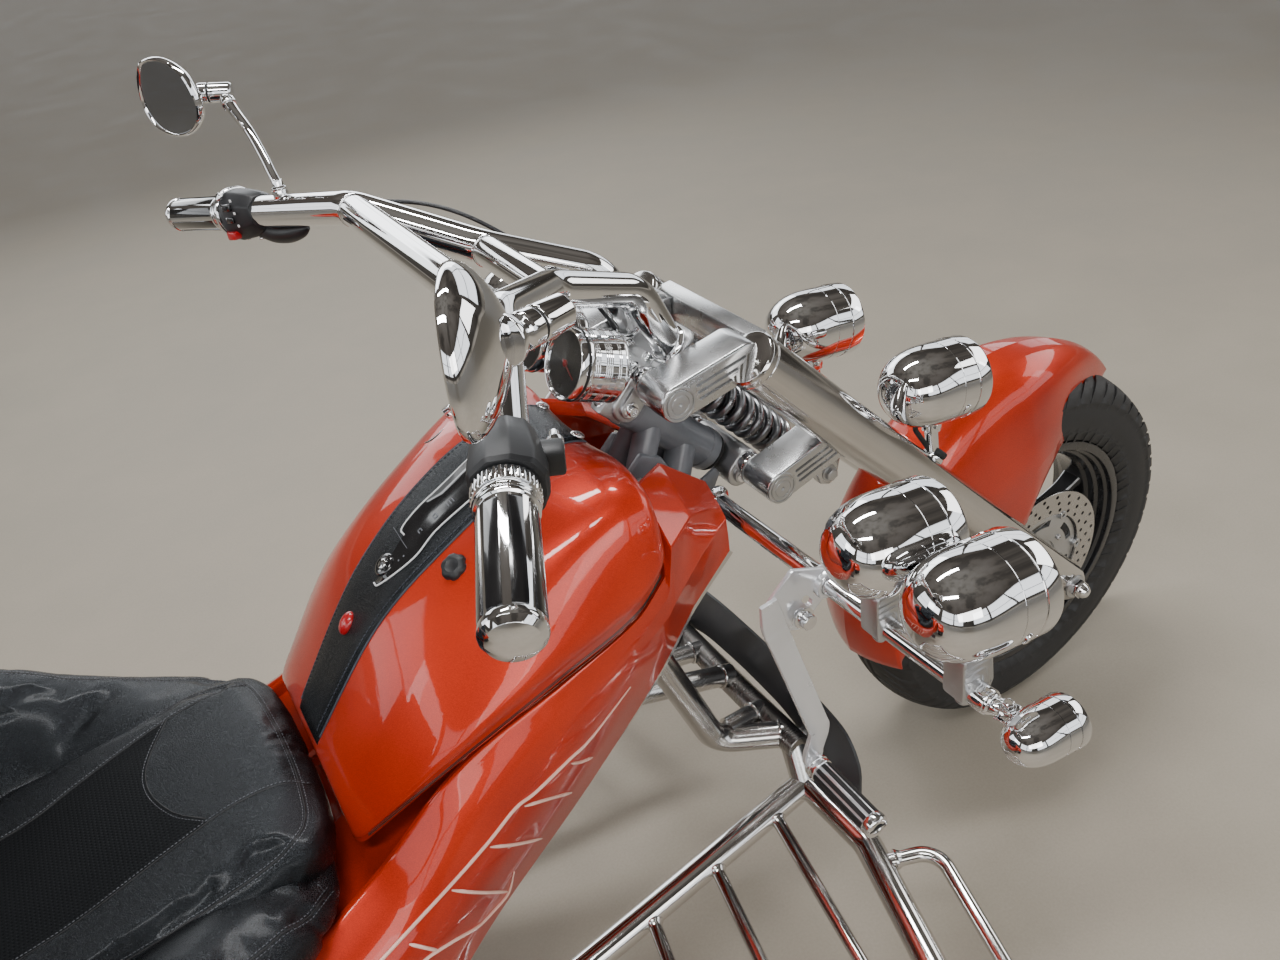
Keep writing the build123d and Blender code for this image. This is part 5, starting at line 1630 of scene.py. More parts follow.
def bullet_lamp(g, c, r, length, pitch=7.0, button=None, lens=3, amber=False):
    """chrome bullet with seams, rim, reflector and clear glass; returns its axis"""
    p = math.radians(pitch)
    d = Vector((math.cos(p), 0, -math.sin(p)))
    o = Vector(c) - d * (length * 0.5)
    k = length
    body = [(0, 0), (0.002 * k, r * 0.12), (0.012 * k, r * 0.30), (0.035 * k, r * 0.46), (0.07 * k, r * 0.60), (0.115 * k, r * 0.715),
            (0.17 * k, r * 0.81), (0.235 * k, r * 0.885), (0.31 * k, r * 0.942), (0.39 * k, r * 0.978), (0.47 * k, r * 0.995),
            (0.55 * k, r), (0.60 * k, r), (0.602 * k, r - 0.7), (0.611 * k, r - 0.7), (0.613 * k, r), (0.80 * k, r), (0.802 * k, r - 0.9),
            (0.812 * k, r - 0.9), (0.816 * k, r + 0.5), (0.95 * k, r + 0.5), (0.975 * k, r - 0.6), (0.985 * k, r - 2.4),
            (0.98 * k, r - 3.6), (0.95 * k, r - 4.0)]
    # reflector bowl inside, closed behind
    body += [(0.93 * k, r * 0.90), (0.84 * k, r * 0.80), (0.72 * k, r * 0.62), (0.62 * k, r * 0.36), (0.60 * k, 0)]
    n0 = len(g.f)
    lathe(g, body, o, d, 88, 0, 0.0)
    lathe(g, [(0.60 * k, 0), (0.60 * k, r * 0.16), (0.74 * k, r * 0.15), (0.77 * k, r * 0.08), (0.775 * k, 0)], o, d, 40, 2, 0.8)
    # domed glass
    lathe(g, [(0.955 * k, 0), (0.955 * k, r - 4.4), (0.972 * k, r - 4.6), (0.99 * k, r * 0.72), (1.004 * k, r * 0.4), (1.008 * k, 0)],
          o, d, 72, 4 if amber else lens, 0.0)
    if button:
        dd, sd, ud = basis(d, (0, 1, 0))
        e = Vector((0, button, -0.42)).normalized()
        e = (e - d * e.dot(d)).normalized()
        q = o + d * (0.7 * k) + e * (r - 0.6)
        path = [q + e * t for t in (0, 1.6, 2.4)]
        sec = circle(5.2, 24, 7.4)
        sweep(g, path, sec, 0, ref=d, size=lambda t: 1.0 if t < 0.6 else 0.72)
    return o, d


def headlamps():
    g = Geo()
    for s in (-1, 1):
        c = (-316, s * 118, 793)
        bullet_lamp(g, c, 52.5, 128, 7.0, button=s)
        f = fork_at(468, FORK_R + 1, s * FORK_Y)
        # foot on the tube: saddle, rubber ring, clevis with a cross bolt
        lathe(g, [(-4, 0), (-4, 15), (1.5, 15), (3, 13), (3, 0)], f, FRONT, 48, 0, 0.8)
        lathe(g, [(3, 0), (3, 14), (5, 15.4), (10, 15.4), (12, 13.5), (12, 0)], f, FRONT, 48, 5, 1.0)
        top = Vector((c[0] + 8, c[1], c[2] - 46))
        ax = (top - f).normalized()
        n = (top - f).length
        lathe(g, [(10, 0), (10, 9), (n - 26, 9), (n - 24, 7), (n - 24, 0)], f, ax, 36, 0, 0.8)
        base = f + ax * (n - 26)
        for k in (-1, 1):
            box(g, base + ax * 12 + Vector((0, k * 7.5, 0)), (16, 3.6, 24), (1, 0, 0.2), ax, 1.0, 0)
        box(g, base + ax * 12, (12, 11, 22), (1, 0, 0.2), ax, 1.0, 0)
        for k in (-1, 1):
            bolt(g, base + ax * 14 + Vector((0, k * 9.3, 0)), (0, k, 0), 5.2, 4.4, 0, washer=True)
        lathe(g, [(n - 8, 0), (n - 8, 10), (n - 4, 14), (n + 6, 14), (n + 6, 0)], f, ax, 40, 0, 1.0)
        # short sleeve for the lamp wire, into the housing's underside
        tube(g, [tuple(top + Vector((-20, 0, 6))), tuple(top + Vector((-26, 0, -12))), tuple(f + Vector((-8, 0, 14)))], 3.4, 12, 18, 5)
    piece("headlamps_bullet", g, [CHROME, STAINLESS, REFLECTOR, GLASS, AMBER, RUBBER], "steering", "headlamps", sharp=30)


headlamps()


def bar_group():
    g = Geo()
    for s in (-1, 1):
        a, b = other(BAR_A, s), other(BAR_B, s)
        d = (b - a).normalized()
        n = (b - a).length
        lathe(g, [(-2, 0), (-2, 11), (0, 12), (n - 1.5, 12), (n, 10.5), (n, 0)], a, d, 48, 0, 0.6)
        # end collar that carries the turn signal
        lathe(g, [(n - 22, 11), (n - 22, 13.4), (n - 4, 13.4), (n - 4, 11)], a, d, 48, 0, 0.8)
        # chromed flange at the panel
        lathe(g, [(4, 12), (4, 19), (8, 19), (10, 14.5), (16, 13.2), (16, 12)], a, d, 48, 0, 0.8)
    piece("lamp_bar_chromed", g, CHROME, "chassis", "lamp_bar", sharp=34)

    g = Geo()
    for s in (-1, 1):
        a, b = other(BAR_A, s), other(BAR_B, s)
        d = (b - a).normalized()
        for y in (355, 465):
            bullet_lamp(g, (-605, s * y, 823), 52.5, 128, 7.0, button=s)
            t = (y - 72) / (500 - 72)
            on = a.lerp(b, t)
            # rounded foot with long grooves, clamped round the bar
            foot = Geo()
            out = round_outline([(on.x - 15, on.z - 14), (on.x + 19, on.z - 14), (on.x + 25, on.z + 4), (on.x + 19, on.z + 50), (on.x - 18, on.z + 50)], 10, 5)
            slab_xz(foot, out, s * y - 14, s * y + 14, 3.0, 0, 3)
            cut = Geo()
            for k in (-1, 1):
                for q in (0, 8, 16):
                    line = [Vector((on.x - 20 + q * 0.2, s * y + k * 15.4, on.z + 36 - q)), Vector((on.x + 15 - q * 0.5, s * y + k * 15.4, on.z + 36 - q)),
                            Vector((on.x + 21 - q * 0.7, s * y + k * 15.4, on.z + 2))]
                    sweep(cut, bar_path(line, 6, 15.0), circle(2.3, 8))
            foot = carve(foot, cut, "lamp_foot")
            g.add(foot.v, foot.f, 1)
            bolt(g, (on.x, s * y, on.z - 19), (0, 0, -1), 5.5, 4.5, 1, hexed=False)
    piece("bar_lamps_bullet", g, [CHROME, ALLOY, REFLECTOR, GLASS, AMBER, DARK_STEEL], "chassis", "bar_lamps", sharp=30)

    g = Geo()
    for s in (-1, 1):
        c = Vector((-590, s * 545, 712))
        o, d = bullet_lamp(g, c, 26.5, 78, 7.0, lens=4, amber=True)
        b = other(BAR_B, s)
        m = Vector((-592, s * 522, 713))
        ax = (m - b).normalized()
        lathe(g, [(-2, 0), (-2, 8.5), (6, 8.5), (7, 7), (7, 0)], b, ax, 36, 0, 0.8)
        for k in (-1, 1):
            box(g, b + ax * 13 + Vector((0, 0, k * 6.6)), (20, 15, 3), ax, (0, 0, 1), 0.9, 0)
        box(g, b + ax * 20 + Vector((0, 0, 0)), (16, 13, 9.6), ax, (0, 0, 1), 1.0, 0)
        bolt(g, b + ax * 13 + Vector((0, 0, 8.2)), (0, 0, 1), 5.0, 4.6, 0)
        bolt(g, b + ax * 13 - Vector((0, 0, 8.2)), (0, 0, -1), 5.0, 4.2, 0)
    piece("turn_signals_bullet", g, [CHROME, STAINLESS, REFLECTOR, GLASS, AMBER], "chassis", "front_turn_signals", sharp=30)


bar_group()


# ------------------------------------------------------------- tank and side panels
# rows: x, then the half outline from the bottom edge up (y, z)
TANK = [(-1146, 148, 556, 152, 575, 120, 592, 80, 602, 36, 606), (-1030, 190, 644, 204, 684, 150, 724, 100, 742, 36, 750),
        (-900, 194, 690, 210, 742, 172, 806, 110, 834, 36, 836), (-800, 190, 722, 206, 772, 178, 850, 120, 870, 46, 871),
        (-756, 186, 764, 196, 798, 178, 847, 124, 866, 48, 858)]


def tank_section(x, inset=0.0):
    v = table(TANK, x)
    half = [(v[0], v[1]), (v[2], v[3]), (v[4], v[5]), (v[6], v[7]), (v[8], v[9]), (0.0, v[9] - 0.5)]
    # a point between bottom edge and widest place keeps the flank nearly straight
    half.insert(1, (v[0] + (v[2] - v[0]) * 0.62, v[1] + (v[3] - v[1]) * 0.45))
    pts = [Vector((0, y, z)) for y, z in half] + [Vector((0, -y, z)) for y, z in reversed(half[:-1])]
    line = curve_through(pts, 7)
    out = []
    for p in line:
        q = Vector((x, p.y, p.z))
        if inset:
            c = Vector((x, 0, (v[1] + v[9]) / 2))
            d = c - q
            q = q + d.normalized() * min(inset, d.length * 0.98)
        out.append(q)
    # the skin folds in below the seam
    a, b = out[0].copy(), out[-1].copy()
    lip0 = [Vector((x, a.y - 9, a.z - 3)), Vector((x, a.y - 2.4, a.z - 2.2))]
    lip1 = [Vector((x, b.y + 2.4, b.z - 2.2)), Vector((x, b.y + 9, b.z - 3))]
    return lip0 + out + lip1


def fuel_tank():
    g = Geo()
    rows = []
    R = 16.0
    for ins in (52.0, 30.0, 18.0):
        rows.append(tank_section(-756.0, ins))
    for k in range(7):
        w = math.pi / 2 * k / 6
        rows.append(tank_section(-756.0 - R * (1 - math.cos(w)), R * (1 - math.sin(w))))
    x = -780.0
    while x > -1131:
        rows.append(tank_section(x))
        x -= 7.5
    for k in range(7):
        w = math.pi / 2 * k / 6
        rows.append(tank_section(-1132.0 - 14 * math.sin(w), 13 * (1 - math.cos(w))))
    rows.append(tank_section(-1146.0, 24))
    skin(g, rows, 0, closed_v=True, cap0=True, cap1=True)
    n = len(rows[0])
    # two fine dark joints run along the flank above the bottom edge
    seams = Geo()
    for up, r in ((8.0, 0.9), (13.0, 0.7)):
        for col in (0, 1):
            path = []
            for row in rows[8:-7]:
                seg = row if col == 0 else list(reversed(row))
                acc, j = 0.0, 2
                while j < 12 and acc + (seg[j + 1] - seg[j]).length < up:
                    acc += (seg[j + 1] - seg[j]).length
                    j += 1
                t = (up - acc) / max(1e-6, (seg[j + 1] - seg[j]).length)
                path.append(seg[j].lerp(seg[j + 1], t))
            sweep(seams, path, circle(r, 8), 1)
    tree = BVHTree.FromPolygons([v.copy() for v in g.v], g.f)
    g.add(seams.v, seams.f, seams.m)
    piece("fuel_tank_shell", g, [ORANGE, GLOSS_BLACK], "chassis", "fuel_tank", sharp=28)
    return tree


TANK_TREE = fuel_tank()


def on_tank(x, y, lift=0.0):
    """point on the tank's top and the direction away from it there"""
    hit = TANK_TREE.ray_cast(Vector((x, y, 1200)), Vector((0, 0, -1)))
    p = hit[0] if hit[0] is not None else Vector((x, y, 700))
    h1 = TANK_TREE.ray_cast(Vector((x + 14, y, 1200)), Vector((0, 0, -1)))[0]
    h0 = TANK_TREE.ray_cast(Vector((x - 14, y, 1200)), Vector((0, 0, -1)))[0]
    hl = TANK_TREE.ray_cast(Vector((x, y + 8, 1200)), Vector((0, 0, -1)))[0]
    hr = TANK_TREE.ray_cast(Vector((x, y - 8, 1200)), Vector((0, 0, -1)))[0]
    dx = (h1 - h0) if h1 is not None and h0 is not None else Vector((1, 0, 0.2))
    dy = (hl - hr) if hl is not None and hr is not None else Vector((0, 1, 0))
    n = dx.cross(dy).normalized()
    if n.z < 0:
        n = -n
    return p + n * lift, n


STRIP_W = [(-1142, 37), (-1100, 42), (-1053, 48), (-1000, 56), (-955, 62), (-905, 64), (-860, 61), (-800, 56), (-770, 52), (-758, 49)]
MID = 3.0  # the strip's middle line
INLAY_R = [(-1020, -6), (-1016, -18), (-978, -38), (-946, -35), (-900, -40), (-868, -42)]
INLAY_L = [(-972, 4), (-970, 16), (-946, 20), (-915, 18), (-868, 20)]


def console():
    g = Geo()
    xs = [-758 - 6 * i for i in range(65) if -758 - 6 * i > -1142] + [-1142]
    cols = 25
    rows, edge = [], {1: [], -1: []}
    under = []
    for i, x in enumerate(xs):
        w = table(STRIP_W, x)[0]
        n0 = on_tank(x, 0)[1]
        n0 = Vector((n0.x, 0, n0.z)).normalized()
        end = min(1.0, min(i, len(xs) - 1 - i) / 2.0)
        row, low = [], []
        for k in range(cols):
            u = -1 + 2 * k / (cols - 1)
            y = w * math.sin(u * math.pi / 2)
            p, n = on_tank(x, y + MID)
            t = max(0.0, 1 - abs(y / w) ** 5) ** 0.5 * 5.6 * (0.35 + 0.65 * end) - 0.4
            row.append(p + n0 * t)
            low.append(p - n0 * 1.2)
        rows.append(row)
        under.append(low)
        for s in (1, -1):
            yy = s * w * 0.985
            edge[s].append(on_tank(x, yy + MID, 0.6)[0])
    ring = [r + list(reversed(l)) for r, l in zip(rows, under)]
    skin(g, ring, 0, closed_v=True, cap0=True, cap1=True)
    # blue-grey edge cord and a row of stitches inside it
    for s in (1, -1):
        sweep(g, edge[s][1:-1], circle(1.3, 10), 1)
        line = []
        for i, x in enumerate(xs[1:-1]):
            w = table(STRIP_W, x)[0]
            y = s * (w - 7)
            p, n = on_tank(x, y + MID)
            t = max(0.0, 1 - abs(y / w) ** 5) ** 0.5 * 5.6 - 0.3
            line.append((p + n * (t + 0.1), n))
        pts = resample([p for p, n in line], 84)
        for a, b in zip(pts[::1], pts[1::1]):
            m = (a + b) / 2
            dr = (b - a).normalized()
            ln = (b - a).length * 0.66
            n = TANK_TREE.find_nearest(m)[1]
            if n.z < 0:
                n = -n
            sweep(g, [m - dr * ln / 2 - n * 0.3, m - dr * ln * 0.28 + n * 0.25, m + dr * ln * 0.28 + n * 0.25, m + dr * ln / 2 - n * 0.3],
                  circle(0.55, 6), 1)

    def lift(x, y, h):
        w = table(STRIP_W, x)[0]
        p, n = on_tank(x, y + MID)
        t = max(0.0, 1 - min(1.0, abs(y / w)) ** 5) ** 0.5 * 5.6
        return p + Vector((n.x, 0, n.z)).normalized() * (t + h), n

    # gloss inlay: front to back between its two outlines
    rows = []
    for i in range(27):
        x = -868 - (1018 - 868) * i / 26
        yr = table([(a, b) for a, b in reversed(INLAY_R)][::-1], x)[0]
        yl = table([(a, b) for a, b in INLAY_L], x)[0] if x > -970 else 6 - 0.30 * (-970 - x)
        yl, yr = max(yl, yr + 6), yr
        row = [lift(x, yr + (yl - yr) * k / 8, 0.5)[0] for k in range(9)]
        low = [lift(x, yr + (yl - yr) * k / 8, -1.5)[0] for k in range(9)]
        rows.append(row + list(reversed(low)))
    skin(g, rows, 2, closed_v=True, cap0=True, cap1=True)
    for line, wd in ((INLAY_R, 1.0), (INLAY_L, 1.0)):
        pts = curve_through([lift(x, y, 0.6)[0] for x, y in line], 8)
        sweep(g, pts, circle(wd, 8), 3)
    pts = [lift(-976 - 0.15 * k, 30 - 5.2 * k, 0.4)[0] for k in range(10)]
    sweep(g, pts, circle(0.35, 6), 4)
    # small plain marks for the indicator lamps
    for x, y, w, h in ((-956, -14, 5.0, 1.4), (-959.5, -14, 5.0, 1.4), (-957.7, -10.6, 1.2, 4.6), (-936, -15, 7.0, 1.2), (-940, -15, 7.0, 1.2),
                       (-938, -11.6, 1.2, 4.6), (-938, -18.4, 1.2, 4.6), (-915, -17, 8.0, 1.2), (-918.4, -17, 8.0, 1.2), (-921.8, -17, 8.0, 1.2)):
        p, n = lift(x, y, 0.7)
        box(g, p, (h, w, 0.5), Vector((1, 0, 0)), n, 0.0, 4)
    for x, y in ((-984, -22), (-990, -20)):
        p, n = lift(x, y, 0.6)
        lathe(g, [(0, 0), (0, 1.1), (0.5, 1.1), (0.5, 0)], p, n, 14, 4, 0.0)
    # key switch and red oval button
    p, n = lift(-1003, -2, 0.0)
    lathe(g, [(-2, 0), (-2, 14.5), (1.6, 14.0), (3.2, 12.2), (3.8, 9.2), (2.8, 8.2), (2.8, 0)], p, n, 48, 2, 0.6)
    lathe(g, [(2.6, 0), (2.6, 6.4), (4.6, 6.0), (4.9, 5.2), (4.9, 0)], p, n, 36, 5, 0.4)
    box(g, p + n * 5.0, (7.0, 1.5, 0.7), Vector((0.75, -0.65, 0)), n, 0.1, 2)
    p, n = lift(-1060, 2, -1.0)
    dd, sd, ud = basis(n, (1, 0, 0))
    rows = []
    for k in range(9):
        w = math.pi / 2 * k / 8.6
        rows.append([p + n * (1.0 + 7.0 * math.sin(w)) + sd * (14.5 * math.cos(w) * math.cos(t)) + ud * (10.5 * math.cos(w) * math.sin(t))
                     for t in [2 * math.pi * i / 40 for i in range(40)]])
    skin(g, [[q - n * 3 for q in rows[0]]] + rows, 6, closed_v=True, cap0=True, cap1=True)
    # chrome dome screw at the front corner
    for y in (-43, 43):
        p, n = lift(-772, y, -0.5)
        lathe(g, [(0, 0), (0, 8.5), (1.2, 8.5), (3.2, 6.8), (4.8, 3.6), (5.3, 0)], p, n, 36, 5, 0.4)
    piece("tank_console_padded", g, [LEATHER, EDGE_CORD, GLOSS_BLACK, WHITE, THREAD, CHROME, RED], "chassis", "tank_console",
          sharp=40)


console()


def caps():
    g = Geo()
    o, d = Vector((-876, 130, 830)), Vector((-0.37, 0.38, 0.85)).normalized()
    lathe(g, [(-4, 0), (-4, 23.5), (4, 23.5), (6.5, 22), (8, 19.5), (8, 17.4), (2.5, 16.4), (2.5, 0)], o, d, 72, 0, 1.0, seg=3)
    lathe(g, [(2, 0), (2, 15.6), (4.6, 14.8), (5.4, 12.5), (5.4, 0)], o, d, 56, 1, 0.8)
    box(g, o + d * 6.4, (22, 5, 3.2), (1, 0, 0), d, 1.2, 1)
    hp = o + Vector((26, 10, 14))
    lathe(g, [(-3, 0), (-3, 6.4), (9, 6.0), (9, 0)], hp, d, 32, 0, 0.8)
    lathe(g, [(8.5, 0), (8.5, 7.6), (15, 7.6), (16, 6.4), (16, 0)], hp, d, 6, 0, 0.8)
    piece("fuel_cap_ringed", g, [CHROME, GLOSS_BLACK], "chassis", "fuel_cap", sharp=32)
    g = Geo()
    o, d = Vector((-950, -88, 797)), Vector((-0.45, -0.3, 0.84)).normalized()
    dd, sd, ud = basis(d)
    rows = []
    for t, r, amp in ((-2, 17.5, 0), (1.5, 17.5, 0), (2.4, 15.8, 0.2), (3.2, 15.8, 1.2), (11.8, 15.2, 1.6), (14.6, 13.6, 1.2), (16.2, 11.0, 0.4),
                      (16.8, 8.0, 0), (16.0, 6.6, 0), (15.8, 0.5, 0)):
        rows.append([o + dd * t + sd * (q * math.cos(w)) + ud * (q * math.sin(w)) for w, q in
                     [(2 * math.pi * i / 72, r - amp * (0.5 + 0.5 * math.cos(6 * 2 * math.pi * i / 72)) ** 2) for i in range(72)]])
    skin(g, rows, 0, closed_v=True, cap0=True, cap1=True)
    piece("choke_knob_grooved", g, BLACK, "chassis", "choke_knob", sharp=30)


caps()

# rows: x, bottom (y, z), crease (y, z), shoulder (y, z), top (y, z)
PANEL = [(-642, 136, 700, 133, 745, 122, 757, 94, 778), (-700, 140, 648, 164, 735, 152, 786, 96, 829),
         (-748, 145, 592, 182, 706, 187, 786, 128, 837), (-757, 146, 582, 182, 692, 187, 726, 188, 758),
         (-800, 150, 542, 185, 664, 190, 692, 190, 718), (-900, 166, 470, 206, 604, 205, 650, 193, 686), (-1030, 195, 400, 232, 524, 220, 594, 189, 640),
         (-1150, 226, 330, 256, 470, 228, 515, 186, 545), (-1400, 272, 250, 304, 420, 286, 456, 250, 480), (-1760, 360, 240, 392, 420, 354, 452, 300, 470)]
# raised lines on the panel along its relief steps, coloured pale as a painted highlight, as seen on the right side: (x,
# y, z)
HIGHLIGHT_RIDGE_LINES = [[(-807, -157, 594), (-878, -184, 578), (-914, -200, 582), (-962, -211, 574), (-988, -213, 569), (-1028, -219, 548), (-1088, -226, 520),
          (-1169, -236, 487), (-1260, -256, 462), (-1360, -284, 440), (-1460, -305, 428)],
         [(-910, -195, 569), (-895, -184, 551), (-875, -170, 532)], [(-978, -214, 566), (-945, -196, 536), (-911, -176, 502)],
         [(-1027, -222, 544), (-996, -205, 506), (-961, -186, 468)], [(-1079, -228, 520), (-1050, -214, 475), (-1017, -196, 427)],
         [(-1138, -238, 490), (-1127, -240, 477), (-1114, -243, 463)],
         [(-1003, -190, 445), (-1017, -196, 425), (-1038, -200, 416), (-1063, -214, 424), (-1090, -230, 446), (-1114, -243, 463), (-1131, -250, 470),
          (-1180, -262, 470), (-1260, -280, 452), (-1340, -300, 432)]]


def panel_at(x):
    rows = PANEL
    if x >= -757:
        for a, b in zip(rows, rows[1:]):
            if x >= b[0]:
                t = (x - a[0]) / (b[0] - a[0])
                return [p + (q - p) * t for p, q in zip(a[1:], b[1:])]
    low = sorted([r for r in rows if r[0] <= -757], key=lambda r: r[0])
    return table(low, x)


def side_panels():
    xs = [-642.0, -644.5] + [-650.0 - 6.25 * i for i in range(8)] + [-699.5, -700.5] + [-706.0 - 6.0 * i for i in range(7)] + [-747.0, -748.5, -752.0, -756.0]
    x = -760.0
    while x > -1760:
        xs.append(x)
        x -= 9.0
    xs.append(-1760.0)
    rows = []
    for x in xs:
        v = panel_at(x)
        b, m, q, t = Vector((v[0], v[1])), Vector((v[2], v[3])), Vector((v[4], v[5])), Vector((v[6], v[7]))
        w = 1.0 - smooth_steps(-900, -760, x)
        bow = Vector((1.6 * w + 0.4, 0))
        mid0 = b.lerp(m, 0.5) + bow * 2
        lip = t + Vector((-9, -12 - 6 * w))
        inner = 1.0 - smooth_steps(-1120, -990, x)
        lip2 = lip + Vector((-2 - (lip.x - 62) * 0.96 * inner, -4 - 4 * inner))
        pts = [b, mid0, m, q, t, lip, lip2]
        rad = {2: 2.2 + 26 * w, 3: 2.2 + 20 * w, 4: 2.0 + 5.0 * w}
        out = []
        for i, p in enumerate(pts):
            if i in rad:
                u, v2 = pts[i - 1] - p, pts[i + 1] - p
                tt = min(rad[i], u.length * 0.42, v2.length * 0.42)
                p0, p1 = p + u.normalized() * tt, p + v2.normalized() * tt
                for k in range(6):
                    f = k / 5
                    out.append(p0 * (1 - f) ** 2 + p * 2 * f * (1 - f) + p1 * f * f)
            else:
                out.append(p)
        # spans: bottom, flank, crease, shoulder, top edge, lip
        share = [4, 4, 1, 1, 1, 1, 1, 4, 1, 1, 1, 1, 1, 4, 1, 1, 1, 1, 1, 2, 4]
        fine = []
        for (p0, p1), n in zip(zip(out, out[1:]), share):
            fine += [p0.lerp(p1, k / n) for k in range(n)]
        fine.append(out[-1])
        rows.append((x, fine))
    even = [(x, [(q.x, q.y) for q in line]) for x, line in rows]
    g = Geo()
    rings = []
    for x, line in even:
        outer = [Vector((x, y, z)) for y, z in line]
        inner = [Vector((x, y - 4.2, z - 1.6)) for y, z in reversed(line)]
        rings.append(outer + inner)
    skin(g, rings, 0, closed_v=True, cap0=True, cap1=True)
    tree = BVHTree.FromPolygons([v.copy() for v in g.v], g.f)
    lines = Geo()
    for ln in HIGHLIGHT_RIDGE_LINES:
        # dropped on the outer skin from above and outside
        eye, on = Vector((-1167, 949, 1452)), []
        for p in curve_through([Vector((x, -y, z)) for x, y, z in ln], 6):
            hit, n, _, _ = tree.ray_cast(eye, (p - eye).normalized())
            if hit is not None and (hit - p).length < 60:
                on.append(hit + n * (0.9 if n.dot(eye - hit) > 0 else -0.9))
        sweep(lines, on, circle(2.0, 8), 1, size=lambda t: 0.45 + 0.55 * min(1.0, 8 * t, 8 * (1 - t)))
    g.add(lines.v, lines.f, lines.m)
    strip = [(-640, 131, 697), (-700, 135, 644), (-748, 140, 589), (-800, 145, 540), (-850, 151, 503)]
    sweep(g, curve_through([Vector(p) for p in strip], 5), rounded([(-1.3, -8), (1.3, -8), (1.3, 8), (-1.3, 8)], 1.0, 2, closed=True), 2,
          ref=(0, 1, 0), size=lambda t: 1.0 - 0.35 * t)
    g.mirror()
    piece("side_panels_shell", g, [ORANGE, RIDGE_PAINTED_HIGHLIGHT, STEEL_TUBE], "chassis", "side_panels", sharp=22)
    return tree


def resample_even(pts, n):
    """points evenly along a line, the same as resample"""
    return resample(pts, n)


PANEL_TREE = side_panels()


# ------------------------------------------------------------- frame
def frame_tubes():
    g = Geo()
    d = Vector((RAKE_DX, 0, RAKE_DZ))
    # head tube with machined cups at both ends
    lathe(g, [(16, 0), (16, 28), (30, 28), (31, 26.5), (155, 26.5), (156, 28), (170, 28), (170, 0)], steer_at(0), d, 64, 1, 1.0)
    for s in (-1, 1):
        tube(g, [tuple(steer_at(60, -8, s * 10)), (-790, s * 66, 600), (-1150, s * 120, 430), (-1500, s * 200, 330)], 17, 60, 32, 0)
        tube(g, [tuple(steer_at(120, -8, s * 10)), (-745, s * 92, 575), (-655, s * 82, 335), (-572, s * 130, 335)], 19, 40, 40, 0)
        tube(g, [(-636, s * 84, 348), (-570, s * 78, 340)], 15, 0, 32, 0)
        tube(g, [(-570, s * 148, 335), (-577, s * 180, 287)], 18, 0, 32, 0)
        tube(g, [(-1400, s * 177, 350), (-1510, s * 202, 228), (-2200, s * 240, 226), (-2900, s * 240, 226)], 21, 60, 36, 0)
        tube(g, [(-1500, s * 200, 330), (-1500, s * 200, 230)], 17, 0, 32, 0)
        box(g, (-1500, s * 200, 213.5), (70, 60, 37), bevel=3, mat=2)
        # gusset plates between head tube, down tube and cowl, and a darker one below
        slab_xz(g, [(-742, 690), (-596, 752), (-590, 742), (-640, 648), (-736, 604)], s * 44 - 2.5, s * 44 + 2.5, 1.0, 3)
        slab_xz(g, [(-735, 640), (-640, 668), (-628, 652), (-660, 560), (-728, 540)], s * 66 - 2, s * 66 + 2, 1.0, 2)
        # ripples of weld where tubes meet the lateral member
        for c, dr, r in (((-576, s * 127, 335), (0.87, s * 0.5, 0), 19.6), ((-588, s * 79.5, 342), (1, s * -0.1, -0.12), 15.8)):
            weld_bead(g, ring_path(c, dr, r, 40) + ring_path(c, dr, r, 40)[:1], 2.0, 0, 8)
    tube(g, [(-570, 0, 348), (-800, 0, 428), (-1160, 0, 428)], 16, 60, 32, 0)
    weld_bead(g, ring_path((-588, 0, 354), (-0.94, 0, 0.34), 16.6, 40) + ring_path((-588, 0, 354), (-0.94, 0, 0.34), 16.6, 40)[:1], 2.0, 0, 8)
    # the lateral member (radius 19) takes the darker tube: painted shade under the shield
    for pts, r in ((((-1150, -120, 430), (-1150, 120, 430)), 16), (((-1500, -200, 330), (-1500, 200, 330)), 17),
                   (((-2000, -232, 226), (-2000, 232, 226)), 17), (((-2880, -240, 226), (-2880, 240, 226)), 17),
                   (((-570, -165, 335), (-570, 165, 335)), 19)):
        lathe(g, [(0, 0), (0, r - 1), (1, r), ((Vector(pts[1]) - Vector(pts[0])).length - 1, r),
                  ((Vector(pts[1]) - Vector(pts[0])).length, r - 1), ((Vector(pts[1]) - Vector(pts[0])).length, 0)],
              pts[0], Vector(pts[1]) - Vector(pts[0]), 36, 4 if r == 19 else 0, 0.0)
    # the neck and what stands above the cowl's edge is painted grey
    for i, f in enumerate(g.f):
        c = sum((g.v[j] for j in f), Vector()) / len(f)
        if g.m[i] == 0 and c.z > 588 and c.x > -815:
            g.m[i] = 1
    # neck casting behind the steering head, with its bolts
    for s in (-1, 1):
        slab_xz(g, [(-760, 742), (-690, 806), (-664, 792), (-640, 742), (-690, 690), (-752, 700)], s * 26, s * 38, 4.0, 1)
        for x, z in ((-735, 738), (-700, 770), (-668, 756), (-700, 716)):
            bolt(g, (x, s * 38, z), (0, s, 0), 6.0, 4.5, 5)
    piece("frame_tubes", g, [STAINLESS, GREY_PAINT, DARK_STEEL, GREY_PAINT, TUBE_PAINTED_SHADE, ALLOY], "chassis", "frame", sharp=32)


# darker brushed tube for the lateral member: painted shade where it lies under the shield
TUBE_PAINTED_SHADE = bright("brushed_tube_painted_shade", (0.30, 0.29, 0.28), 0.22, 0.38, grain=(40.0, 900.0, 40.0))
frame_tubes()


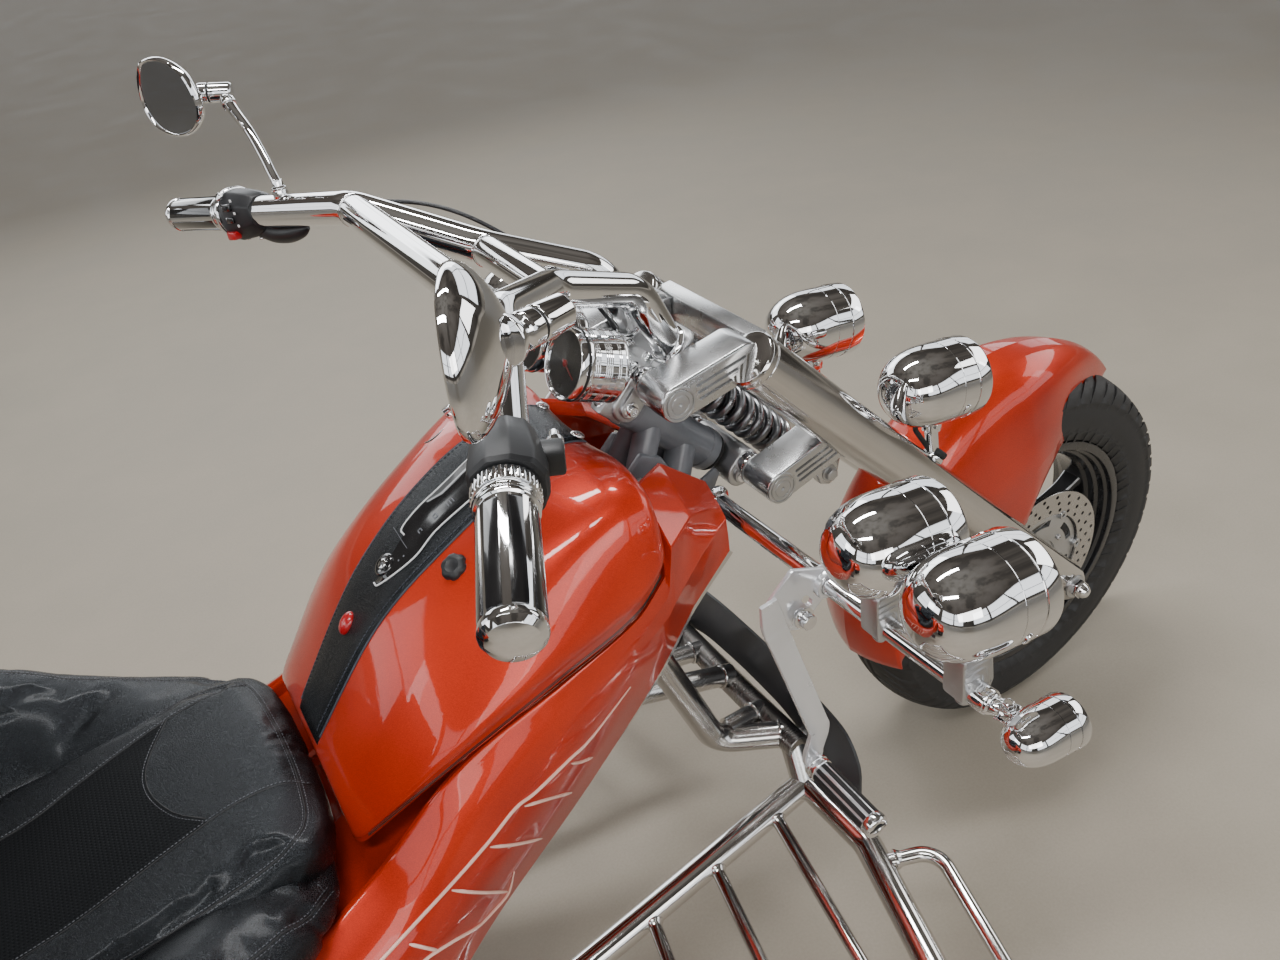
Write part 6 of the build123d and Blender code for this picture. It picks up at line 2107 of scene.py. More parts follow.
def rear_axle():
    g = Geo()
    lathe(g, [(-805, 0), (-805, 30), (-801, 34), (-620, 34), (-610, 46), (-560, 46), (-545, 36), (-120, 36), (-100, 58), (-80, 66), (80, 66), (100, 58),
              (120, 36), (545, 36), (560, 46), (610, 46), (620, 34), (801, 34), (805, 30), (805, 0)], (-WHEELBASE, 0, RW_R), (0, 1, 0), 64, 0, 2.0)
    for s in (-1, 1):
        lathe(g, [(560, 0), (560, 112), (566, 120), (604, 120), (610, 114), (610, 0)], (-WHEELBASE, 0, RW_R), (0, s, 0), 96, 1, 2.0)
        for i in range(5):
            a = 2 * math.pi * i / 5
            bolt(g, (-WHEELBASE + 56 * math.cos(a), s * 610, RW_R + 56 * math.sin(a)), (0, s, 0), 6, 4, 0)
    piece("rear_axle_beam", g, [DARK_STEEL, CAST], "chassis", "rear_axle", sharp=34)


rear_axle()

SHIELD = [(0, 350, 442), (45, 348.5, 441.5), (90, 345, 438), (122, 337, 434), (150, 326, 427), (186, 315, 422), (218, 306, 415),
          (236, 299, 405), (250, 295, 388), (259, 292, 368), (262, 291, 350)]


def shield():
    g = Geo()
    up = curve_through([(0, y, b) for y, a, b in SHIELD], 4)
    lo = curve_through([(0, y, a) for y, a, b in SHIELD], 4)
    rows = []
    half = list(zip(lo, up))
    both = [(Vector((0, -a.y, a.z)), Vector((0, -b.y, b.z))) for a, b in reversed(half)] + half[1:]
    for a, b in both:
        ring = []
        for x in (-548.0, -544.0):
            seg = [a.lerp(b, t) for t in (0.0, 0.04, 0.5, 0.96, 1.0)]
            bow = 1.0
            line = [Vector((x, p.y, p.z)) for p in seg]
            ring += line if x < -546 else list(reversed(line))
        rows.append(ring)
    skin(g, rows, 0, closed_v=True, cap0=True, cap1=True)
    for y in (-150, 150):
        bolt(g, (-544, y, 372), (1, 0, 0), 6.5, 4.0, 1, hexed=False)
        lathe(g, [(0, 0), (0, 9), (10, 9), (10, 0)], (-556, y, 340), (1, 0, 0), 24, 1, 0.6)
    piece("front_shield_plate", g, [DARK_STEEL, STAINLESS], "chassis", "front_shield", sharp=34)


shield()


def pedals():
    g = Geo()
    for s in (-1,):
        # bracket plate on the lamp bar with two long holes and the pivot bolt
        out = round_outline([(-688, 733), (-655, 762), (-607, 742), (-598, 712), (-615, 703), (-648, 676), (-686, 695)], 7, 4)
        plate = Geo()
        prism(plate, [(x, -z) for x, z in out][::-1], (0, -274, 0), (1, 0, 0), (0, 1, 0), 0, 6, 0.9, 0)
        cut = Geo()
        for cx, cz in ((-637, 712), (-621, 716)):
            prism(cut, [(x, -z) for x, z in stadium((cx - 3, cz + 4), (cx + 3, cz - 4), 4.6, 10)][::-1], (0, -280, 0), (1, 0, 0), (0, 1, 0), 0, 20)
        plate = carve(plate, cut, "pedal_plate")
        g.add(plate.v, plate.f, 0)
        # clamp over the bar
        a, b = other(BAR_A, s), other(BAR_B, s)
        c = a.lerp(b, (272 - 72) / 428)
        ring_form(g, [(-9, 12.2), (-9, 17.5), (9, 17.5), (9, 12.2)], c, b - a, 48, 0, 1.6, 2)
        # pivot: spacer and domed nut
        o = Vector((-648, -262, 699))
        lathe(g, [(0, 0), (0, 8), (13, 8), (13, 0)], o, (0, -1, 0), 32, 0, 0.6)
        lathe(g, [(19, 0), (19, 13), (21, 13), (21, 9.5), (22, 9.2), (30, 9.2), (31.5, 8), (31.5, 0)], o, (0, -1, 0), 40, 1, 0.5)
        # flat lever, cranked near its top and its foot
        line = [(-690, 738, -276), (-684, 700, -276.5), (-677, 676, -278), (-634, 534, -278), (-627, 507, -277.5), (-636, 476, -277), (-634, 452, -276)]
        pts = curve_through([(x, y, z) for x, z, y in line], 6)
        sec = rounded([(-14.5, -3.4), (14.5, -3.4), (14.5, 3.4), (-14.5, 3.4)], 1.4, 3, closed=True)
        sweep(g, pts, sec, 0, ref=(1, 0, 0.2), size=lambda t: 0.72 + 0.28 * min(1.0, 9 * t, 9 * (1 - t)))
        # foot peg: chromed core with black ribs let in, rings and slotted cap
        a, b = Vector((-632, -275, 449)), Vector((-630, -385, 441))
        ax = (b - a).normalized()
        n = (b - a).length
        dd, sd, ud = basis(ax)
        lathe(g, [(-4, 0), (-4, 12), (0, 15.5), (3, 16), (5, 16), (6, 14.4), (8, 14.4), (9, 16), (13, 16), (14, 14.8), (14, 0)], a, ax, 56, 1, 0.5)
        lathe(g, [(14, 0), (14, 13.2), (n - 12, 13.2), (n - 12, 0)], a, ax, 48, 0, 0.4)
        for i in range(9):
            t = 2 * math.pi * i / 9
            e = sd * math.cos(t) + ud * math.sin(t)
            sec = rounded([(-3.1, -1.5), (3.1, -1.5), (2.5, 1.7), (-2.5, 1.7)], 0.9, 2, closed=True)
            sweep(g, [a + ax * 15 + e * 13.6, a + ax * (n - 13) + e * 13.6], sec, 2, ref=dd.cross(e))
        lathe(g, [(n - 12, 0), (n - 12, 15.6), (n - 9, 16), (n - 2, 16), (n, 14.6), (n, 7), (n - 1.2, 6.4), (n - 1.2, 0)], a, ax, 56, 1, 0.5)
        box(g, a + ax * (n - 0.4), (24, 2.6, 1.6), ud, ax, 0.2, 2)
    g.mirror()
    piece("foot_pedals_polished", g, [ALLOY_BRIGHT, CHROME, RUBBER], "chassis", "foot_pedals", sharp=30)


ALLOY_BRIGHT = bright("polished_lever_alloy", (0.80, 0.815, 0.84), 0.16, 0.28, smudge=26.0, grain=(30.0, 500.0, 30.0), metal=0.62)
pedals()


# ------------------------------------------------------------- running boards
BOARD_IN = (Vector((-582, -182, 283)), Vector((-1080, -205, 190)))
BOARD_OUT = (Vector((-650, -580, 262)), Vector((-1185, -580, 172)))


def boards():
    g = Geo()
    tube(g, [(-575, -172, 285), (-568, -300, 274), (-650, -580, 262)], 19, 60, 44)
    tube(g, [tuple(BOARD_IN[0]), tuple(BOARD_IN[1])], 19, 0, 44)
    tube(g, [tuple(BOARD_OUT[0]), tuple(BOARD_OUT[1])], 19, 0, 44)
    tube(g, [tuple(BOARD_IN[1]), tuple(BOARD_OUT[1])], 19, 0, 44)
    for c in (BOARD_OUT[0], BOARD_OUT[1], BOARD_IN[1]):
        rows = []
        for k in range(1, 12):
            w = math.pi * k / 12
            rows.append([c + Vector((19.05 * math.sin(w) * math.cos(t), 19.05 * math.sin(w) * math.sin(t), 19.05 * math.cos(w)))
                         for t in [2 * math.pi * i / 40 for i in range(40)]])
        skin(g, rows, 0, closed_v=True, cap0=True, cap1=True)
    for f in (0.11, 0.32, 0.53, 0.74):
        a, b = BOARD_IN[0].lerp(BOARD_IN[1], f), BOARD_OUT[0].lerp(BOARD_OUT[1], f)
        tube(g, [tuple(a), tuple(b)], 9, 0, 28)
        d = (b - a).normalized()
        for c, s in ((a, 1), (b, -1)):
            # fillet of weld round the rod's foot
            lathe(g, [(16.5, 0), (16.5, 13.0), (19.0, 11.8), (20.8, 10.2), (22.5, 9.3), (23.5, 9.0), (23.5, 0)], c, d * s, 30, 0, 0.3)
    tube(g, [(-572, -336, 276), (-508, -366, 284), (-560, -552, 272), (-646, -562, 264)], 10, 34, 30)
    for c, d in (((-572, -336, 276), (0.905, -0.41, 0.11)), ((-646, -562, 264), (0.99, 0.11, 0.09))):
        lathe(g, [(15, 0), (15, 13.6), (18.5, 12.6), (21, 10.9), (23, 10.0), (23, 0)], c, d, 30, 0, 0.3)
    piece("running_board_right_tubes", g, STEEL_TUBE, "chassis", "running_board_right", sharp=38)
    piece("running_board_left_tubes", g.other_side(), STEEL_TUBE, "chassis", "running_board_left", sharp=38)

    g = Geo()
    for s in (-1,):
        lathe(g, [(0, 0), (0, 12), (110, 12), (110, 0)], (-1600, -240, 226), (0, -1, 0), 36, 0, 0.8)
        prism(g, round_outline([(-1700, -455), (-1500, -455), (-1500, -340), (-1700, -340)], 12, 5), (0, 0, 0), (1, 0, 0), (0, 0, 1), 218, 230, 1.5, 0)
        for i in range(11):
            for j in range(6):
                x, y = -1688 + 17.6 * i, -447 + 20.0 * j
                box(g, (x, y, 230.6), (11, 2.6, 2.0), Vector((1, 1 if (i + j) % 2 else -1, 0)), (0, 0, 1), 0.5, 0)
    g.mirror()
    piece("passenger_treadplates", g, DARK_STEEL, "chassis", "passenger_footboards", sharp=32)


boards()


# ------------------------------------------------------------- padded seats
def smoothed(rows, per):
    """rows of points joined smoothly from one to the next"""
    cols = [curve_through([r[k] for r in rows], per) for k in range(len(rows[0]))]
    return [[c[i] for c in cols] for i in range(len(cols[0]))]


def cushion(name, outline, top, base, roll=18.0, rings=5, cells=15.0):
    """stuffed form: closed outline (x, y), height fields top(x, y) and base(x, y), rolled edge"""
    pts = resample([Vector((x, y, 0)) for x, y in outline] + [Vector((outline[0][0], outline[0][1], 0))], int(sum(
        (Vector(a) - Vector(b)).length for a, b in zip(outline, outline[1:] + outline[:1])) / cells) + 1)[:-1]
    n = len(pts)
    cen = sum(pts, Vector()) / n

    def shrunk(t):
        out = []
        for i, p in enumerate(pts):
            d = (pts[(i + 1) % n] - pts[i - 1]).normalized()
            nrm = Vector((-d.y, d.x, 0))
            if nrm.dot(cen - p) < 0:
                nrm = -nrm
            out.append(p + nrm * t)
        return out
    rows = []
    for k in range(rings):
        w = math.pi / 2 * k / rings
        line = shrunk(roll * (1 - math.sin(w)))
        rows.append([Vector((p.x, p.y, base(p.x, p.y) + roll * (1 - math.cos(w)))) for p in line])
    line = shrunk(0)
    hs = 3
    for k in range(hs + 1):
        rows.append([Vector((p.x, p.y, (base(p.x, p.y) + roll) * (1 - k / hs) + (top(p.x, p.y) - roll) * k / hs)) for p in line])
    for k in range(1, rings + 1):
        w = math.pi / 2 * k / rings
        ln = shrunk(roll * (1 - math.cos(w)))
        rows.append([Vector((p.x, p.y, top(p.x, p.y) - roll * (1 - math.sin(w)))) for p in ln])
    inner = rows[-1]
    m = 12
    grid = []
    for j in range(1, m):
        f = j / m
        ring = []
        for p in inner:
            q = Vector((p.x, p.y, 0)).lerp(cen, f)
            ring.append(Vector((q.x, q.y, top(q.x, q.y))))
        grid.append(ring)
    rows += grid
    g = Geo()
    skin(g, rows, 0, closed_v=True, cap0=True)
    k0 = len(g.v) - n
    g.add([Vector((cen.x, cen.y, top(cen.x, cen.y)))], [], 0)
    c = len(g.v) - 1
    for i in range(n):
        g.f.append([k0 + i, k0 + (i + 1) % n, c])
        g.m.append(0)
    return g


def stuffed(g, name, mats, cap, node, voxel=0.005, pressure=4.0, keep=None):
    """cloth settled over its filling; cap = greatest outward move in metres"""
    me = to_mesh(g, name)
    for m in mats:
        me.materials.append(m)
    raw = link(bpy.data.objects.new(name, me))
    md = raw.modifiers.new("even", "REMESH")
    md.mode, md.voxel_size, md.use_smooth_shade = "VOXEL", voxel, True
    applied(raw)
    for i in range(2):
        sm = raw.modifiers.new("soft", "SMOOTH")
        sm.iterations, sm.factor = 4, 0.5
        applied(raw)
    rest = [v.co.copy() for v in raw.data.vertices]
    cl = raw.modifiers.new("cloth", "CLOTH")
    st = cl.settings
    st.quality = 5
    st.mass = 0.35
    st.tension_stiffness = 18.0
    st.compression_stiffness = 9.0
    st.shear_stiffness = 6.0
    st.bending_stiffness = 0.25
    st.use_pressure = True
    st.uniform_pressure_force = pressure
    st.effector_weights.gravity = 0.0
    st.shrink_min = -0.035
    cl.collision_settings.use_collision = False
    pins = raw.vertex_groups.new(name="held")
    lo = min(p.z for p in rest)
    for i, p in enumerate(rest):
        w = 1.0 if p.z < lo + 0.02 else (keep(W(p)) if keep else 0.0)
        if w > 0:
            pins.add([i], w, "REPLACE")
    st.vertex_group_mass = "held"
    st.pin_stiffness = 1.0
    for f in range(1, 21):
        bpy.context.scene.frame_set(f)
    applied(raw)
    bpy.context.scene.frame_set(1)
    for v, p in zip(raw.data.vertices, rest):
        d = v.co - p
        if d.length > cap:
            v.co = p + d * (cap / d.length)
    raw.data.update()
    sb = raw.modifiers.new("fine", "SUBSURF")
    sb.levels = sb.render_levels = 1
    applied(raw)
    o = raw
    o.data.polygons.foreach_set("use_smooth", [True] * len(o.data.polygons))
    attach(o, "chassis")
    if node:
        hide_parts(node)
    return o


def surface_of(o):
    me = o.data
    return BVHTree.FromPolygons([W(v.co) for v in me.vertices], [list(p.vertices) for p in me.polygons])


def drop(tree, pts, lift=0.0, axis=(0, 0, -1), start=400.0):
    """points brought down on a surface along an axis"""
    d = Vector(axis)
    out = []
    for p in pts:
        h = tree.ray_cast(Vector(p) - d * start, d)
        if h[0] is None:
            h = tree.find_nearest(Vector(p))
        out.append((h[0] + h[1] * lift, h[1]))
    return out


def seam(g, tree, pts, stitch=0, groove=1, both=False, gap=3.4, length=4.2, axis=(0, 0, -1), r=0.9, thick=0.42):
    """a sunk joint line with a row of stitches beside it (on both sides when asked)"""
    line = curve_through(pts, 10)
    total = sum((b - a).length for a, b in zip(line, line[1:]))
    line = resample(line, max(8, int(total / 5)))
    on = drop(tree, line, 0.0, axis)
    sweep(g, [p - n * (r * 0.35) for p, n in on], circle(r, 6), groove)
    cnt = max(2, int(total / length))
    for off in ((gap, -gap) if both else (gap,)):
        side = []
        for i, p in enumerate(line):
            d = (line[min(i + 1, len(line) - 1)] - line[max(i - 1, 0)]).normalized()
            s = Vector(axis).cross(d).normalized()
            side.append(p + s * off)
        fine = resample(side, cnt)
        on2 = drop(tree, fine, 0.0, axis)
        for (a, na), (b, nb) in zip(on2, on2[1:]):
            if (b - a).length > length * 2.2:
                continue
            d = (b - a) * 0.66
            m = (a + b) / 2
            n = (na + nb).normalized()
            sweep(g, [m - d / 2 - n * 0.25, m - d * 0.25 + n * 0.32, m + d * 0.25 + n * 0.32, m + d / 2 - n * 0.25], circle(thick, 5), stitch)


# driver's seat: wings on both sides and a nose cushion that laps over them
WING = [(-1760, 320, 740, 545), (-1600, 320, 700, 545), (-1500, 312, 676, 553), (-1430, 304, 650, 560), (-1360, 280, 616, 573), (-1300, 258, 594, 584),
        (-1240, 240, 580, 590), (-1200, 216, 571, 590), (-1172, 178, 565, 588)]


def wing_top(x, y):
    w, zt, zc = table(sorted(WING), x)
    a = abs(y)
    t = smooth_steps(w - 150, w - 34, a)
    fall = max(0.0, (a - (w - 34)) / 34.0)
    return zc - 12 + (zt - zc + 12) * t - 9 * min(1.0, fall) ** 2


def seat_base(x, y):
    return table([(-1760, 490), (-1600, 490), (-1430, 494), (-1300, 510), (-1200, 532), (-1160, 540)], x)[0]


def nose_top(x, y):
    z = table([(-1760, 556), (-1600, 556), (-1430, 572), (-1330, 589), (-1260, 600), (-1210, 604), (-1175, 602)], x)[0]
    a = abs(y) / 165.0
    return z + 3.0 * (1 - a * a) + 5.0 * smooth_steps(0.55, 0.95, a)


def driver_seat():
    half = [(-1166, 60), (-1168, 120), (-1174, 166), (-1188, 198), (-1218, 228), (-1290, 256), (-1370, 280), (-1430, 300), (-1520, 314), (-1620, 320), (-1744, 320)]
    out = [(-1166, 0)] + half
    out = out + [(x, -y) for x, y in reversed(half)]
    fine = [(p.x, p.y) for p in curve_through([Vector((x, y, 0)) for x, y in out + [out[0]]], 4)][:-1]
    wings = cushion("driver_seat_wings", fine, wing_top, seat_base, roll=20.0)
    lower = stuffed(wings, "driver_seat_wings", [LEATHER, THREAD, EDGE_CORD], 0.008, "driver_seat", 0.006, 2.2)
    half = [(-1158, 40), (-1160, 90), (-1167, 128), (-1192, 160), (-1250, 172), (-1330, 172), (-1430, 168), (-1560, 178), (-1700, 190), (-1745, 190)]
    out = [(-1157, 0)] + half + [(x, -y) for x, y in reversed(half)]
    fine = [(p.x, p.y) for p in curve_through([Vector((x, y, 0)) for x, y in out + [out[0]]], 4)][:-1]
    nose = cushion("driver_seat_nose", fine, nose_top, lambda x, y: max(seat_base(x, y) + 10, nose_top(x, y) - 62), roll=15.0)
    upper = stuffed(nose, "driver_seat_nose", [LEATHER, THREAD, EDGE_CORD], 0.009, None, 0.005, 3.0)
    tl, tu = surface_of(lower), surface_of(upper)
    # the middle panel behind the curved seam is punched leather
    me = upper.data
    me.materials.append(PUNCHED)
    k = len(me.materials) - 1
    arc = [(-1280, 121), (-1305, 84), (-1318, 50), (-1316, 13), (-1298, -31), (-1271, -62)]

    def arc_x(y):
        pts = sorted([(b, a) for a, b in arc])
        return table([(p[0], p[1]) for p in pts], y)[0]
    for p in me.polygons:
        c = W(p.center)
        if p.normal.z < 0.45:
            continue
        left = table([(-1745, 84), (-1460, 84), (-1388, 100), (-1280, 120), (-1187, 126)], c.x)[0]
        right = table([(-1745, -94), (-1439, -92), (-1314, -76), (-1242, -66), (-1164, -68)], c.x)[0]
        if right < c.y < left and c.x < arc_x(max(-62, min(121, c.y))):
            p.material_index = k
    g = Geo()
    seam(g, tu, [(-1187, 124, 700), (-1280, 120, 700), (-1388, 101, 700), (-1460, 84, 700), (-1600, 84, 700), (-1735, 84, 700)], 0, 1)
    seam(g, tu, [(-1164, -68, 700), (-1242, -65, 700), (-1314, -75, 700), (-1439, -92, 700), (-1600, -94, 700), (-1735, -94, 700)], 0, 1)
    seam(g, tu, [(x, y, 700) for x, y in arc], 0, 1)
    # doubled seam round the top edge of the cushion
    rim = [(-1735, 172), (-1560, 164), (-1430, 154), (-1330, 158), (-1252, 156), (-1206, 143), (-1184, 118), (-1176, 60), (-1173, 0), (-1174, -60), (-1182, -118),
           (-1204, -144), (-1250, -157), (-1330, -159), (-1430, -155), (-1560, -165), (-1735, -173)]
    seam(g, tu, [(x, y, 700) for x, y in rim], 0, 1, both=True, gap=2.6)
    # piping over the wings' upper edge
    for s in (1, -1):
        edge = [(-1186, 178), (-1216, 206), (-1290, 238), (-1370, 262), (-1430, 282), (-1520, 296), (-1620, 302), (-1735, 302)]
        seam(g, tl, [(x, s * y, 800) for x, y in edge], 0, 1, both=True, gap=2.6)
    piece("driver_seat_stitching", g, [THREAD, EDGE_DARK], "chassis", (), sharp=0)


EDGE_DARK = plastic("seam_shadow_leather", (0.004, 0.004, 0.0045), (0.008, 0.008, 0.009), 0.5, 0.7, 900.0, 0.2)
driver_seat()


def pad(name, node, body_pts, half, thick_dir, mats=None, cap=0.012, panels=3, roll=26.0, crown=10.0):
    """upright or flat pad: quadrilateral side view (x, z) between -half and half, edges rolled"""
    a, b, c, d = [Vector((x, 0, z)) for x, z in body_pts]  # front/bottom, front/top, rear/top, rear/bottom
    long_ax = (b - a)
    n1, n2 = 18, 26
    rows = []
    face0 = lambda t: a.lerp(b, t)
    face1 = lambda t: d.lerp(c, t)

    def loop(t, inset):
        p0, p1 = face0(t), face1(t)
        th = (p1 - p0)
        u = th.normalized()
        h = th.length
        r = min(roll, h / 2 - 1)
        hw = half - inset
        sec = rounded([(-hw, inset * 0.8), (hw, inset * 0.8), (hw, h - inset * 0.8), (-hw, h - inset * 0.8)], r, 6, closed=True)
        pts = resample([Vector((y, v, 0)) for y, v in sec] + [Vector((sec[0][0], sec[0][1], 0))], 120)[:-1]
        return [p0 + u * q.y + Vector((0, q.x, 0)) for q in pts]
    L = long_ax.length
    for k in range(5):
        w = math.pi / 2 * k / 5
        rows.append(loop(roll * (1 - math.cos(w)) * 0.9 / L, roll * (1 - math.sin(w))))
    for k in range(n1 + 1):
        rows.append(loop(roll / L + (1 - 2 * roll / L) * k / n1, 0.0))
    for k in range(1, 6):
        w = math.pi / 2 * k / 5
        rows.append(loop(1 - roll * (1 - math.sin(w)) * 0.9 / L, roll * (1 - math.cos(w))))
    g = Geo()
    skin(g, rows, 0, closed_v=True, cap0=True, cap1=True)
    return stuffed(g, name, mats or [LEATHER], cap, node, 0.008, 2.6)


def pad_seams(name, tree, lines, axis):
    g = Geo()
    for ln in lines:
        seam(g, tree, ln, 0, 1, both=True, gap=2.8, length=5.0, axis=axis)
    piece(name, g, [THREAD, EDGE_DARK], "chassis", (), sharp=0)


def other_seats():
    o = pad("driver_backrest_padded", "driver_backrest", [(-1762, 566), (-1852, 924), (-1934, 912), (-1846, 566)], 262, 1)
    t = surface_of(o)
    lines = []
    for s in (1, -1):
        lines.append([(-1775 - 90 * k / 6, s * (150 - 8 * math.sin(math.pi * k / 6)), 600 + 290 * k / 6) for k in range(7)])
    lines.append([(-1862, y, 870) for y in (-142, -70, 0, 70, 142)])
    lines.append([(-1790, y, 640) for y in (-142, -70, 0, 70, 142)])
    pad_seams("driver_backrest_stitching", t, lines, (-0.97, 0, -0.24))
    o = pad("passenger_seat_padded", "passenger_seat", [(-1984, 776), (-2476, 774), (-2476, 846), (-1992, 852)], 326, 1, roll=24.0)
    t = surface_of(o)
    lines = [[(x, s * 170, 900) for x in (-2010, -2120, -2240, -2360, -2460)] for s in (1, -1)]
    lines.append([(-2060, y, 900) for y in (-160, -80, 0, 80, 160)])
    lines.append([(x, y, 900) for x, y in ((-2010, -300), (-2010, 0), (-2010, 300))])
    pad_seams("passenger_seat_stitching", t, lines, (0, 0, -1))
    o = pad("passenger_backrest_padded", "passenger_backrest", [(-2490, 864), (-2572, 1204), (-2646, 1196), (-2578, 864)], 326, 1)
    t = surface_of(o)
    lines = []
    for s in (1, -1):
        lines.append([(-2500 - 70 * k / 6, s * 180, 900 + 270 * k / 6) for k in range(7)])
    lines.append([(-2560, y, 1140) for y in (-172, -80, 0, 80, 172)])
    pad_seams("passenger_backrest_stitching", t, lines, (-0.97, 0, -0.24))


other_seats()


# ------------------------------------------------------------- rear body
REAR = [(-3180, 520, 430, 740), (-3050, 570, 380, 780), (-2700, 590, 330, 762), (-2250, 590, 300, 762), (-2010, 480, 260, 735), (-1840, 400, 250, 480)]


def rear_body():
    g = Geo()
    xs = [-1840 - 14.0 * i for i in range(96) if -1840 - 14.0 * i > -3178] + [-3180]
    outer, inner = [], []
    for x in xs:
        w, zb, zt = table(REAR, x)
        w, zt = min(w, 590.0), min(zt, 781.0)
        cut = 60.0
        sec = rounded([(-w, zb), (-w, zt - cut), (-w + cut * 0.9, zt), (w - cut * 0.9, zt), (w, zt - cut), (w, zb)], 26, 5)
        pts = [Vector((x, y, z)) for y, z in sec]
        outer.append(resample(pts, 120))
        sec = rounded([(-w + 6, zb), (-w + 6, zt - cut - 3), (-w + cut * 0.9 + 3, zt - 6), (w - cut * 0.9 - 3, zt - 6), (w - 6, zt - cut - 3), (w - 6, zb)], 22, 5)
        inner.append(resample([Vector((x, y, z)) for y, z in sec], 120))
    rings = [o + list(reversed(i)) for o, i in zip(outer, inner)]
    skin(g, rings, 0, closed_v=True, cap0=True, cap1=True)
    # front and rear walls close the shell
    for x, x1 in ((-1840.0, -1846.0), (-3180.0, -3174.0)):
        w, zb, zt = table(REAR, x)
        sec = rounded([(-w + 3, zb), (-w + 3, zt - 62), (-w + 56, zt - 3), (w - 56, zt - 3), (w - 3, zt - 62), (w - 3, zb)], 24, 5)
        a = [Vector((x, y, z)) for y, z in sec]
        b = [Vector((x1, y, z)) for y, z in sec]
        skin(g, [a, b], 0, closed_v=True, cap0=True, cap1=True)
    cut = Geo()
    for s in (-1, 1):
        lathe(cut, [(500, 0), (500, 142), (700, 142), (700, 0)], (-WHEELBASE, 0, RW_R), (0, s, 0), 96, 0, 0)
        box(cut, (-WHEELBASE, s * 600, 240), (284, 200, 196), bevel=0)
    body = carve(g, cut, "rear_body")
    n = len(body.f)
    out = Geo()
    out.add(body.v, body.f, 0)
    # rolled bead round each axle opening, panel joints and a boot lid handle
    # the beads take the darker orange copy: painted shade
    for s in (-1, 1):
        path = []
        for k in range(41):
            a = math.pi * k / 40
            path.append(Vector((-WHEELBASE + 142 * math.cos(a), s * 588, RW_R + 142 * math.sin(a))))
        sweep(out, path, circle(4.0, 10), 1)
    for x in (-2520, -2980):
        w, zb, zt = table(REAR, x)
        w, zt = min(w, 590.0), min(zt, 781.0)
        sec = rounded([(-w, zb + 60), (-w, zt - 60), (-w + 54, zt), (w - 54, zt), (w, zt - 60), (w, zb + 60)], 26, 5)
        pts = resample([Vector((x, y, z)) for y, z in sec], 150)
        sweep(out, pts, circle(1.4, 8), 2)
    w, zb, zt = table(REAR, -3180)
    tube(out, [(-3180, -90, 690), (-3196, -90, 690), (-3196, 90, 690), (-3180, 90, 690)], 6, 14, 20, 3)
    for y in (-330, 330):
        box(out, (-3183, y, 500), (8, 190, 4), bevel=1.0, mat=2)
    piece("rear_body_shell", out, [ORANGE, ORANGE_PAINTED_SHADE, GLOSS_BLACK, CHROME], "chassis", "rear_body", sharp=30)


rear_body()


def rear_fenders():
    g = Geo()
    # section: distance from the axle, y; the skin curves down to an outer lip
    sec = rounded([(372, 602), (378, 602), (380, 760), (378, 900), (360, 932), (301, 937.5), (301, 931), (354, 925), (370, 893), (372, 760)], 10, 4, closed=True)
    a0, a1 = math.asin(42 / 380.0), math.pi - math.asin(42 / 380.0)
    rows = []
    m = 88
    for i in range(m + 1):
        a = a0 + (a1 - a0) * i / m
        row = []
        for r, y in sec:
            z = RW_R + r * math.sin(a)
            row.append(Vector((-WHEELBASE + r * math.cos(a), y, max(z, 378.5))))
        rows.append(row)
    skin(g, rows, 0, closed_v=True, cap0=True, cap1=True)
    # beading along the outer edge and three bolts on the crown
    path = [Vector((-WHEELBASE + 301 * math.cos(a0 + (a1 - a0) * i / m), 934.2, max(382.0, RW_R + 301 * math.sin(a0 + (a1 - a0) * i / m)))) for i in range(m + 1)]
    # the bead takes the darker orange copy: painted shade
    sweep(g, path, circle(3.4, 10), 1)
    for i in range(3):
        a = math.radians(50 + 40 * i)
        bolt(g, (-WHEELBASE + 371 * math.cos(a), 620, RW_R + 371 * math.sin(a)), (-math.cos(a), 0, -math.sin(a)), 6, 4, 2)
    g.mirror()
    piece("rear_fenders_skin", g, [ORANGE, ORANGE_PAINTED_SHADE, STAINLESS], "chassis", "rear_fenders", sharp=32)


rear_fenders()


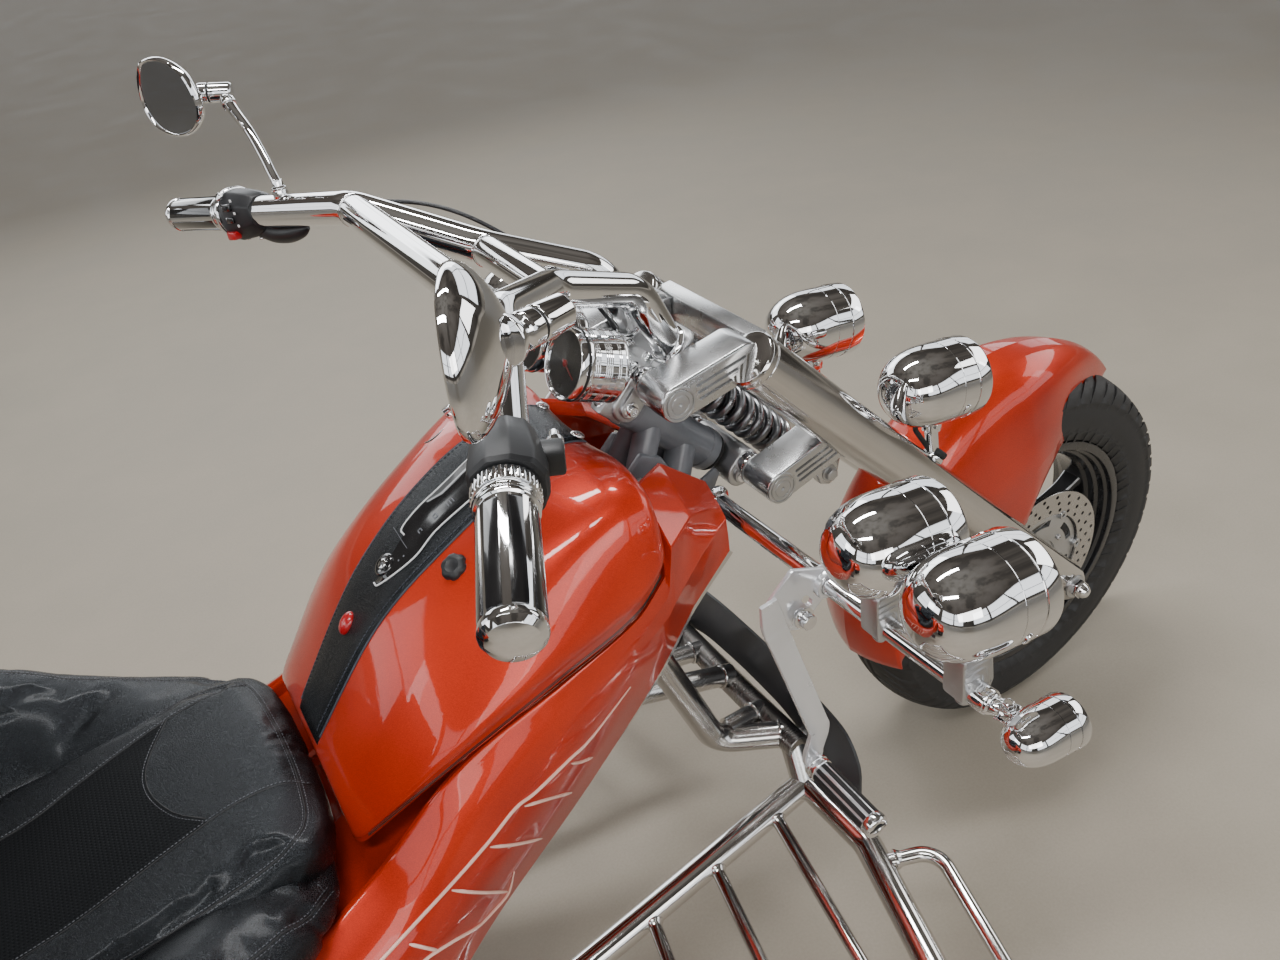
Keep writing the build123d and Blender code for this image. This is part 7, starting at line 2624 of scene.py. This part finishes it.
def rear_fittings():
    # plain engine block with cast ribs and a sump
    g = Geo()
    def slab(x0, x1, y0, y1, z0, z1, r=6, mat=0):
        box(g, ((x0 + x1) / 2, (y0 + y1) / 2, (z0 + z1) / 2), (x1 - x0, y1 - y0, z1 - z0), bevel=r, mat=mat, seg=3)
    slab(-3040, -2580, -300, 300, 330, 600, 20)
    slab(-3000, -2620, -220, 220, 248, 334, 14)
    slab(-2990, -2630, -150, 150, 596, 640, 10)
    for i in range(9):
        x = -3010 + 50 * i
        for s in (-1, 1):
            slab(x - 6, x + 6, s * 296 - 4, s * 296 + 4, 360, 580, 2.5)
    for i in range(6):
        y = -250 + 100 * i
        slab(-3044 + 4, -3032, y - 6, y + 6, 360, 580, 2.5)
    piece("engine_block_cast", g, ENGINE, "chassis", "engine_block", sharp=32)

    g = Geo()
    for s in (-1, 1):
        prof = [(0, 0), (0, 24), (40, 30), (60, 38), (520, 38), (524, 37), (528, 38), (530, 35.5), (529, 33.5), (470, 33), (470, 0)]
        lathe(g, prof, (-2700, s * 340, 250), (-1, 0, 0), 64, 0, 1.2)
        for x in (-2790, -3140):
            ring_form(g, [(-8, 38), (-8, 40.4), (8, 40.4), (8, 38)], (x, s * 340, 250), (1, 0, 0), 56, 1, 0.8)
    piece("exhausts_chromed", g, [CHROME, STAINLESS], "chassis", "exhausts", sharp=34)

    g = Geo()
    for s in (-1, 1):
        box(g, (-3200, s * 430, 600), (28, 140, 80), bevel=8, mat=0, seg=4)
        box(g, (-3187, s * 430, 600), (10, 146, 86), bevel=4, mat=1, seg=2)
        for k in range(6):
            box(g, (-3214.2, s * 430, 570 + 12 * k), (1.8, 126, 3.4), bevel=0.8, mat=0)
    piece("tail_lights_lens", g, [RED_LENS, CHROME], "chassis", "tail_lights", sharp=34)

    g = Geo()
    plate = Geo()
    prism(plate, round_outline([(-140, -70), (140, -70), (140, 70), (-140, 70)], 12, 5), (-3206, 0, 490), (0, 1, 0), (1, 0, 0), 0, 6, 1.0, 0)
    cut = Geo()
    for y in (-85, 85):
        for z in (440, 540):
            lathe(cut, [(-10, 0), (-10, 3.0), (20, 3.0), (20, 0)], (-3210, y, z), (1, 0, 0), 24, 0, 0)
    plate = carve(plate, cut, "plate_holder")
    g.add(plate.v, plate.f, 0)
    for z in (423, 557):
        box(g, (-3207, 0, z), (4, 250, 4), bevel=1.2, mat=0)
    piece("plate_holder_frame", g, [SATIN_BLACK], "chassis", "plate_holder", sharp=34)

    g = Geo()
    tube(g, [(-3100, -420, 360), (-3225, -420, 360), (-3225, 420, 360), (-3100, 420, 360)], 25, 60, 48)
    for s in (-1, 1):
        box(g, (-3140, s * 300, 385), (60, 8, 60), bevel=2, mat=1)
        bolt(g, (-3140, s * 304.5, 390), (0, s, 0), 7, 5, 1)
    piece("rear_bumper_tube", g, [CHROME, DARK_STEEL], "chassis", "rear_bumper", sharp=36)


rear_fittings()
# ------------------------------------------------------------- lighter meshes
# piece, share of its triangles that stays, or above 1 the number that stays
LIGHTER = [("driver_seat_wings", 64000), ("driver_seat_nose", 54000), ("passenger_seat_padded", 26000), ("passenger_backrest_padded", 20000),
           ("driver_backrest_padded", 18000), ("driver_seat_stitching", 0.40), ("passenger_seat_stitching", 0.40), ("driver_backrest_stitching", 0.5),
           ("passenger_backrest_stitching", 0.5), ("gauges_ringed", 0.55), ("rear_body_shell", 0.42), ("rear_tyre_treaded_left", 0.6),
           ("rear_tyre_treaded_right", 0.6), ("front_tyre_treaded", 0.75), ("rear_rim_detailed_left", 0.55), ("rear_rim_detailed_right", 0.55),
           ("rear_fenders_skin", 0.6), ("tank_console_padded", 0.6), ("rear_axle_beam", 0.6)]


def lighter(name, keep):
    """fewer triangles, with the borders between two materials left as they are"""
    o = bpy.data.objects.get(name)
    if o is None:
        print("no piece named", name)
        return
    first, border = {}, set()
    for f in o.data.polygons:
        for v in f.vertices:
            if first.setdefault(v, f.material_index) != f.material_index:
                border.add(v)
    md = o.modifiers.new("lighter", "DECIMATE")
    tris = sum(len(f.vertices) - 2 for f in o.data.polygons)
    md.ratio = keep if keep <= 1 else min(1.0, keep / tris)
    if border:
        vg = o.vertex_groups.new(name="field")
        vg.add([v for v in range(len(o.data.vertices)) if v not in border], 1.0, "REPLACE")
        md.vertex_group, md.vertex_group_factor = "field", 1.0
    applied(o)
    o.vertex_groups.clear()
    print("lighter", name, tris, sum(len(f.vertices) - 2 for f in o.data.polygons))


for row in LIGHTER:
    lighter(*row)
